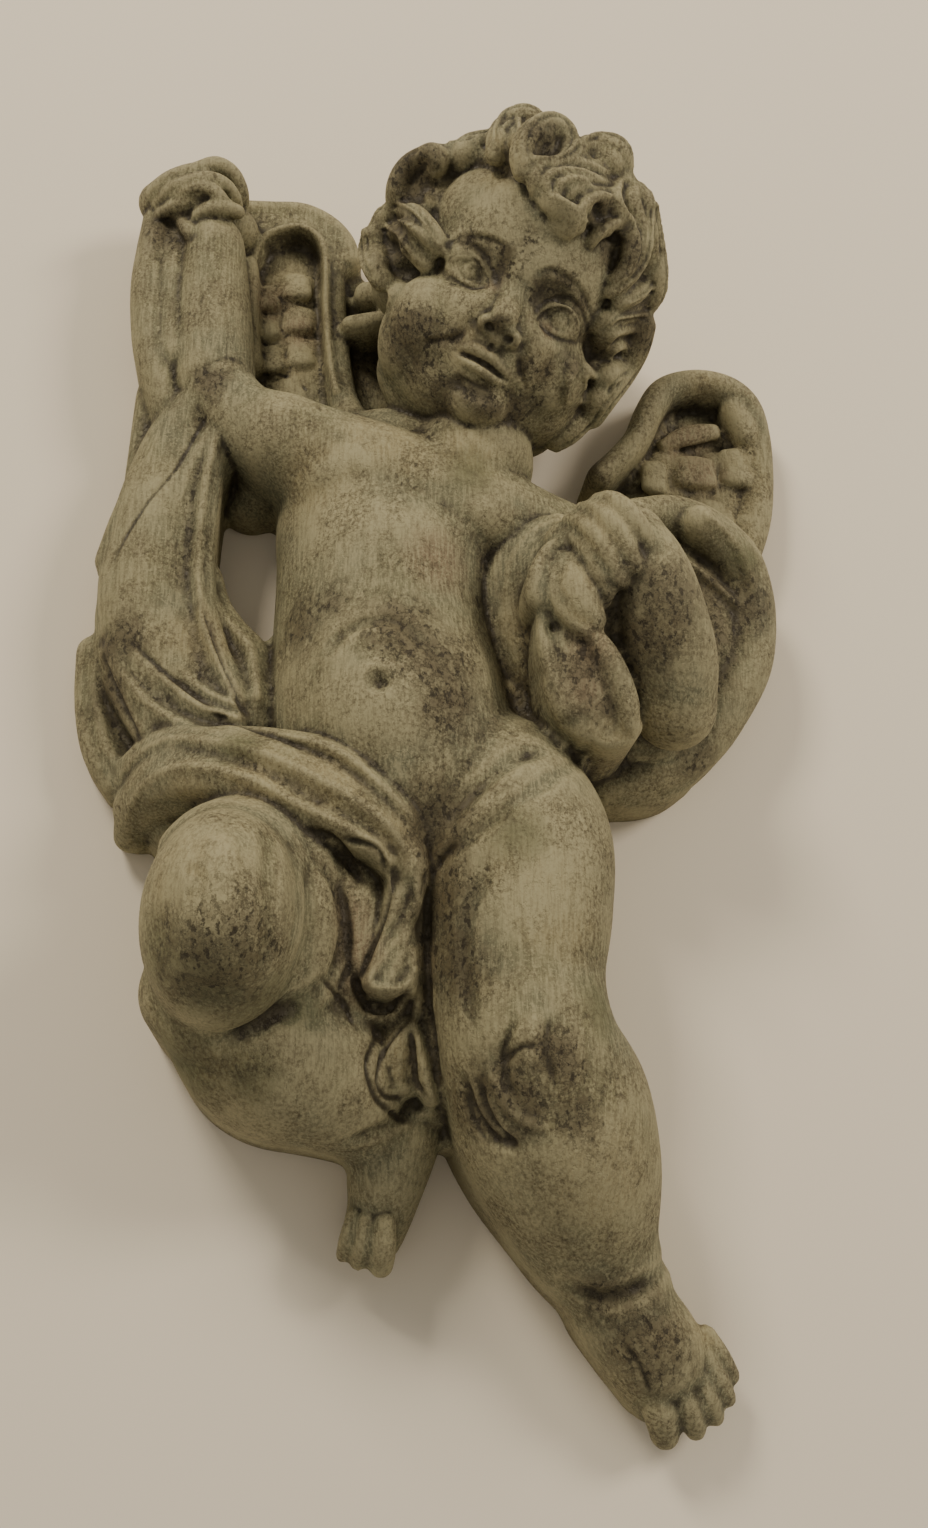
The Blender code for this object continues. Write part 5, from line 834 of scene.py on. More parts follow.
DRAPE_FOLDS = [
    [(-40, 25.5, 17, 3.4, 3), (-45.4, 16.7, 16, 3.4, 2.8), (-50.7, 7.5, 15, 3.4, 2.6),
     (-54.7, -2, 14, 3, 2.6), (-57.8, -10.7, 12, 2.6, 2.4)],
    [(-35.3, 25.3, 18, 3.6, 3.4), (-39.4, 15.8, 17, 4.6, 3.4), (-43.7, 5.6, 16, 5.4, 3.4),
     (-46.7, -6, 15.4, 6, 3.4), (-48.9, -18.3, 15, 6, 3.4), (-49.1, -29.2, 15.4, 5.4, 3.2)],
    [(-34.5, 25.4, 20, 1.8), (-37.7, 16.3, 19, 2.2), (-39.7, 6.3, 18, 2.4), (-40.3, -5.7, 17.2, 2.4),
     (-40, -16.7, 17.2, 2.4), (-38, -26.5, 17.8, 2.4), (-34.6, -35.4, 19, 2.2), (-31, -42.6, 21, 2)],
    [(-38.7, -12.6, 13, 2.2), (-36.7, -19.7, 13.4, 2.4), (-32.9, -25.6, 14, 2.6),
     (-29.6, -29.9, 15, 2.8), (-28.1, -36.6, 17, 2.8), (-27.4, -42.6, 19.6, 2.6)],
    [(-54.7, -25.5, 15, 1.5), (-49.3, -32.6, 16.4, 1.6), (-43.7, -39.4, 18.2, 1.7),
     (-37.8, -44.5, 20.4, 1.7), (-30.7, -47.4, 22.6, 1.5)],
    [(-56.2, -30.6, 14, 1.6), (-51.7, -38, 15.8, 1.7), (-46.3, -44.1, 18, 1.8),
     (-40.4, -48.2, 20.4, 1.7), (-34.8, -50.1, 22, 1.5)],
    [(-47.9, -29.6, 16.4, 1.2), (-42.7, -35.7, 17.8, 1.4), (-36.9, -41.2, 19.8, 1.4),
     (-31.2, -44.6, 22, 1.3)],
    [(-59.1, -27.5, 7, 3.4), (-58.1, -38.4, 7, 3.6), (-55.5, -48, 8, 3.8), (-51.7, -54.8, 9, 3.4)],
]

BILLOW_FOLDS = [
    [(29.1, -5.6, 28.5, 2.4), (23.9, -7.7, 26.5, 3), (20, -12.8, 25, 3.2), (18.6, -20.4, 23.5, 3.2),
     (19.1, -28.1, 22, 3.2), (22.3, -35.2, 19.5, 3.2), (27.7, -42.2, 17, 3.2), (33.5, -48.8, 13.5, 3)],
    [(27.5, -10.1, 30.5, 2), (24, -12.6, 29, 2.4), (22.2, -17.5, 27.5, 2.6), (21.8, -24.6, 26, 2.6),
     (22.8, -31.4, 24, 2.6), (26.1, -37.8, 21, 2.6), (31, -43.5, 18, 2.4), (36.2, -48.2, 15, 2.2)],
    [(25.1, -15.3, 31, 1.6), (23.9, -19.2, 30, 1.8), (23.6, -25.4, 29, 1.8), (24.7, -32.3, 27, 1.8),
     (27.2, -38.2, 24.5, 1.8)],
    [(46.9, -5.9, 31, 1.4), (49.6, -8.7, 30, 1.6), (51.7, -12.4, 29, 1.6), (53.2, -16.6, 27, 1.4)],
    [(58.9, 1.2, 22, 3, 4), (64.3, -1.3, 19, 3.4, 4), (68, -5, 17, 3.6, 4), (70.4, -10.3, 15, 3.6, 4)],
    [(56.8, -6.2, 18.4, 1), (60, -9, 18.4, 1.2), (63.4, -11.7, 17.8, 1.2), (67, -14.4, 16.6, 1)],
    [(60.5, -34.5, 14, 1.8), (58.9, -39.5, 15, 2), (55, -43.6, 16, 2.2), (49.4, -46.3, 17, 2.2),
     (43.7, -46.9, 17.5, 2)],
    [(61.9, -39.4, 13.5, 2), (57.8, -45.3, 13.5, 2.2), (52.7, -48.9, 13, 2.4),
     (47.3, -50.6, 13, 2.4), (43.3, -50.4, 13, 2.2)],
    [(57.4, -48, 10, 2.2), (52.2, -51.6, 9.5, 2.4), (46.7, -53.3, 9.5, 2.4), (41.5, -53.6, 9.5, 2.2)],
]

CLOTH_END = [
    [(28.1, -14, 36.5, 1.4), (25.1, -16.6, 37, 1.7), (23.2, -20.5, 37, 2), (22.4, -24.4, 36.5, 2),
     (23, -26.9, 36, 1.8), (24.8, -27.4, 35.5, 1.5)],
    [(26.8, -19.5, 33, 4, 4), (27.4, -25.7, 33, 5, 4)],
    [(28.5, -12.4, 32, 4, 5), (29.7, -17.2, 33, 5, 5)],
    [(29.6, -19.6, 38.5, 2.6, 2.2), (29.3, -24.3, 39.5, 3.4, 2.4), (30.5, -28.3, 39.5, 3.4, 2.4),
     (32.6, -31.2, 38.5, 2.4, 2.2)],
    [(27, -18.5, 38.5, 1), (25.6, -22, 38.6, 1.1), (25.2, -25.7, 38.6, 1.1), (26.2, -28.9, 38.6, 1.2),
     (28.3, -31.6, 38.6, 1.3), (30.7, -33.4, 38.6, 1.3)],
    [(28, -34, 34.4, 4, 2.4), (29.5, -39.2, 34.6, 6.4, 2.6), (31.8, -44.7, 34, 7, 2.6),
     (34.8, -48.6, 32.4, 6, 2.6)],
    [(23.7, -29.6, 34.9, 1.2), (23.9, -35.2, 35.3, 1.3), (25.6, -42.1, 35.3, 1.4),
     (28.2, -47, 34.4, 1.4), (31.7, -50.8, 32.8, 1.5), (35.4, -52.2, 31.8, 1.6),
     (38.9, -51.4, 31.8, 1.6), (40.8, -49.1, 32.6, 1.5)],
    [(32.3, -33, 37.2, 1.6), (34.7, -36.9, 37.2, 2.2), (37, -41.8, 36.2, 2.6), (38.6, -46, 34.8, 2.6),
     (39.2, -49.1, 33.4, 2.2)],
]


def left_drape(clay):
    """The cloth that hangs from the raised hand, down the outside of the arm and round to the lap."""
    clay.strand([(-54.5, 73, 12, 3.6, 5), (-54.5, 65.5, 12, 4.2, 5.6), (-54.5, 55.5, 12, 4.8, 5.6),
                 (-53.5, 45.5, 12, 5, 5.6), (-52.4, 38, 12, 4.8, 5.6), (-50, 29, 12, 4.4, 5.6),
                 (-47, 20, 10, 5, 6)])
    clay.strand([(-38, 29, 16, 6, 7), (-44, 17.5, 11, 9, 8), (-48, 1.5, 10, 10, 9), (-49, -14.5, 10, 11, 9),
                 (-46, -27.5, 11, 12, 8), (-40.5, -38.5, 11, 13, 8), (-30.5, -46, 13, 12, 8)])
    clay.strand([(-50, 68, 12, 4, 5), (-49.5, 60, 13, 4.4, 5), (-48.5, 48, 13, 5.4, 5.6),
                 (-47, 36, 13, 5.4, 6.4)])
    clay.strand([(-53.5, 31, 8, 3), (-54, 15, 8, 3), (-54.5, 1, 8, 3), (-56, -12.5, 9, 3),
                 (-56.5, -22.5, 9, 3.5), (-53.5, -35.5, 10, 3.5), (-46, -47.5, 14, 4)])
    clay.strand([(-56, -31, 4, 3), (-56, -39.5, 4, 3.5), (-54.5, -48, 4, 3.5), (-51.5, -55, 5, 3)])
    clay.strand([(-48, -40, 2, 8, 6), (-45, -56, 3, 7, 8), (-41, -66, 5, 5, 9)])


def drape_folds(clay):
    """The folds on that cloth."""
    for rows in DRAPE_FOLDS:
        clay.fold(rows)


def lap_band(clay):
    """The roll of cloth over the lap, which falls between the legs in a hooked fold."""
    core = [(-46.5, -60, 8, 6, 7.4), (-41, -57.5, 16.6, 7, 7.2), (-31.5, -56.5, 22.4, 7.5, 7.2),
            (-21, -60.5, 26.2, 7.5, 7.2), (-12, -64.5, 28.4, 7.4, 7), (-4, -70, 29, 6, 5.6),
            (0, -76, 28, 4, 6), (0.5, -81, 25, 3.4, 5), (-0.5, -85.5, 22, 3, 5),
            (-2, -90.5, 19, 3, 5)]
    upper = [(-34.5, -51, 22, 1.4), (-29, -51.5, 26, 1.6), (-23, -53.5, 30, 1.8), (-16.5, -55.5, 32.5, 1.8),
             (-10.5, -59, 34.5, 1.8), (-5.5, -63.5, 35, 1.8), (-1, -67.5, 34, 1.7), (1.5, -71, 32, 1.5)]
    broad = [(-52, -56, 8, 2.6), (-48, -53.5, 15, 3), (-42, -52.5, 21, 3.2), (-34, -55, 27, 3.4),
             (-25, -58.5, 31.5, 3.4), (-16.5, -63, 34, 3.4), (-9, -67.5, 35.2, 3.2), (-4, -71, 34.5, 2.8),
             (-1, -74.5, 33, 2.2)]
    lower = [(-50, -65.5, 6, 2.6), (-48.5, -62, 13, 3), (-44.5, -59.5, 20, 3.2), (-37.5, -59.5, 27, 3.2),
             (-27.5, -63, 32, 3), (-19, -68, 34.5, 2.6), (-11.5, -71.5, 35.5, 2.2), (-6, -74.5, 35, 1.8),
             (-3.5, -77, 33.5, 1.5)]
    clay.strand(core)
    for rows in (upper, broad, lower):
        clay.fold(rows)
    clay.strand([(-9.5, -74, 23, 1), (-6.5, -76.5, 24.5, 1.2), (-3.5, -76, 27, 1.2)])


def hooked_fold(clay):
    """Where the falling fold turns over: a flap, a hollow cup, and a leaf of cloth under it."""
    for rows in HOOKED_FOLD:
        clay.fold(rows)
    clay.strand([(-4, -92, 13, 6, 7), (-3, -99, 12, 7, 7), (1, -106, 11, 8, 8), (3, -114.5, 10, 6, 6)])
    clay.strand([(6, -84, 19, 3, 5), (6, -92, 18, 3, 5), (6.5, -98, 17, 3, 5), (7, -106, 16, 3, 5),
                 (8.5, -113, 14, 3, 5)])


def right_drape(clay):
    """The billow of cloth behind the folded arm: a shallow bowl with a rolled edge."""
    clay.ball((39, -22, 5), (25, 27, 12))
    clay.strand([(46, 2, 20, 4), (54, 4, 17, 5), (61.5, 2.5, 15, 5.5), (68, -2.5, 13, 6),
                 (70.5, -9.5, 12, 6), (71, -17, 11, 6), (69.5, -25.5, 10.5, 6), (65, -34, 10, 6),
                 (59.5, -41.5, 9.5, 6), (51.5, -47.5, 9, 6), (40, -51, 9, 6)])
    clay.strand([(56, -4, 9, 8, 8), (60, -12, 9.5, 8.5, 8), (61, -22, 9, 8.5, 8), (57.5, -32, 8, 8, 7),
                 (51, -40, 7, 7, 6)])
    clay.strand([(57.5, -47, 9, 2.8), (50.5, -51.5, 9, 3), (43, -54, 9, 2.8)])
    clay.strand([(27, -8, 22, 4, 6), (21, -15, 20, 4, 6), (19.5, -23.5, 18, 4, 6), (21.5, -31.5, 16, 4, 6),
                 (26.5, -39, 13, 4, 6), (34, -48, 9, 4, 6)])


def billow_folds(clay):
    """The folds in the billow and the bands of cloth beside the hand."""
    for rows in BILLOW_FOLDS:
        clay.fold(rows)


def cloth_end(clay):
    """The gathered end of the cloth under the hand: a lobe, a leaf and a long open petal."""
    clay.ball((31.5, -33, 24), (8.5, 16, 11))
    clay.strand([(34, -44, 17, 5, 7), (40, -41, 18, 6, 7), (46, -41, 17, 5, 7)])
    for place in [(27.6, -15.9, 36.6), (25.8, -29.8, 33.4), (31.8, -36.1, 35.4), (36.7, -50.5, 32)]:
        clay.ball(place, (2, 2, 2))
    for rows in CLOTH_END:
        clay.strand(rows)


print("the cloth is described")

# %% [markdown]
# ## Hands and toes
#
# Fingers are strands over a flattened palm, and the rows of a finger bend where its joints are.
# Toes are short strands at the end of each foot. They aren't drawn back to the wall as the limbs
# are, because the ends of fingers and toes stand free.

# %% Hands and feet
RIGHT_FINGERS = [
    [(33.4, -7.7, 41, 1.5), (35.4, -9.1, 43.5, 1.9), (37.6, -12.1, 45, 2.1), (40.3, -15.3, 44, 2.2),
     (42.5, -18.5, 42, 2)],
    [(30.9, -8.3, 38.5, 1.5), (32.9, -10.5, 42, 1.9), (34.8, -14.3, 44.5, 2), (37.2, -18, 44, 2.1),
     (39.2, -21.9, 42.5, 2)],
    [(28.8, -9.6, 36.5, 1.4), (30.5, -12.5, 40.5, 1.8), (32.5, -16.5, 43, 2), (34.6, -20.5, 43, 2),
     (36.6, -24.4, 41.5, 1.9)],
    [(27.4, -11.1, 34.5, 1.2), (29, -13.8, 37.8, 1.6), (31.1, -18.2, 40.6, 1.8),
     (33, -22.7, 41.2, 1.8), (34.8, -26.4, 40, 1.6)],
    [(28, -13.5, 33.5, 1), (30.1, -15.9, 36, 1.3), (31.8, -20.2, 38.8, 1.5), (33.2, -24.2, 39.4, 1.5),
     (34.6, -27.5, 38.5, 1.3)],
]

LEFT_FINGERS = [
    [(-54.7, 76.5, 13, 4.5, 5), (-50.4, 77.9, 15, 5, 6), (-45.1, 78.9, 16, 5.5, 6),
     (-40.8, 79, 15, 4.5, 5)],
    [(-53.3, 72.9, 11, 4, 5), (-51.6, 66.8, 10.5, 4, 5)],
    [(-48.1, 71.1, 16.5, 4, 4.4), (-46.5, 69.9, 15, 3.4, 4)],
    [(-56.5, 74.1, 15, 1.6), (-54.7, 75.9, 18, 2), (-51.1, 77.2, 20, 2.2), (-46.3, 78.3, 21.5, 2.3),
     (-42.4, 79.9, 22, 2.3), (-39.2, 79.1, 21, 2.1), (-37.4, 77.1, 19, 1.9), (-36.8, 76.4, 16, 1.6)],
    [(-54.6, 72.8, 17, 1.3), (-51.5, 74, 20.5, 1.6), (-47.6, 74.5, 22.5, 1.7),
     (-43.9, 75.1, 23.5, 1.7), (-40.5, 74.6, 23, 1.6), (-38.4, 73.5, 21, 1.5), (-37.6, 73.3, 18, 1.3)],
    [(-52.3, 72.2, 18, 1.1), (-49.2, 72.5, 21.5, 1.4), (-45.4, 72.5, 23.5, 1.5),
     (-42.4, 71.6, 24, 1.5), (-40.3, 70.1, 23, 1.4), (-39.5, 70.5, 20, 1.2)],
    [(-53.9, 70, 17.5, 1.2), (-50.4, 70.3, 20, 1.5), (-47.1, 70.9, 21, 1.5), (-44.1, 70.9, 21, 1.4)],
    [(-45.6, 67.7, 20.5, 1.4), (-43.1, 68.3, 22, 1.8), (-40.2, 68.7, 22.5, 1.9), (-37.3, 69.3, 21, 1.6)],
    [(-49.3, 68, 18, 1.3), (-47.1, 64.2, 19.5, 1.8), (-45.1, 62, 19, 1.6)],
]

TOES = [
    [(43.6, -158, 9.8, 3.3), (45.4, -163, 9.6, 3.1), (46.9, -167.2, 6.8, 2.6)],
    [(47.9, -158, 10.4, 2.5), (50.4, -163, 9.8, 2.3), (52.3, -166.6, 6.6, 1.9)],
    [(50.8, -156.5, 10.3, 2.3), (53.6, -161.2, 9.6, 2.1), (55.9, -164.6, 6.6, 1.7)],
    [(52.8, -154.5, 9.9, 2.2), (55.8, -158.6, 9.1, 2), (58.3, -161.8, 6.4, 1.6)],
    [(54.2, -152, 9, 2.1), (57, -155.4, 8.2, 1.9), (59.4, -158.3, 5.8, 1.6)],
]

SMALL_TOES = [
    [(-1.4, -134, 13.2, 2), (-1.6, -137.6, 12.6, 2.3), (-1.7, -140.6, 9.6, 2.2)],
    [(-4.6, -133.6, 12.9, 1.4), (-5.2, -137.3, 12, 1.6), (-5.6, -140.1, 9, 1.5)],
    [(-6.9, -132.8, 11.8, 1.2), (-7.7, -136.3, 11, 1.4), (-8.2, -139, 8, 1.3)],
]


def right_hand(clay):
    """The hand of the folded arm, its fingers closed over the end of the cloth."""
    clay.strand([(50.5, -42, 25, 8), (49, -34.5, 29.2, 8.9), (46.5, -28, 32.8, 8.9), (44.3, -22, 35.4, 8.4),
                 (42.6, -16.5, 35.8, 7.5), (41.4, -12.5, 35.4, 6.4)], sides=32)
    clay.strand([(38, -14, 36, 5.6), (35, -19, 35, 5.6)])
    for rows in RIGHT_FINGERS:
        clay.strand(rows)


def left_hand(clay):
    """The raised hand, gripping the cloth, knuckles up."""
    clay.strand([(-47, 73, 11, 5, 6), (-42.5, 72.5, 11.5, 5, 6), (-38, 72, 11, 5, 6)])
    for rows in LEFT_FINGERS:
        clay.strand(rows)


def toes(clay):
    """The toes of both feet."""
    for rows in TOES + SMALL_TOES:
        clay.strand(rows)


print("hands and toes are described")

# %% [markdown]
# ## Creases of the body
#
# These strokes go over the melted skin. A plump child has a deep navel, a fold above the belly
# and round each ankle, and soft ridges where the skin is pushed up. A dent or swelling has a
# centre, three radii and a depth; a crease has a path (right, up), a half width and a depth. A
# depth below zero raises the skin.

# %% Lines of the body
DIMPLES = [
    ((-6, -45, 37), (3, 3, 6), 1.6), ((-6.3, -42.5, 37), (5, 3.5, 6), -0.5),
    ((-13, 3, 30), (9, 8, 10), -0.8), ((14, -6, 30), (9, 8, 10), -0.8),
    ((-6, -48, 36), (17, 13, 12), -1.2), ((15.5, -110, 39), (3.4, 5, 8), 0.7),
    ((19.5, -107, 39), (4.4, 7, 8), -0.8), ((26, -110, 37), (4, 8, 8), -0.6),
    ((29, -125, 32), (12, 13, 14), -0.8), ((42, -150, 16), (8, 8, 8), -0.6),
]

BODY_CREASES = [
    ([(-15, -37.5), (-12, -34), (-6, -32), (-1.5, -33.5), (3, -38)], 2.2, 0.7),
    ([(1.5, -72), (10.5, -64), (20, -56), (30, -49)], 3, 1.4),
    ([(4.5, -77), (12.5, -70.5), (21.5, -63.5), (31, -55)], 2.4, 0.6),
    ([(-29.5, -107.5), (-23.5, -104.5), (-17.5, -101), (-12.5, -96)], 3, 1.2),
    ([(9.5, -112), (11.5, -117.5), (14.5, -121.5), (18.5, -123)], 1.8, 1.2),
    ([(13.5, -111.5), (15.5, -116), (18.5, -119), (22.5, -120.5)], 1.6, -0.7),
    ([(17, -104), (15.5, -108.5), (16, -113), (18, -116)], 1.3, 0.6),
    ([(22.5, -103.5), (22, -108.5), (23.5, -114)], 1.2, 0.5),
    ([(-15.5, -77), (-11.5, -83), (-10.5, -90), (-12.5, -97)], 2.2, 0.8),
    ([(13, -78), (10, -86), (9.5, -95), (11, -104)], 2.6, 0.5),
    ([(29, -144), (34.5, -146), (40, -144.5), (47, -139)], 2.6, 1.4),
    ([(-8, -121.5), (-4, -120), (0, -117.5), (3, -115)], 2.2, 0.9),
]


def press_all(skin, dents, frame=None):
    """Press each dent in turn, and read the skin again."""
    for centre, radii, depth in dents:
        skin.press(centre, radii, depth, frame)
    skin.look()


def stroke_all(skin, lines, frame=None):
    """Draw each line in turn. A line without a depth isn't cut, only painted later."""
    for rows, half_width, depth in lines:
        if depth:
            skin.stroke(rows, half_width, depth, frame)


def body_lines(skin):
    """Creases of a plump child's skin: belly, groin, knees and ankles, and the navel."""
    press_all(skin, DIMPLES)
    stroke_all(skin, BODY_CREASES)


print(len(DIMPLES), "dimples and", len(BODY_CREASES), "creases on the body")

# %% [markdown]
# ## Lines of the face
#
# Nostrils are dents, the folds beside the mouth are broad shallow grooves, and the iris is a
# ring with a small dent in it, as a carver cuts an eye that has no colour of its own.

# %% Lines of the face
IRIS = 1.75


def face_lines(skin):
    """Nostrils, the carved irises, the line of the mouth and the folds beside it."""
    for side, right, up in [(-1, -2, -13.2), (1, 2.4, -13.7)]:
        skin.press((right, up, 22), (1.3, 1.3, 3), 1.2, HEAD)
        skin.stroke([(5.0 * side, -11.5), (6.4 * side, -15), (7.2 * side, -18.5)], 2.4, 0.45, HEAD)
    for right, up in EYES:
        turns = np.radians(np.arange(-20, 341, 30))
        ring = [(right + IRIS * math.cos(turn), up + IRIS * math.sin(turn)) for turn in turns]
        skin.stroke(ring, 0.6, 0.22, HEAD)
        skin.press((right + 0.3, up + 0.3, 17), (1.1, 1.1, 2), 0.3, HEAD)
    skin.stroke([(-6, -18.8), (-3.2, -19), (-0.4, -19.3), (1.8, -19.6), (4, -19.8), (6.2, -19.8)],
                0.8, 0.6, HEAD)
    skin.stroke([(-4, -24), (0.5, -24.8), (4.5, -24.3)], 2.0, 0.6, HEAD)
    skin.stroke([(-0.1, -15.2), (0, -16.6)], 0.9, 0.4, HEAD)


print("an iris is", 2 * IRIS, "mm across")

# %% [markdown]
# ## The planes of the knee
#
# The bent knee comes nearest to the eye, and a plain ball would look like one. On the real
# casting it is flattened on its flank and below, with a soft ridge down the thigh and a long
# shallow trough beside it.

# %% Knee
KNEE_FLATS = [((-39, -92, 46), (6, 10, 9), 0.8), ((-31, -103, 44), (9, 4, 9), 0.7)]
KNEE_LINES = [
    ([(-24, -76), (-23, -87), (-23.5, -99)], 3.2, 0.7),
    ([(-18.5, -76), (-18, -86), (-19, -95)], 2.6, -0.5),
    ([(-31, -78), (-30, -88), (-29, -101)], 3.4, -0.5),
    ([(-35.5, -84), (-33, -86.5), (-35, -90)], 1.6, 0.3),
]


def knee_planes(skin):
    """The bent knee isn't a ball: it has a flat flank, a soft ridge and a long shallow trough."""
    press_all(skin, KNEE_FLATS)
    stroke_all(skin, KNEE_LINES)


print("the knee gets", len(KNEE_FLATS), "flats and", len(KNEE_LINES), "lines")

# %% [markdown]
# ## Combed hair
#
# Each thick lock carries two fine grooves along it, one on either side of its crest, as a
# toothed tool leaves them in clay. They follow the rows that made the lock, so nothing new has
# to be placed. The curls at the temple and the brow are hollow, so dents open their middles.

# %% Combed hair
CURL_HOLLOWS = [
    ((-27.2, 11.5, 7), (4, 6.5, 8), 2.4), ((-25.4, -1.2, 8), (3.4, 4.5, 7), 1.2),
    ((8.3, 16.4, 20), (3, 1.8, 4), 1.0), ((13.1, 15.4, 15), (2.6, 1.6, 4), 1.0),
]
THICK_LOCK = 1.5


def combed(rows, beside):
    """A path on the skin of a lock, beside its crest.

    It is the lock's path, moved out from the skull by 0.45 of its radius and sideways by
    `beside` times its radius. Sideways is square to the path and to the way out.
    """
    place = np.array(HEAD.place(rows))
    radius = place[:, 3:4]
    outward = place[:, :3] - HEAD.origin
    outward /= np.linalg.norm(outward, axis=1, keepdims=True)
    side = np.cross(np.gradient(place[:, :3], axis=0), outward)
    side /= np.linalg.norm(side, axis=1, keepdims=True)
    return place[:, :3] + outward * radius * 0.45 + side * radius * beside


def comb(skin):
    """Hollow curls, and two grooves along each lock that is thick enough to carry them."""
    press_all(skin, CURL_HOLLOWS, HEAD)
    for rows in SIDE_LOCKS + TOP_LOCKS + FORELOCKS:
        if len(rows) > 2 and max(row[3] for row in rows) > THICK_LOCK:
            for beside in (-0.5, 0.5):
                skin.stroke(combed(rows, beside), 0.8, 0.45, laid=True)


groove = combed(SIDE_LOCKS[0], 0.5)
print("the first groove starts at", groove[0].round(1))

# %% [markdown]
# ## Sharp creases
#
# Last of all the modeller draws a knife point along the deepest folds of the cloth, round the
# lids and between the lips. These lines are narrow, under a millimetre or so, and the painter's
# dark glaze runs into the same lines later. The lines of the face with no depth are only
# painted, and what they paint is shade: under the nose, along the upper lip, under the lower lip
# and on the right cheek.

# %% Sharp creases
CREASES = [
    ([(-37.7, 21.7), (-41.9, 16.6), (-46.1, 6.3), (-50.4, -0.6), (-53.7, -7.1), (-56.2, -13.1)], 0.6, 0.3),
    ([(-39.3, -22.3), (-35.9, -30.8), (-31.5, -41.7), (-29.5, -45.8)], 1.1, 0.7),
    ([(-51.8, -30.4), (-45.7, -36.4), (-39.8, -41.2), (-33.9, -47), (-26.4, -52.4),
      (-19.3, -56.1)], 0.9, 0.5),
    ([(-57.4, -28.6), (-55, -36.9), (-51.9, -43.4), (-48.6, -49.8)], 1.1, 0.7),
    ([(-16.6, -72), (-12.5, -73.9), (-9.5, -77.1), (-7.8, -79.8)], 1.4, 1),
    ([(-11.1, -73.7), (-7.8, -74.4), (-5.2, -75.5), (-4, -78)], 0.9, 0.6),
    ([(-3, -77.5), (-2.6, -80.5), (-3.4, -83.8), (-4.4, -87.5), (-5.8, -91.1), (-7.2, -95)], 0.9, 0.6),
    ([(-9, -94), (-7.8, -97.3), (-6.1, -99.6), (-3.8, -100.7), (-1.3, -99.5), (0.2, -98.1)], 1.3, 1),
    ([(-13.8, -96.5), (-10.2, -99.5), (-7.9, -103.6)], 0.8, 0.4),
    ([(1.8, -101.1), (-0.7, -103.7), (-2.7, -106.5), (-3.7, -109.4), (-4, -112.3), (-2.7, -114.4),
      (-0, -114.3)], 0.8, 0.5),
    ([(1.8, -104.5), (2.2, -108.4), (2.7, -111.6), (4, -113.5)], 0.8, 0.6),
    ([(-4.3, -104), (-5.8, -108.6), (-5.4, -112.2), (-3.9, -115.1), (-1.2, -116.9), (1.7, -118)], 1, 0.6),
    ([(-11.5, -80.1), (-9.9, -87), (-9.5, -93.5), (-10.8, -97.4)], 1.2, 0.6),
    ([(-30.8, 38.2), (-25.9, 38.1), (-21.6, 34.7), (-18.3, 17.2)], 0.6, 0.4),
    ([(2.7, -79.1), (5.6, -75.4), (7.8, -73.1)], 1, 0.7),
    ([(3.7, -80.1), (3.9, -86.8), (4, -93.7), (4.6, -99.2), (5.7, -105), (6.6, -111.5)], 1, 0.6),
    ([(12, -112.9), (12.9, -116.6), (15, -120.2), (17.9, -122.3)], 1.2, 0.9),
    ([(10.6, -114.7), (11.7, -118.6), (13.9, -122.2)], 0.8, 0.5),
    ([(15.7, -110), (17.7, -108.5), (20.8, -108.1)], 0.9, 0.5),
    ([(42.8, -160), (40.8, -156.1), (38.3, -153)], 0.6, 0.4),
]

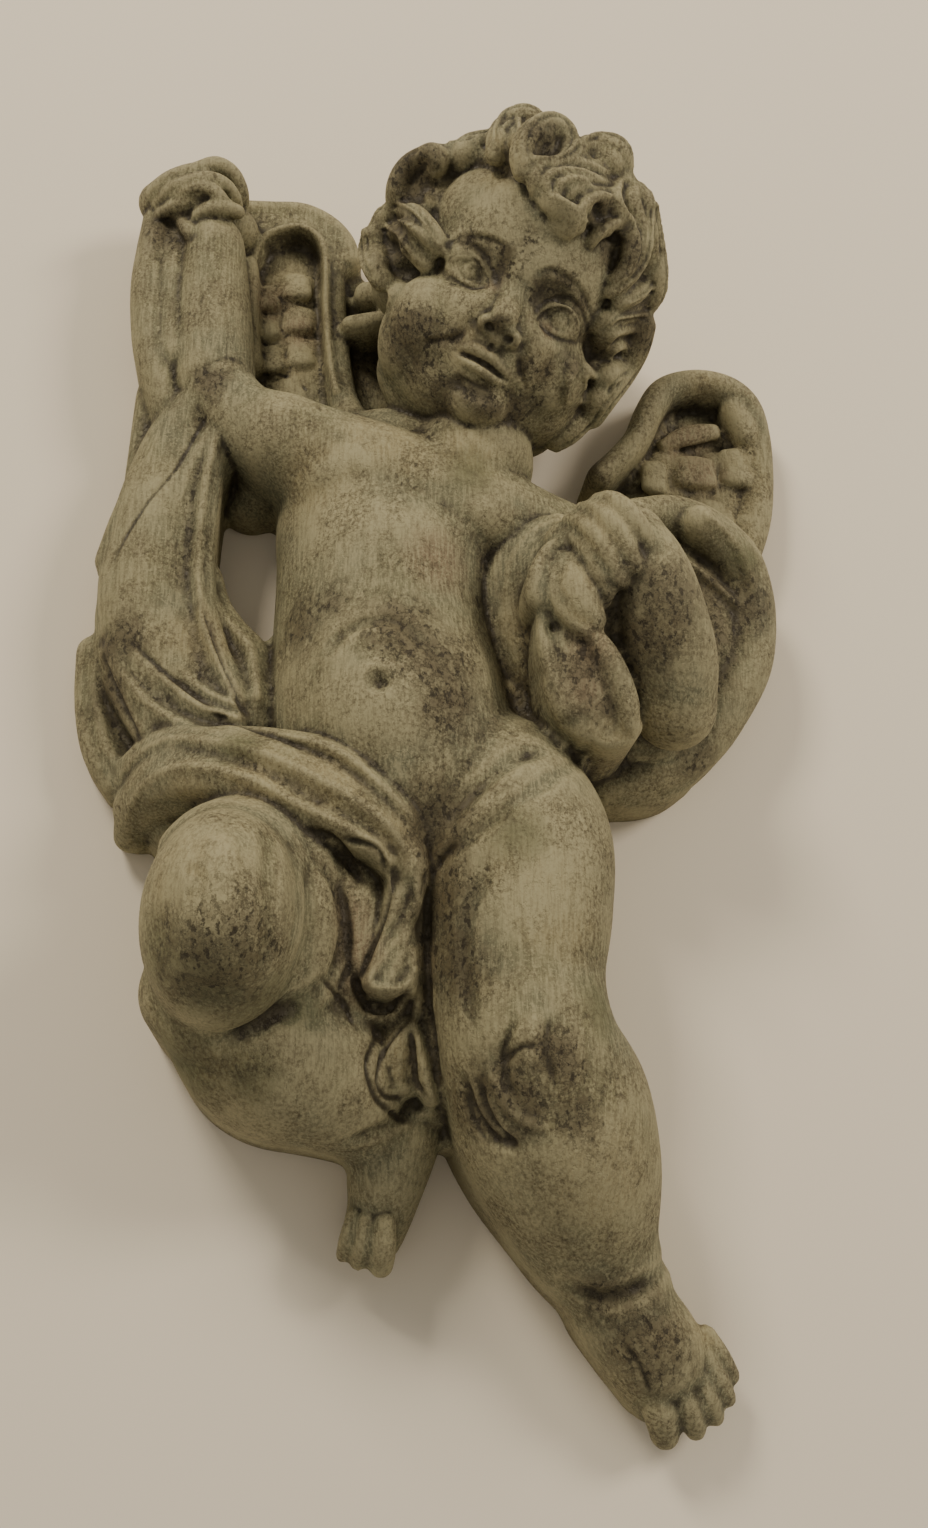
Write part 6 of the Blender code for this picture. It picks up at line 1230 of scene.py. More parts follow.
# The paint along these lines is glaze in the cuts and also painted shade: under the brows, under the nose
# and beside the mouth. Rows with no depth are painted shade only: under the nose tip, on the upper lip,
# under the lower lip and on the right cheek.
FACE_CREASES = [
    ([(-14.5, -3.4), (-13.9, -1.9), (-12.4, -0.9), (-10.2, -0.9), (-8.1, -1.8), (-6, -3.3)], 0.5, 0.3),
    ([(-15.6, -2.4), (-15.2, -0.5), (-12.9, 1.2), (-9.6, 1.1), (-6.6, -0.7), (-4.4, -3.1)], 0.8, 0.25),
    ([(-12.7, -5.2), (-10.1, -6.2), (-7.4, -6.2), (-5.6, -5.2)], 0.45, 0.2),
    ([(6.1, -6.8), (6.8, -4.3), (8.7, -2.5), (11.2, -2), (13.5, -2.8), (15.3, -3.5)], 0.5, 0.3),
    ([(5.2, -5.9), (5.9, -2.9), (8, -0.4), (10.9, 0.5), (14.2, -0.4), (16.3, -1.8)], 0.7, 0.3),
    ([(7, -7.3), (9.4, -7.5), (12.1, -7.2), (15, -5.6)], 0.45, 0.2),
    ([(2.4, -0), (4.6, 2.2), (8.7, 2.8), (12.7, 2.1), (15.7, 0.4)], 1.2, 0.5),
    ([(-16.5, -1.4), (-14.8, 1.2), (-11.1, 2.8), (-6.9, 3), (-4.6, 2.3)], 1, 0.4),
    ([(-3.7, -13.8), (-2, -12.9), (0.3, -13.4), (2.7, -13.5), (4, -14)], 1.6, 0.3),
    ([(-1.7, -11.7), (-1, -11), (0.7, -10.7)], 0.8, 0),
    ([(-6, -18.2), (-4.9, -17), (-2.6, -16.7), (-0.5, -16.1), (2.1, -16.6), (4.8, -18.4)], 1.2, 0),
    ([(-5.2, -19.3), (-2.7, -18.9), (0.5, -18.9), (4.2, -19.7)], 0.6, 0.25),
    ([(-3.6, -22.6), (-0.1, -23.2), (3.6, -23)], 0.8, 0.3),
    ([(-12.4, -19.2), (-9.2, -17.7), (-6.7, -16.3), (-5.8, -15.2)], 1, 0.4),
    ([(-7.1, -24.8), (-4.2, -24.1), (-0.4, -24.4), (3.2, -25), (6.3, -25.6), (10.6, -23)], 1.2, 0),
    ([(5.8, -14.9), (7.2, -16.9), (9.2, -18.4)], 0.9, 0.3),
    ([(11.6, -14.6), (11.7, -11.9), (13.6, -8.6)], 0.8, 0),
]


def sharp_lines(skin):
    """The sharp creases, which are cut last: first those of the cloth and limbs, then the face's."""
    stroke_all(skin, CREASES)
    stroke_all(skin, FACE_CREASES, HEAD)


print(len(CREASES), "creases on the body and cloth,", len(FACE_CREASES), "on the face")

# %% [markdown]
# ## One casting
#
# Now everything is put together in the order in which it would be modelled. Body, head, wings
# and cloth are melted apart from each other, so that each can be rubbed as much as it needs.
# Hands, hair, face and feathers aren't rubbed at all. Then they are melted into one skin, and
# the tools are used on it.
#
# Smoothing spreads over the grain times the root of the number of rounds, so a finer mesh needs
# more rounds for the same softness: the wished softness divided by the grain squared.

# %% The cast skin
GRAIN = 0.5


def rounds(softness, grain):
    """How many rounds of smoothing give this softness: the softness over the grain squared."""
    return int(softness / grain ** 2)


def casting(grain):
    """All forms melted together and modelled."""
    body = fuse((trunk, straight_leg, bent_leg, arms), "body", grain, rounds(12, grain), True)
    head = fuse((head_masses,), "head", grain, rounds(8, grain))
    sockets(Skin(head))
    wings = fuse((left_wing, right_wing), "wings", grain, rounds(2, grain), True)
    cloth = fuse((left_drape, right_drape, drape_folds, lap_band, hooked_fold, billow_folds,
                  cloth_end), "cloth", grain, rounds(2, grain), True)
    detail = fuse((face, hair, feathers, right_hand, left_hand, toes), "detail", grain, 0)
    heap = join([body, head, wings, cloth, detail])
    whole = melt(join([heap, plug(heap)]), grain, rounds(1.2, grain))
    skin = Skin(whole)
    body_lines(skin)
    face_lines(skin)
    knee_planes(skin)
    comb(skin)
    sharp_lines(skin)
    skin.look()
    return whole


cherub = casting(GRAIN)
print("the skin has", len(cherub.data.polygons), "faces")

# %% [markdown]
# ## The flat back
#
# The casting is cut level where it meets the wall, and the cut is closed. Before that the skin
# is thinned out, which keeps points where it bends and drops them where it is smooth. Points
# that lie within a tenth of a millimetre of the wall are taken to be on it.

# %% Back
THINNED_TO = 217000
SNAP = 0.0001


def crumbs(bm):
    """The points of every loose piece but the largest."""
    pieces = []
    seen = set()
    for first in bm.verts:
        if first in seen:
            continue
        piece = {first}
        edge_of_piece = [first]
        while edge_of_piece:
            vert = edge_of_piece.pop()
            near = {edge.other_vert(vert) for edge in vert.link_edges} - piece
            piece |= near
            edge_of_piece += near
        seen |= piece
        pieces.append(piece)
    pieces.sort(key=len)
    return [vert for piece in pieces[:-1] for vert in piece]


def flat_back(thing):
    """Cut the casting level with the wall at y = 0 and close it there."""
    bm = bmesh.new()
    bm.from_mesh(thing.data)
    everything = bm.verts[:] + bm.edges[:] + bm.faces[:]
    bmesh.ops.bisect_plane(bm, geom=everything, dist=SNAP, plane_co=(0, 0, 0), plane_no=(0, 1, 0),
                           clear_outer=True)
    rim = [edge for edge in bm.edges if edge.is_boundary]
    for vert in {vert for edge in rim for vert in edge.verts}:
        vert.co.y = 0
    bmesh.ops.triangle_fill(bm, use_beauty=True, edges=rim, normal=(0, 1, 0))
    bmesh.ops.delete(bm, geom=crumbs(bm), context="VERTS")
    bmesh.ops.recalc_face_normals(bm, faces=bm.faces)
    bm.to_mesh(thing.data)
    bm.free()


def lighten(thing, faces):
    """Thin the skin out to the given number of triangles."""
    thin = thing.modifiers.new("thin", "DECIMATE")
    thin.ratio = min(1.0, faces / (2 * len(thing.data.polygons)))
    return settle(thing)


lighten(cherub, THINNED_TO)
flat_back(cherub)
cherub.name = "cherub_skin"
cherub.data.name = "cherub_skin"
cherub.data.polygons.foreach_set("use_smooth", [True] * len(cherub.data.polygons))
print("the casting has", len(cherub.data.loops) - 2 * len(cherub.data.polygons), "triangles")

# %% [markdown]
# ## Where the glaze stays
#
# A dark glaze is brushed over the green and wiped off with a rag. It stays in the hollows and
# goes from the ridges, and a dry brush leaves a paler green there. To know which is which, the
# mesh is smoothed in numbers only: where a point lies below its smoothed place it is in a
# hollow, where it lies above it is on a ridge. Little smoothing finds cracks, much smoothing
# finds folds. Each measure goes from 0 to 1, and is 1 at the height in millimetres given for it.

# %% Hollows and ridges
def points_of(mesh):
    """The places and normals of a mesh's points as two arrays."""
    n = len(mesh.vertices)
    place = np.empty(n * 3, np.float32)
    normal = np.empty(n * 3, np.float32)
    mesh.vertices.foreach_get("co", place)
    mesh.vertex_normals.foreach_get("vector", normal)
    return place.reshape(-1, 3).astype(float), normal.reshape(-1, 3)


def relief(mesh, rounds):
    """For each number of rounds, how far a point stands above the mesh smoothed that often.

    A round moves each point to the mean of its neighbours, and the height is the distance back
    from there, measured along the normal, in millimetres.
    """
    place, normal = points_of(mesh)
    ends = np.empty(len(mesh.edges) * 2, np.int32)
    mesh.edges.foreach_get("vertices", ends)
    a, b = ends.reshape(-1, 2).T
    count = np.bincount(a, minlength=len(place)) + np.bincount(b, minlength=len(place))
    soft = place.copy()
    heights = []
    for step in range(max(rounds)):
        total = np.stack([np.bincount(a, soft[b, i], len(place)) + np.bincount(b, soft[a, i], len(place))
                          for i in range(3)], 1)
        soft = 0.5 * soft + 0.5 * total / count[:, None]
        if step + 1 in rounds:
            heights.append(((place - soft) * normal).sum(1) / MM)
    return heights


def keep(mesh, name, values):
    """Store one number for each point under a name that the paint can read."""
    layer = mesh.attributes.new(name, "FLOAT", "POINT")
    layer.data.foreach_set("value", np.asarray(values, np.float32))


fine, middle, broad = relief(cherub.data, (4, 16, 90))
for name, height, full in (("crack", -fine, 0.10), ("hollow", -middle, 0.45), ("fold", -broad, 2.2),
                           ("ridge", middle, 0.35), ("edge", fine, 0.08)):
    keep(cherub.data, name, np.clip(height / full, 0, 1))
for name, height in (("fine", fine), ("middle", middle), ("broad", broad)):
    print("the", name, "relief is", round(float(np.abs(height).mean()), 3), "mm high on average")

# %% [markdown]
# ## Where the colour changes
#
# The painter did not treat every part alike. Dark glaze was left standing on the left cheek, the
# straight knee and the foot, green gathers under the bent knee, and sandy and reddish tints show
# where the cloth and the feathers were rubbed. Some of the same tints also lay painted light and
# shade: painted shade in the eye sockets, under the mouth and chin, on the right cheek, on the
# lower side of the bent knee, in the green under it and in the middles of the curls, and painted
# highlights on the chin, the lips, the front of the bent knee, the straight thigh and the crest of
# the lap band. Each tint is a list of places on the figure, with the radius in millimetres that it
# reaches. The middles of the curls get painted shade too, and the rounded faces of the feathers
# are rubbed pale, so those places are taken from the curls and feathers.

# %% Tinted places
# Dark glaze that was left standing, and painted shade in the eye sockets, under the mouth and
# chin, on the right cheek and on the lower side of the bent knee.
SHADE_AND_GLAZE_SPOTS = [
    (-3, 31, 34, 5), (2, 26, 33, 4), (6, 21, 31, 3.5), (-7, 43, 5, 4), (14, 18, 34, 3), (16, 41, 46, 3),
    (20, 43, 49, 2.5), (15, -114, 36, 4), (18, -117, 36, 4), (12, -117, 29, 4),
    (28, -119, 36, 3), (24, -110, 39, 4), (40, -151, 18, 6), (35, -145, 18, 4), (44, -155, 17, 5),
    (41, -34, 37, 7), (45, -28, 42, 6), (38, -27, 38, 5), (-54, -30, 17, 4), (-55, -40, 12, 4),
    (-20, -30, 26, 5), (-2, -34, 36, 6), (3, -40, 36, 6), (7, -47, 36, 5), (-15, -26, 31, 3),
    (5, -70, 31, 6), (7, -83, 32, 6), (8, -93, 33, 6), (-52, 65, 17, 4), (-40, 26, 22, 3),
    (70, -15, 19, 5), (65, -29, 25, 5), (58, -48, 15, 4), (39, 18, 12, 3), (-3, 66, 44, 5),
    (39, 48, 44, 4), (48, 41, 30, 4),
    (4.5, 28.6, 37.5, 2.5), (1.5, 29.8, 37, 3), (-1, 32.4, 37.6, 3), (6.8, 28.5, 38.8, 1.5),
    (8.1, 21.3, 33.4, 2), (10.4, 18.4, 34.3, 2.2), (14.1, 16.4, 34, 2.5), (19.8, 18.2, 29.6, 2.5),
    (24, 20.5, 31, 2.2), (21.1, 23.9, 37, 1.6), (24.6, 23.5, 35, 2), (60, -12, 18, 6),
    (61, -22, 18, 6), (59, -30, 17, 5), (30, -40, 36, 5), (33, -47, 34, 3), (-30, -98, 52, 8),
    (8.8, 45.7, 44.9, 2), (12.7, 43.3, 45.1, 2.5), (25, 38, 44.5, 2.5), (27.9, 38.3, 44, 2.5),
    (31.4, 37.2, 40.4, 2), (22.6, 37.2, 43.9, 2), (14.5, 27.3, 44.1, 1.5), (37.2, 34, 30.6, 2.5),
    (31.5, 27.1, 35.1, 2),
]

# Green that gathered, which under the bent knee is painted shade as well.
MOSS_AND_SHADE = [
    (-31, -102, 48, 8), (-24, -103, 40, 7), (-39, -97, 46, 7), (-35, -110, 26, 8), (-25, -112, 31, 5),
    (-30, -56, 33, 4), (32, -101, 35, 5), (11, 4, 30, 5), (-17, -102, 30, 4), (18, -72, 38, 5),
    (69, -6, 20, 4),
]

# Reddish ground that shows through.
ROSY = [
    (-30, 57, 8, 5), (-23, 50, 8, 4), (62, 29, 9, 6), (64, 21, 10, 5), (-8, -91, 29, 4),
    (-10, -86, 30, 4), (-8, -97, 27, 3), (14, 37, 43, 1.6), (25, 31, 39, 2), (5, -17, 32, 6),
    (31, -44, 37, 4), (32, -37, 37, 4),
]

# Sandy ground that shows through, and painted highlight on the crest of the lap band and the
# upper front of the bent knee.
SAND_AND_HIGHLIGHT = [
    (4, -92, 27, 2.5), (4, -98, 25, 2.5), (6, -76, 30, 4), (6, -82, 31, 2.5), (-14, -62, 37, 6),
    (-26, -63, 35, 5), (-36, -62, 25, 4), (-2, -72, 36, 4), (-38, -2, -1, 5), (-39, -30, 19, 5),
    (-18, 1, 27, 8), (-6, 10, 30, 7), (11, 9, 29, 5), (-26, 69, 10, 3), (-29, 67, 10, 3),
    (31, -32, 40, 4), (29, -25, 42, 3), (34, -15, 46, 5), (21, -27, 28, 5), (20, -38, 20, 5),
    (38, -53, 33, 5), (47, -49, 26, 5), (22, -77, 39, 7), (25, -87, 38, 6), (32, -128, 32, 6),
    (53, -151, 11, 3), (0, -108, 24, 3), (-28, -113, 30, 5), (-37, -86, 52, 6), (-34, -84, 54, 5),
    (8, 27, 39, 3.5), (12, 24, 41, 2.5), (24, 24, 36, 3), (1, 63, 44, 5), (14, 60, 52, 5),
    (65, 40, 11, 4),
]

# Raised places that the rag rubbed pale, and painted highlights on the chin, the lips, the front
# of the bent knee and the straight thigh.
RUBBED_AND_HIGHLIT = [
    (-12, -4, 30, 9), (-21, -10, 23, 7), (1, -14, 33, 7), (-12, -18, 32, 7), (4, 27, 36, 3.5),
    (6, 24, 34, 3), (24, 22, 34, 3), (11, 47, 47, 7), (6, 35, 41, 3), (-8, -45, 37, 7),
    (18, -84, 38, 7), (25, -75, 38, 6), (-28, -94, 53, 5), (-33, -90, 54, 6), (32, -35, 38, 3),
    (36, -15, 46, 3), (-45, 0, 19, 5), (-36, 13, 21, 5), (-31, 39, 12, 4),
    (4.9, 24.5, 34.1, 2.2), (2.7, 24, 32.1, 2), (10, 20.3, 37.5, 1.5), (15.9, 18.7, 34.5, 1.8),
    (17.7, 16.9, 31.2, 1), (1.1, 37.6, 39.7, 3.5), (5.3, 35.1, 41, 2.5), (-1.6, 42.9, 35.6, 3),
    (18.5, 39.3, 47, 3), (11.5, 22.9, 39.7, 0.8), (13, 26.9, 42.2, 1), (32.9, 39.3, 42.6, 4),
    (24.2, 43.3, 49.2, 5), (15.7, 20.4, 36.2, 1.2),
]


# The middles of the curls, in the head's own directions, which get painted shade.
HAIR_HOLLOWS = [(-27.2, 11.5, 7, 4.5), (-26.3, 15, 9.3, 3), (-25.4, -1.2, 8, 4.5), (8.3, 16.4, 20, 2.5),
                (13.1, 15.4, 15, 2.5), (-6.8, 25, 19.7, 3)]
SHADE_AND_GLAZE_SPOTS += [tuple(row) for row in HEAD.place(HAIR_HOLLOWS)]
RUBBED_AND_HIGHLIT += [(row[0], row[1], row[2] + 1.5, 3.4) for rows in TILES for row in rows]
SAND_AND_HIGHLIGHT += [(row[0], row[1], row[2] + 1.5, 5) for rows in TILES for row in rows]


def near(mesh, places):
    """How near each point is to any of the places (right, up, out, radius), from 0 to 1.

    The nearness falls off as the bell (1 - q * q) squared, where q is the distance divided by
    twice the radius.
    """
    board = to_board(points_of(mesh)[0])
    share = np.zeros(len(board))
    for right, up, out, radius in places:
        q = np.linalg.norm(board - (right, up, out), axis=1) / (2 * radius)
        share = np.maximum(share, np.clip(1 - q * q, 0, 1) ** 2)
    return share


for name, places in (("shade_and_glaze_spots", SHADE_AND_GLAZE_SPOTS), ("moss_and_shade", MOSS_AND_SHADE), ("rosy", ROSY), ("sand_and_highlight", SAND_AND_HIGHLIGHT),
                     ("rubbed_and_highlit", RUBBED_AND_HIGHLIT)):
    keep(cherub.data, name, near(cherub.data, places))
    print(name, "in", len(places), "places")

# %% [markdown]
# ## Glaze and painted shade in the sharp lines
#
# The sharp creases are so narrow that the mesh hardly shows them from afar, while the real ones
# are filled with dark glaze and read as drawn lines. So every point also stores how near it lies
# to one of them. On the face the same darkening is also painted shade, under the brows, the nose
# and the lower lip and on the upper lip, and the lines with no depth are painted shade only. The
# lines of the face are measured in the head's own directions, and only on the front of it.

# %% Painted lines
FACE_FRONT = 9


def drawn(right_up, lines):
    """How near each point lies to any of the lines, seen from their front, from 0 to 1.

    It falls off as 1 - q * q, where q is the distance divided by 1.2 half widths of the line.
    """
    share = np.zeros(len(right_up))
    for rows, wide, _ in lines:
        path = smooth_path([(*row, 0) for row in rows], 1.0)[:, :2]
        inside = ((right_up > path.min(0) - 2 * wide) & (right_up < path.max(0) + 2 * wide)).all(1)
        which = np.where(inside)[0]
        here = right_up[which]
        best = np.full(len(which), 1e9)
        for a, b in zip(path, path[1:]):
            ab = b - a
            t = np.clip((here - a) @ ab / max(ab @ ab, 1e-9), 0, 1)
            best = np.minimum(best, np.linalg.norm(here - a - t[:, None] * ab, axis=1))
        share[which] = np.maximum(share[which], np.clip(1 - (best / (1.2 * wide)) ** 2, 0, 1))
    return share


def glaze_and_shade_lines(mesh):
    """The nearness to the sharp lines, those of the face measured in the head's own frame."""
    place, normal = points_of(mesh)
    board = to_board(place)
    share = drawn(board[:, :2], CREASES)
    local = (board - HEAD.origin) @ HEAD.turn.T
    front = local[:, 2] > FACE_FRONT
    share[front] = np.maximum(share[front], drawn(local[front][:, :2], FACE_CREASES))
    return share * (normal[:, 1] < 0.3)


lines = glaze_and_shade_lines(cherub.data)
# This nearness darkens the paint: glaze in the creases, and painted shade along the lines of the face.
keep(cherub.data, "drawn", lines)
print("glaze is drawn on", int((lines > 0.5).sum()), "points")

# %% [markdown]
# ## Shader maths in plain Python
#
# `Value` wraps a socket, so that sums of sockets can be written as sums. `Paint` makes a
# material and any other node in it.

# %% Shader helpers
class Value:
    """A number in a shader. Arithmetic on it adds Math nodes."""

    def __init__(self, paint, socket):
        self.paint = paint
        self.socket = socket

    def maths(self, operation, *others, clamp=False):
        """The result of a Math node on this value and the others."""
        node = self.paint.tree.nodes.new("ShaderNodeMath")
        node.operation = operation
        node.use_clamp = clamp
        for place, value in enumerate((self, *others)):
            self.paint.connect(node.inputs[place], value)
        return Value(self.paint, node.outputs[0])

    def __add__(self, other):
        return self.maths("ADD", other)

    def __mul__(self, other):
        return self.maths("MULTIPLY", other)

    def __sub__(self, other):
        return self.maths("SUBTRACT", other)

    def __rsub__(self, other):
        return (self * -1.0) + other

    def between(self, low, high):
        """0 below low, 1 above high, and a straight ramp in between."""
        return self.maths("MULTIPLY_ADD", 1 / (high - low), -low / (high - low), clamp=True)

    def held(self):
        """The value kept between 0 and 1."""
        return self.maths("ADD", 0.0, clamp=True)


class Paint:
    """A material built node by node."""

    def __init__(self, name):
        self.material = bpy.data.materials.new(name)
        self.material.use_nodes = True
        self.tree = self.material.node_tree
        self.shader = self.tree.nodes["Principled BSDF"]

    def connect(self, socket, value):
        """Link a value to a socket, or set the socket where the value is a plain number."""
        if isinstance(value, Value):
            self.tree.links.new(value.socket, socket)
        elif isinstance(value, bpy.types.NodeSocket):
            self.tree.links.new(value, socket)
        else:
            socket.default_value = value

    def node(self, kind, output, settings=None, **sockets):
        """A node's output, after its settings and then its sockets are filled in."""
        node = self.tree.nodes.new(kind)
        for name, value in (settings or {}).items():
            setattr(node, name, value)
        for name, value in sockets.items():
            self.connect(node.inputs[name.replace("_", " ")], value)
        return Value(self, node.outputs[output])

    def colour(self, below, above, amount):
        """A colour that goes from one to the other as the amount goes from 0 to 1."""
        node = self.tree.nodes.new("ShaderNodeMix")
        node.data_type = "RGBA"
        self.connect(node.inputs[0], amount)
        self.connect(node.inputs[6], below)
        self.connect(node.inputs[7], above)
        return Value(self, node.outputs[2])

    def stored(self, name):
        """A number that was kept on the mesh."""
        return self.node("ShaderNodeAttribute", "Fac", {"attribute_name": name})

    def noise(self, scale, detail=4.0, stretch=(1, 1, 1), roughness=0.55):
        """Noise on object coordinates, where scale is how many blotches fit in a metre."""
        place = self.node("ShaderNodeTexCoord", "Object")
        place = self.node("ShaderNodeMapping", "Vector", Vector=place, Scale=stretch)
        return self.node("ShaderNodeTexNoise", "Fac", Vector=place, Scale=scale, Detail=detail,
                         Roughness=roughness)


print("shader helpers are ready")

# %% [markdown]
# ## The painted finish
#
# From below upwards: a sage green ground that is greyer in some places and sandier in others,
# fine pale brush marks that run down the figure, a tan dry brush on the ridges, then the dark
# glaze. The glaze fills the hollows and stands in patches with torn edges, and breaks up into
# small flecks and crackle around them. Where the listed places ask for it, the glaze layers also
# paint shade and the sand and pale layers paint highlights. It is matt, a little glossier where
# glaze has pooled.
#
# A picture laid over the casting could do it too, but it would smear on the sides, and the
# glaze has to know the hollows. So every layer is a colour, and an amount worked out from what
# the mesh stores and from noise of several sizes. `between` gives each amount its torn edge.

# %% Patina
SAGE = (0.200, 0.185, 0.098, 1)
GREY_GREEN = (0.153, 0.149, 0.088, 1)
SAND = (0.288, 0.243, 0.126, 1)
PALE = (0.345, 0.313, 0.182, 1)
ROSE = (0.22, 0.155, 0.092, 1)
MOSS = (0.075, 0.083, 0.032, 1)
BROWN = (0.070, 0.052, 0.025, 1)
UMBER = (0.024, 0.018, 0.009, 1)


def patina():
    """Green ground, sand on the ridges, dark hollows, brush marks, torn patches of glaze and flecks, with
    painted shade and highlights in the listed places.
    """
    paint = Paint("patina")
    crack, hollow, fold = (paint.stored(name) for name in ("crack", "hollow", "fold"))
    ridge, edge, line = (paint.stored(name) for name in ("ridge", "edge", "drawn"))
    shade_and_glaze_spots, moss_and_shade, rosy = (paint.stored(name) for name in ("shade_and_glaze_spots", "moss_and_shade", "rosy"))
    sand_and_highlight, rubbed_and_highlit = paint.stored("sand_and_highlight"), paint.stored("rubbed_and_highlit")
    cloud = paint.noise(38, 3)
    patch = paint.noise(110, 5)
    torn = paint.noise(420, 7, roughness=0.72)
    grain = paint.noise(1500, 4, roughness=0.7)
    speck = paint.noise(2300, 2, roughness=0.6)
    brush = paint.noise(1700, 4, (1, 1, 0.10), 0.6)
    fleck = paint.noise(800, 4, (1, 1, 0.7), 0.6)
    # The ground: sage and grey green, sand on ridges, pale and rosy where it was rubbed. The sand
    # and pale layers also paint highlights on the lap band, chin, lips, bent knee and thigh.
    ground = paint.colour(GREY_GREEN, SAGE, (cloud + patch * 0.6).between(0.66, 0.95))
    tan = sand_and_highlight * 0.75 + ridge * 0.35 + edge * 0.2 + patch * 0.55 + cloud * 0.25
    ground = paint.colour(ground, SAND, tan.between(0.5, 1.1) * 0.85)
    pale = (rubbed_and_highlit * 0.5 + edge * 0.5 + ridge * 0.3 + torn * 0.8).between(0.55, 1.25)
    ground = paint.colour(ground, PALE, pale * 0.8)
    ground = paint.colour(ground, ROSE, (rosy * 0.9 + torn * 0.5).between(0.45, 1.1) * 0.7)
    # Brush marks and specks, fainter in the hollows.
    clear = 1.0 - hollow * 0.7 - shade_and_glaze_spots * 0.3
    ground = paint.colour(ground, PALE, brush.between(0.47, 0.60) * clear * 0.58)
    ground = paint.colour(ground, BROWN, (1.0 - brush).between(0.52, 0.64) * clear * 0.28)
    ground = paint.colour(ground, PALE, speck.between(0.51, 0.66) * clear * 0.6)
    # Moss green in the folds, which under the bent knee is painted shade as well, and brown grain over
    # everything.
    green = (moss_and_shade * 0.75 + fold * 0.35 + torn * 0.5 + cloud * 0.3 - 0.5).between(0.12, 0.7)
    ground = paint.colour(ground, MOSS, green * 0.6)
    grainy = patch.between(0.42, 0.58) * 0.5 + 0.15
    ground = paint.colour(ground, BROWN, grain.between(0.47, 0.62) * grainy)
    # Thin glaze in patches, then the dark glaze that stays in hollows, cracks and lines. Both
    # also paint shade in the eye sockets, under the nose, mouth and chin, on the upper lip, on the
    # right cheek, on the bent knee and in the curls.
    thin = shade_and_glaze_spots * 0.6 + fold * 0.5 + hollow * 0.35 + line * 0.3 + torn * 1.3 + patch * 0.6 + grain * 0.35
    thin = (thin - rubbed_and_highlit * 0.3 - 1.10).between(0.0, 0.6)
    ground = paint.colour(ground, BROWN, thin * 0.7)
    dark_glaze_and_shade = line * 0.35 + hollow * 0.7 + crack * 0.5 + torn * 0.9 - rubbed_and_highlit * 0.35
    dark_glaze_and_shade = (dark_glaze_and_shade - 0.60).between(0.12, 0.85)
    ground = paint.colour(ground, UMBER, dark_glaze_and_shade * 0.7)
    # Flecks and crackle round the patches.
    where = (shade_and_glaze_spots * 0.5 + patch * 0.9 + fold * 0.5 + hollow * 0.4).between(0.4, 0.8)
    ground = paint.colour(ground, UMBER, fleck.between(0.55, 0.62) * where * 0.8)
    vein = (1.0 - (torn - 0.5).maths("ABSOLUTE") * 40.0).held() * where
    ground = paint.colour(ground, UMBER, vein * 0.6)
    paint.connect(paint.shader.inputs["Base Color"], ground)
    paint.connect(paint.shader.inputs["Roughness"], 0.78 - dark_glaze_and_shade * 0.2 - thin * 0.08)
    paint.shader.inputs["Specular IOR Level"].default_value = 0.35
    height = brush * 0.5 + grain * 0.45 + torn * 0.35 - fleck.between(0.55, 0.64) * 0.5 - vein * 0.5
    bump = paint.node("ShaderNodeBump", "Normal", Height=height, Strength=0.55, Distance=0.0004)
    paint.connect(paint.shader.inputs["Normal"], bump)
    return paint.material


cherub.data.materials.clear()
cherub.data.materials.append(patina())
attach(cherub, "root")
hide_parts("cherub")
print("the skin is painted")

# %% [markdown]
# ## Setting
#
# The plaque hangs on a plain pale wall. Seen from behind, the wall lets the eye through, so that
# the flat back shows. The wall still holds back the light, as any wall does, so the back is dark.

# %% Wall
WALL_COLOUR = (0.80, 0.725, 0.585, 1)


def plain_wall(half=2.5):
    """A large square at y = 0, pale in front and see-through from behind."""
    mesh = bpy.data.meshes.new("wall")
    corners = [(-half, 0, -half), (half, 0, -half), (half, 0, half), (-half, 0, half)]
    mesh.from_pydata(corners, [], [(0, 1, 2, 3)])
    thing = bpy.data.objects.new("wall", mesh)
    bpy.context.scene.collection.objects.link(thing)
    paint = Paint("pale_wall")
    paint.shader.inputs["Base Color"].default_value = WALL_COLOUR
    paint.shader.inputs["Roughness"].default_value = 0.9
    behind = paint.node("ShaderNodeNewGeometry", "Backfacing")
    clear = paint.tree.nodes.new("ShaderNodeBsdfTransparent")
    mix = paint.tree.nodes.new("ShaderNodeMixShader")
    paint.connect(mix.inputs[0], behind)
    paint.tree.links.new(paint.shader.outputs[0], mix.inputs[1])
    paint.tree.links.new(clear.outputs[0], mix.inputs[2])
    paint.tree.links.new(mix.outputs[0], paint.tree.nodes["Material Output"].inputs["Surface"])
    mesh.materials.append(paint.material)
    return thing


wall = plain_wall()
print("the wall faces", [round(v) for v in wall.data.polygons[0].normal])

# %% [markdown]
# ## Light
#
# Two large soft lamps stand above the figure to the left and right, so that shadows fall to
# both sides below it, and the room around gives the rest. A third lamp stands behind the wall,
# which keeps its light off the figure.

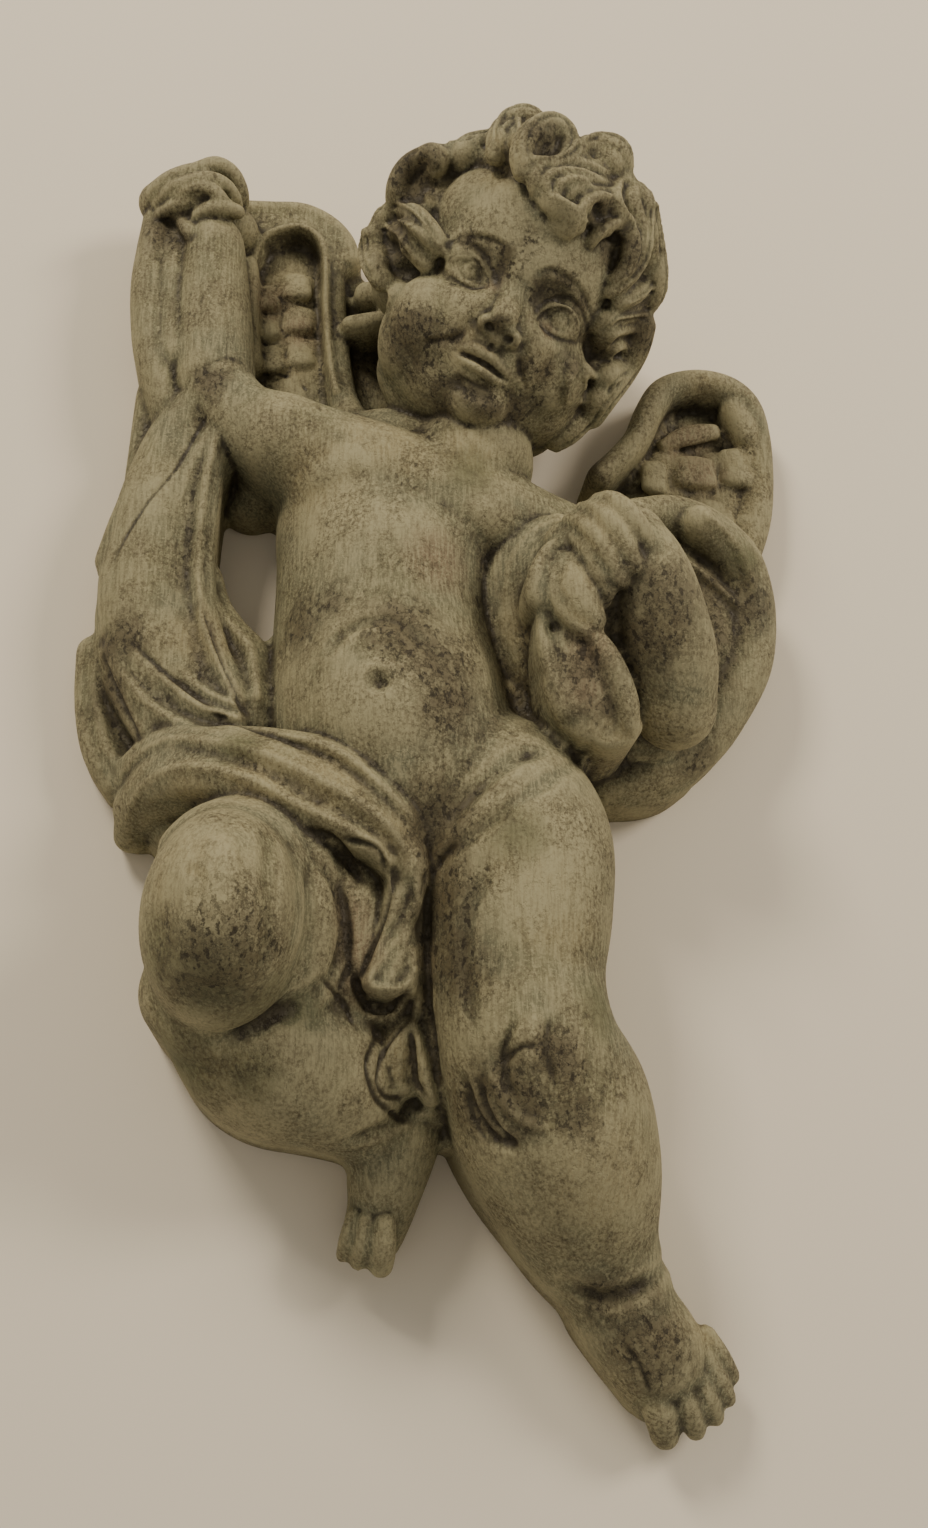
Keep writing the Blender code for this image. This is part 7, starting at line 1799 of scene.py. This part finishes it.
# %% Lamps
def lamp(name, place, aim, size, power, colour):
    """A square area light at a place, turned to look at its aim."""
    light = bpy.data.lights.new(name, "AREA")
    light.size = size
    light.energy = power
    light.color = colour
    thing = bpy.data.objects.new(name, light)
    thing.location = place
    thing.rotation_euler = (Vector(aim) - Vector(place)).to_track_quat("-Z", "Y").to_euler()
    bpy.context.scene.collection.objects.link(thing)
    return thing


MIDDLE = (0, 0, -0.04)
lamp("left_lamp", (-0.55, -0.75, 0.75), MIDDLE, 0.30, 9.5, (1.0, 0.90, 0.76))
lamp("right_lamp", (0.75, -0.7, 0.35), MIDDLE, 0.30, 5.8, (1.0, 0.90, 0.78))
lamp("back_lamp", (0.4, 0.9, 0.5), MIDDLE, 0.6, 6.0, (1.0, 0.95, 0.9))
world = bpy.data.worlds.new("room")
world.use_nodes = True
world.node_tree.nodes["Background"].inputs["Color"].default_value = (1.0, 0.93, 0.83, 1)
world.node_tree.nodes["Background"].inputs["Strength"].default_value = 0.42
bpy.context.scene.world = world
print("three lamps and a pale room are set up")

# %% [markdown]
# ## Camera
#
# The camera looks up along the wall from near the feet, and is turned a little. Where it stood
# was worked out from the perspective of the photograph: in metres, with the directions to its
# right, up and forward as rows of length one. The lens is known as a focal length in pixels of a
# photograph 1528 pixels tall.

# %% Camera
FOCAL_PIXELS = 1400
PICTURE_HEIGHT = 1528
SENSOR = 36
CAMERA = (-0.0197, -0.2610, -0.1455)
RIGHT = (0.9919, -0.1269, 0.0)
UP = (-0.0451, -0.3525, 0.9347)
FORWARD = (0.1186, 0.9272, 0.3553)


def photographer():
    """A camera at the photographer's place.

    The columns of its matrix are its directions: right, up, and back, which is forward reversed.
    """
    lens = bpy.data.cameras.new("photographer")
    lens.sensor_fit = "VERTICAL"
    lens.sensor_height = SENSOR
    lens.lens = SENSOR * FOCAL_PIXELS / PICTURE_HEIGHT
    lens.clip_start = 0.01
    lens.clip_end = 20
    thing = bpy.data.objects.new("photographer", lens)
    turn = Matrix([(RIGHT[i], UP[i], -FORWARD[i]) for i in range(3)]).to_4x4()
    thing.matrix_world = Matrix.Translation(CAMERA) @ turn
    bpy.context.scene.collection.objects.link(thing)
    bpy.context.scene.camera = thing
    return thing


camera = photographer()
print("the camera stands", round(camera.location.length * 100, 1), "cm from the middle of the back")
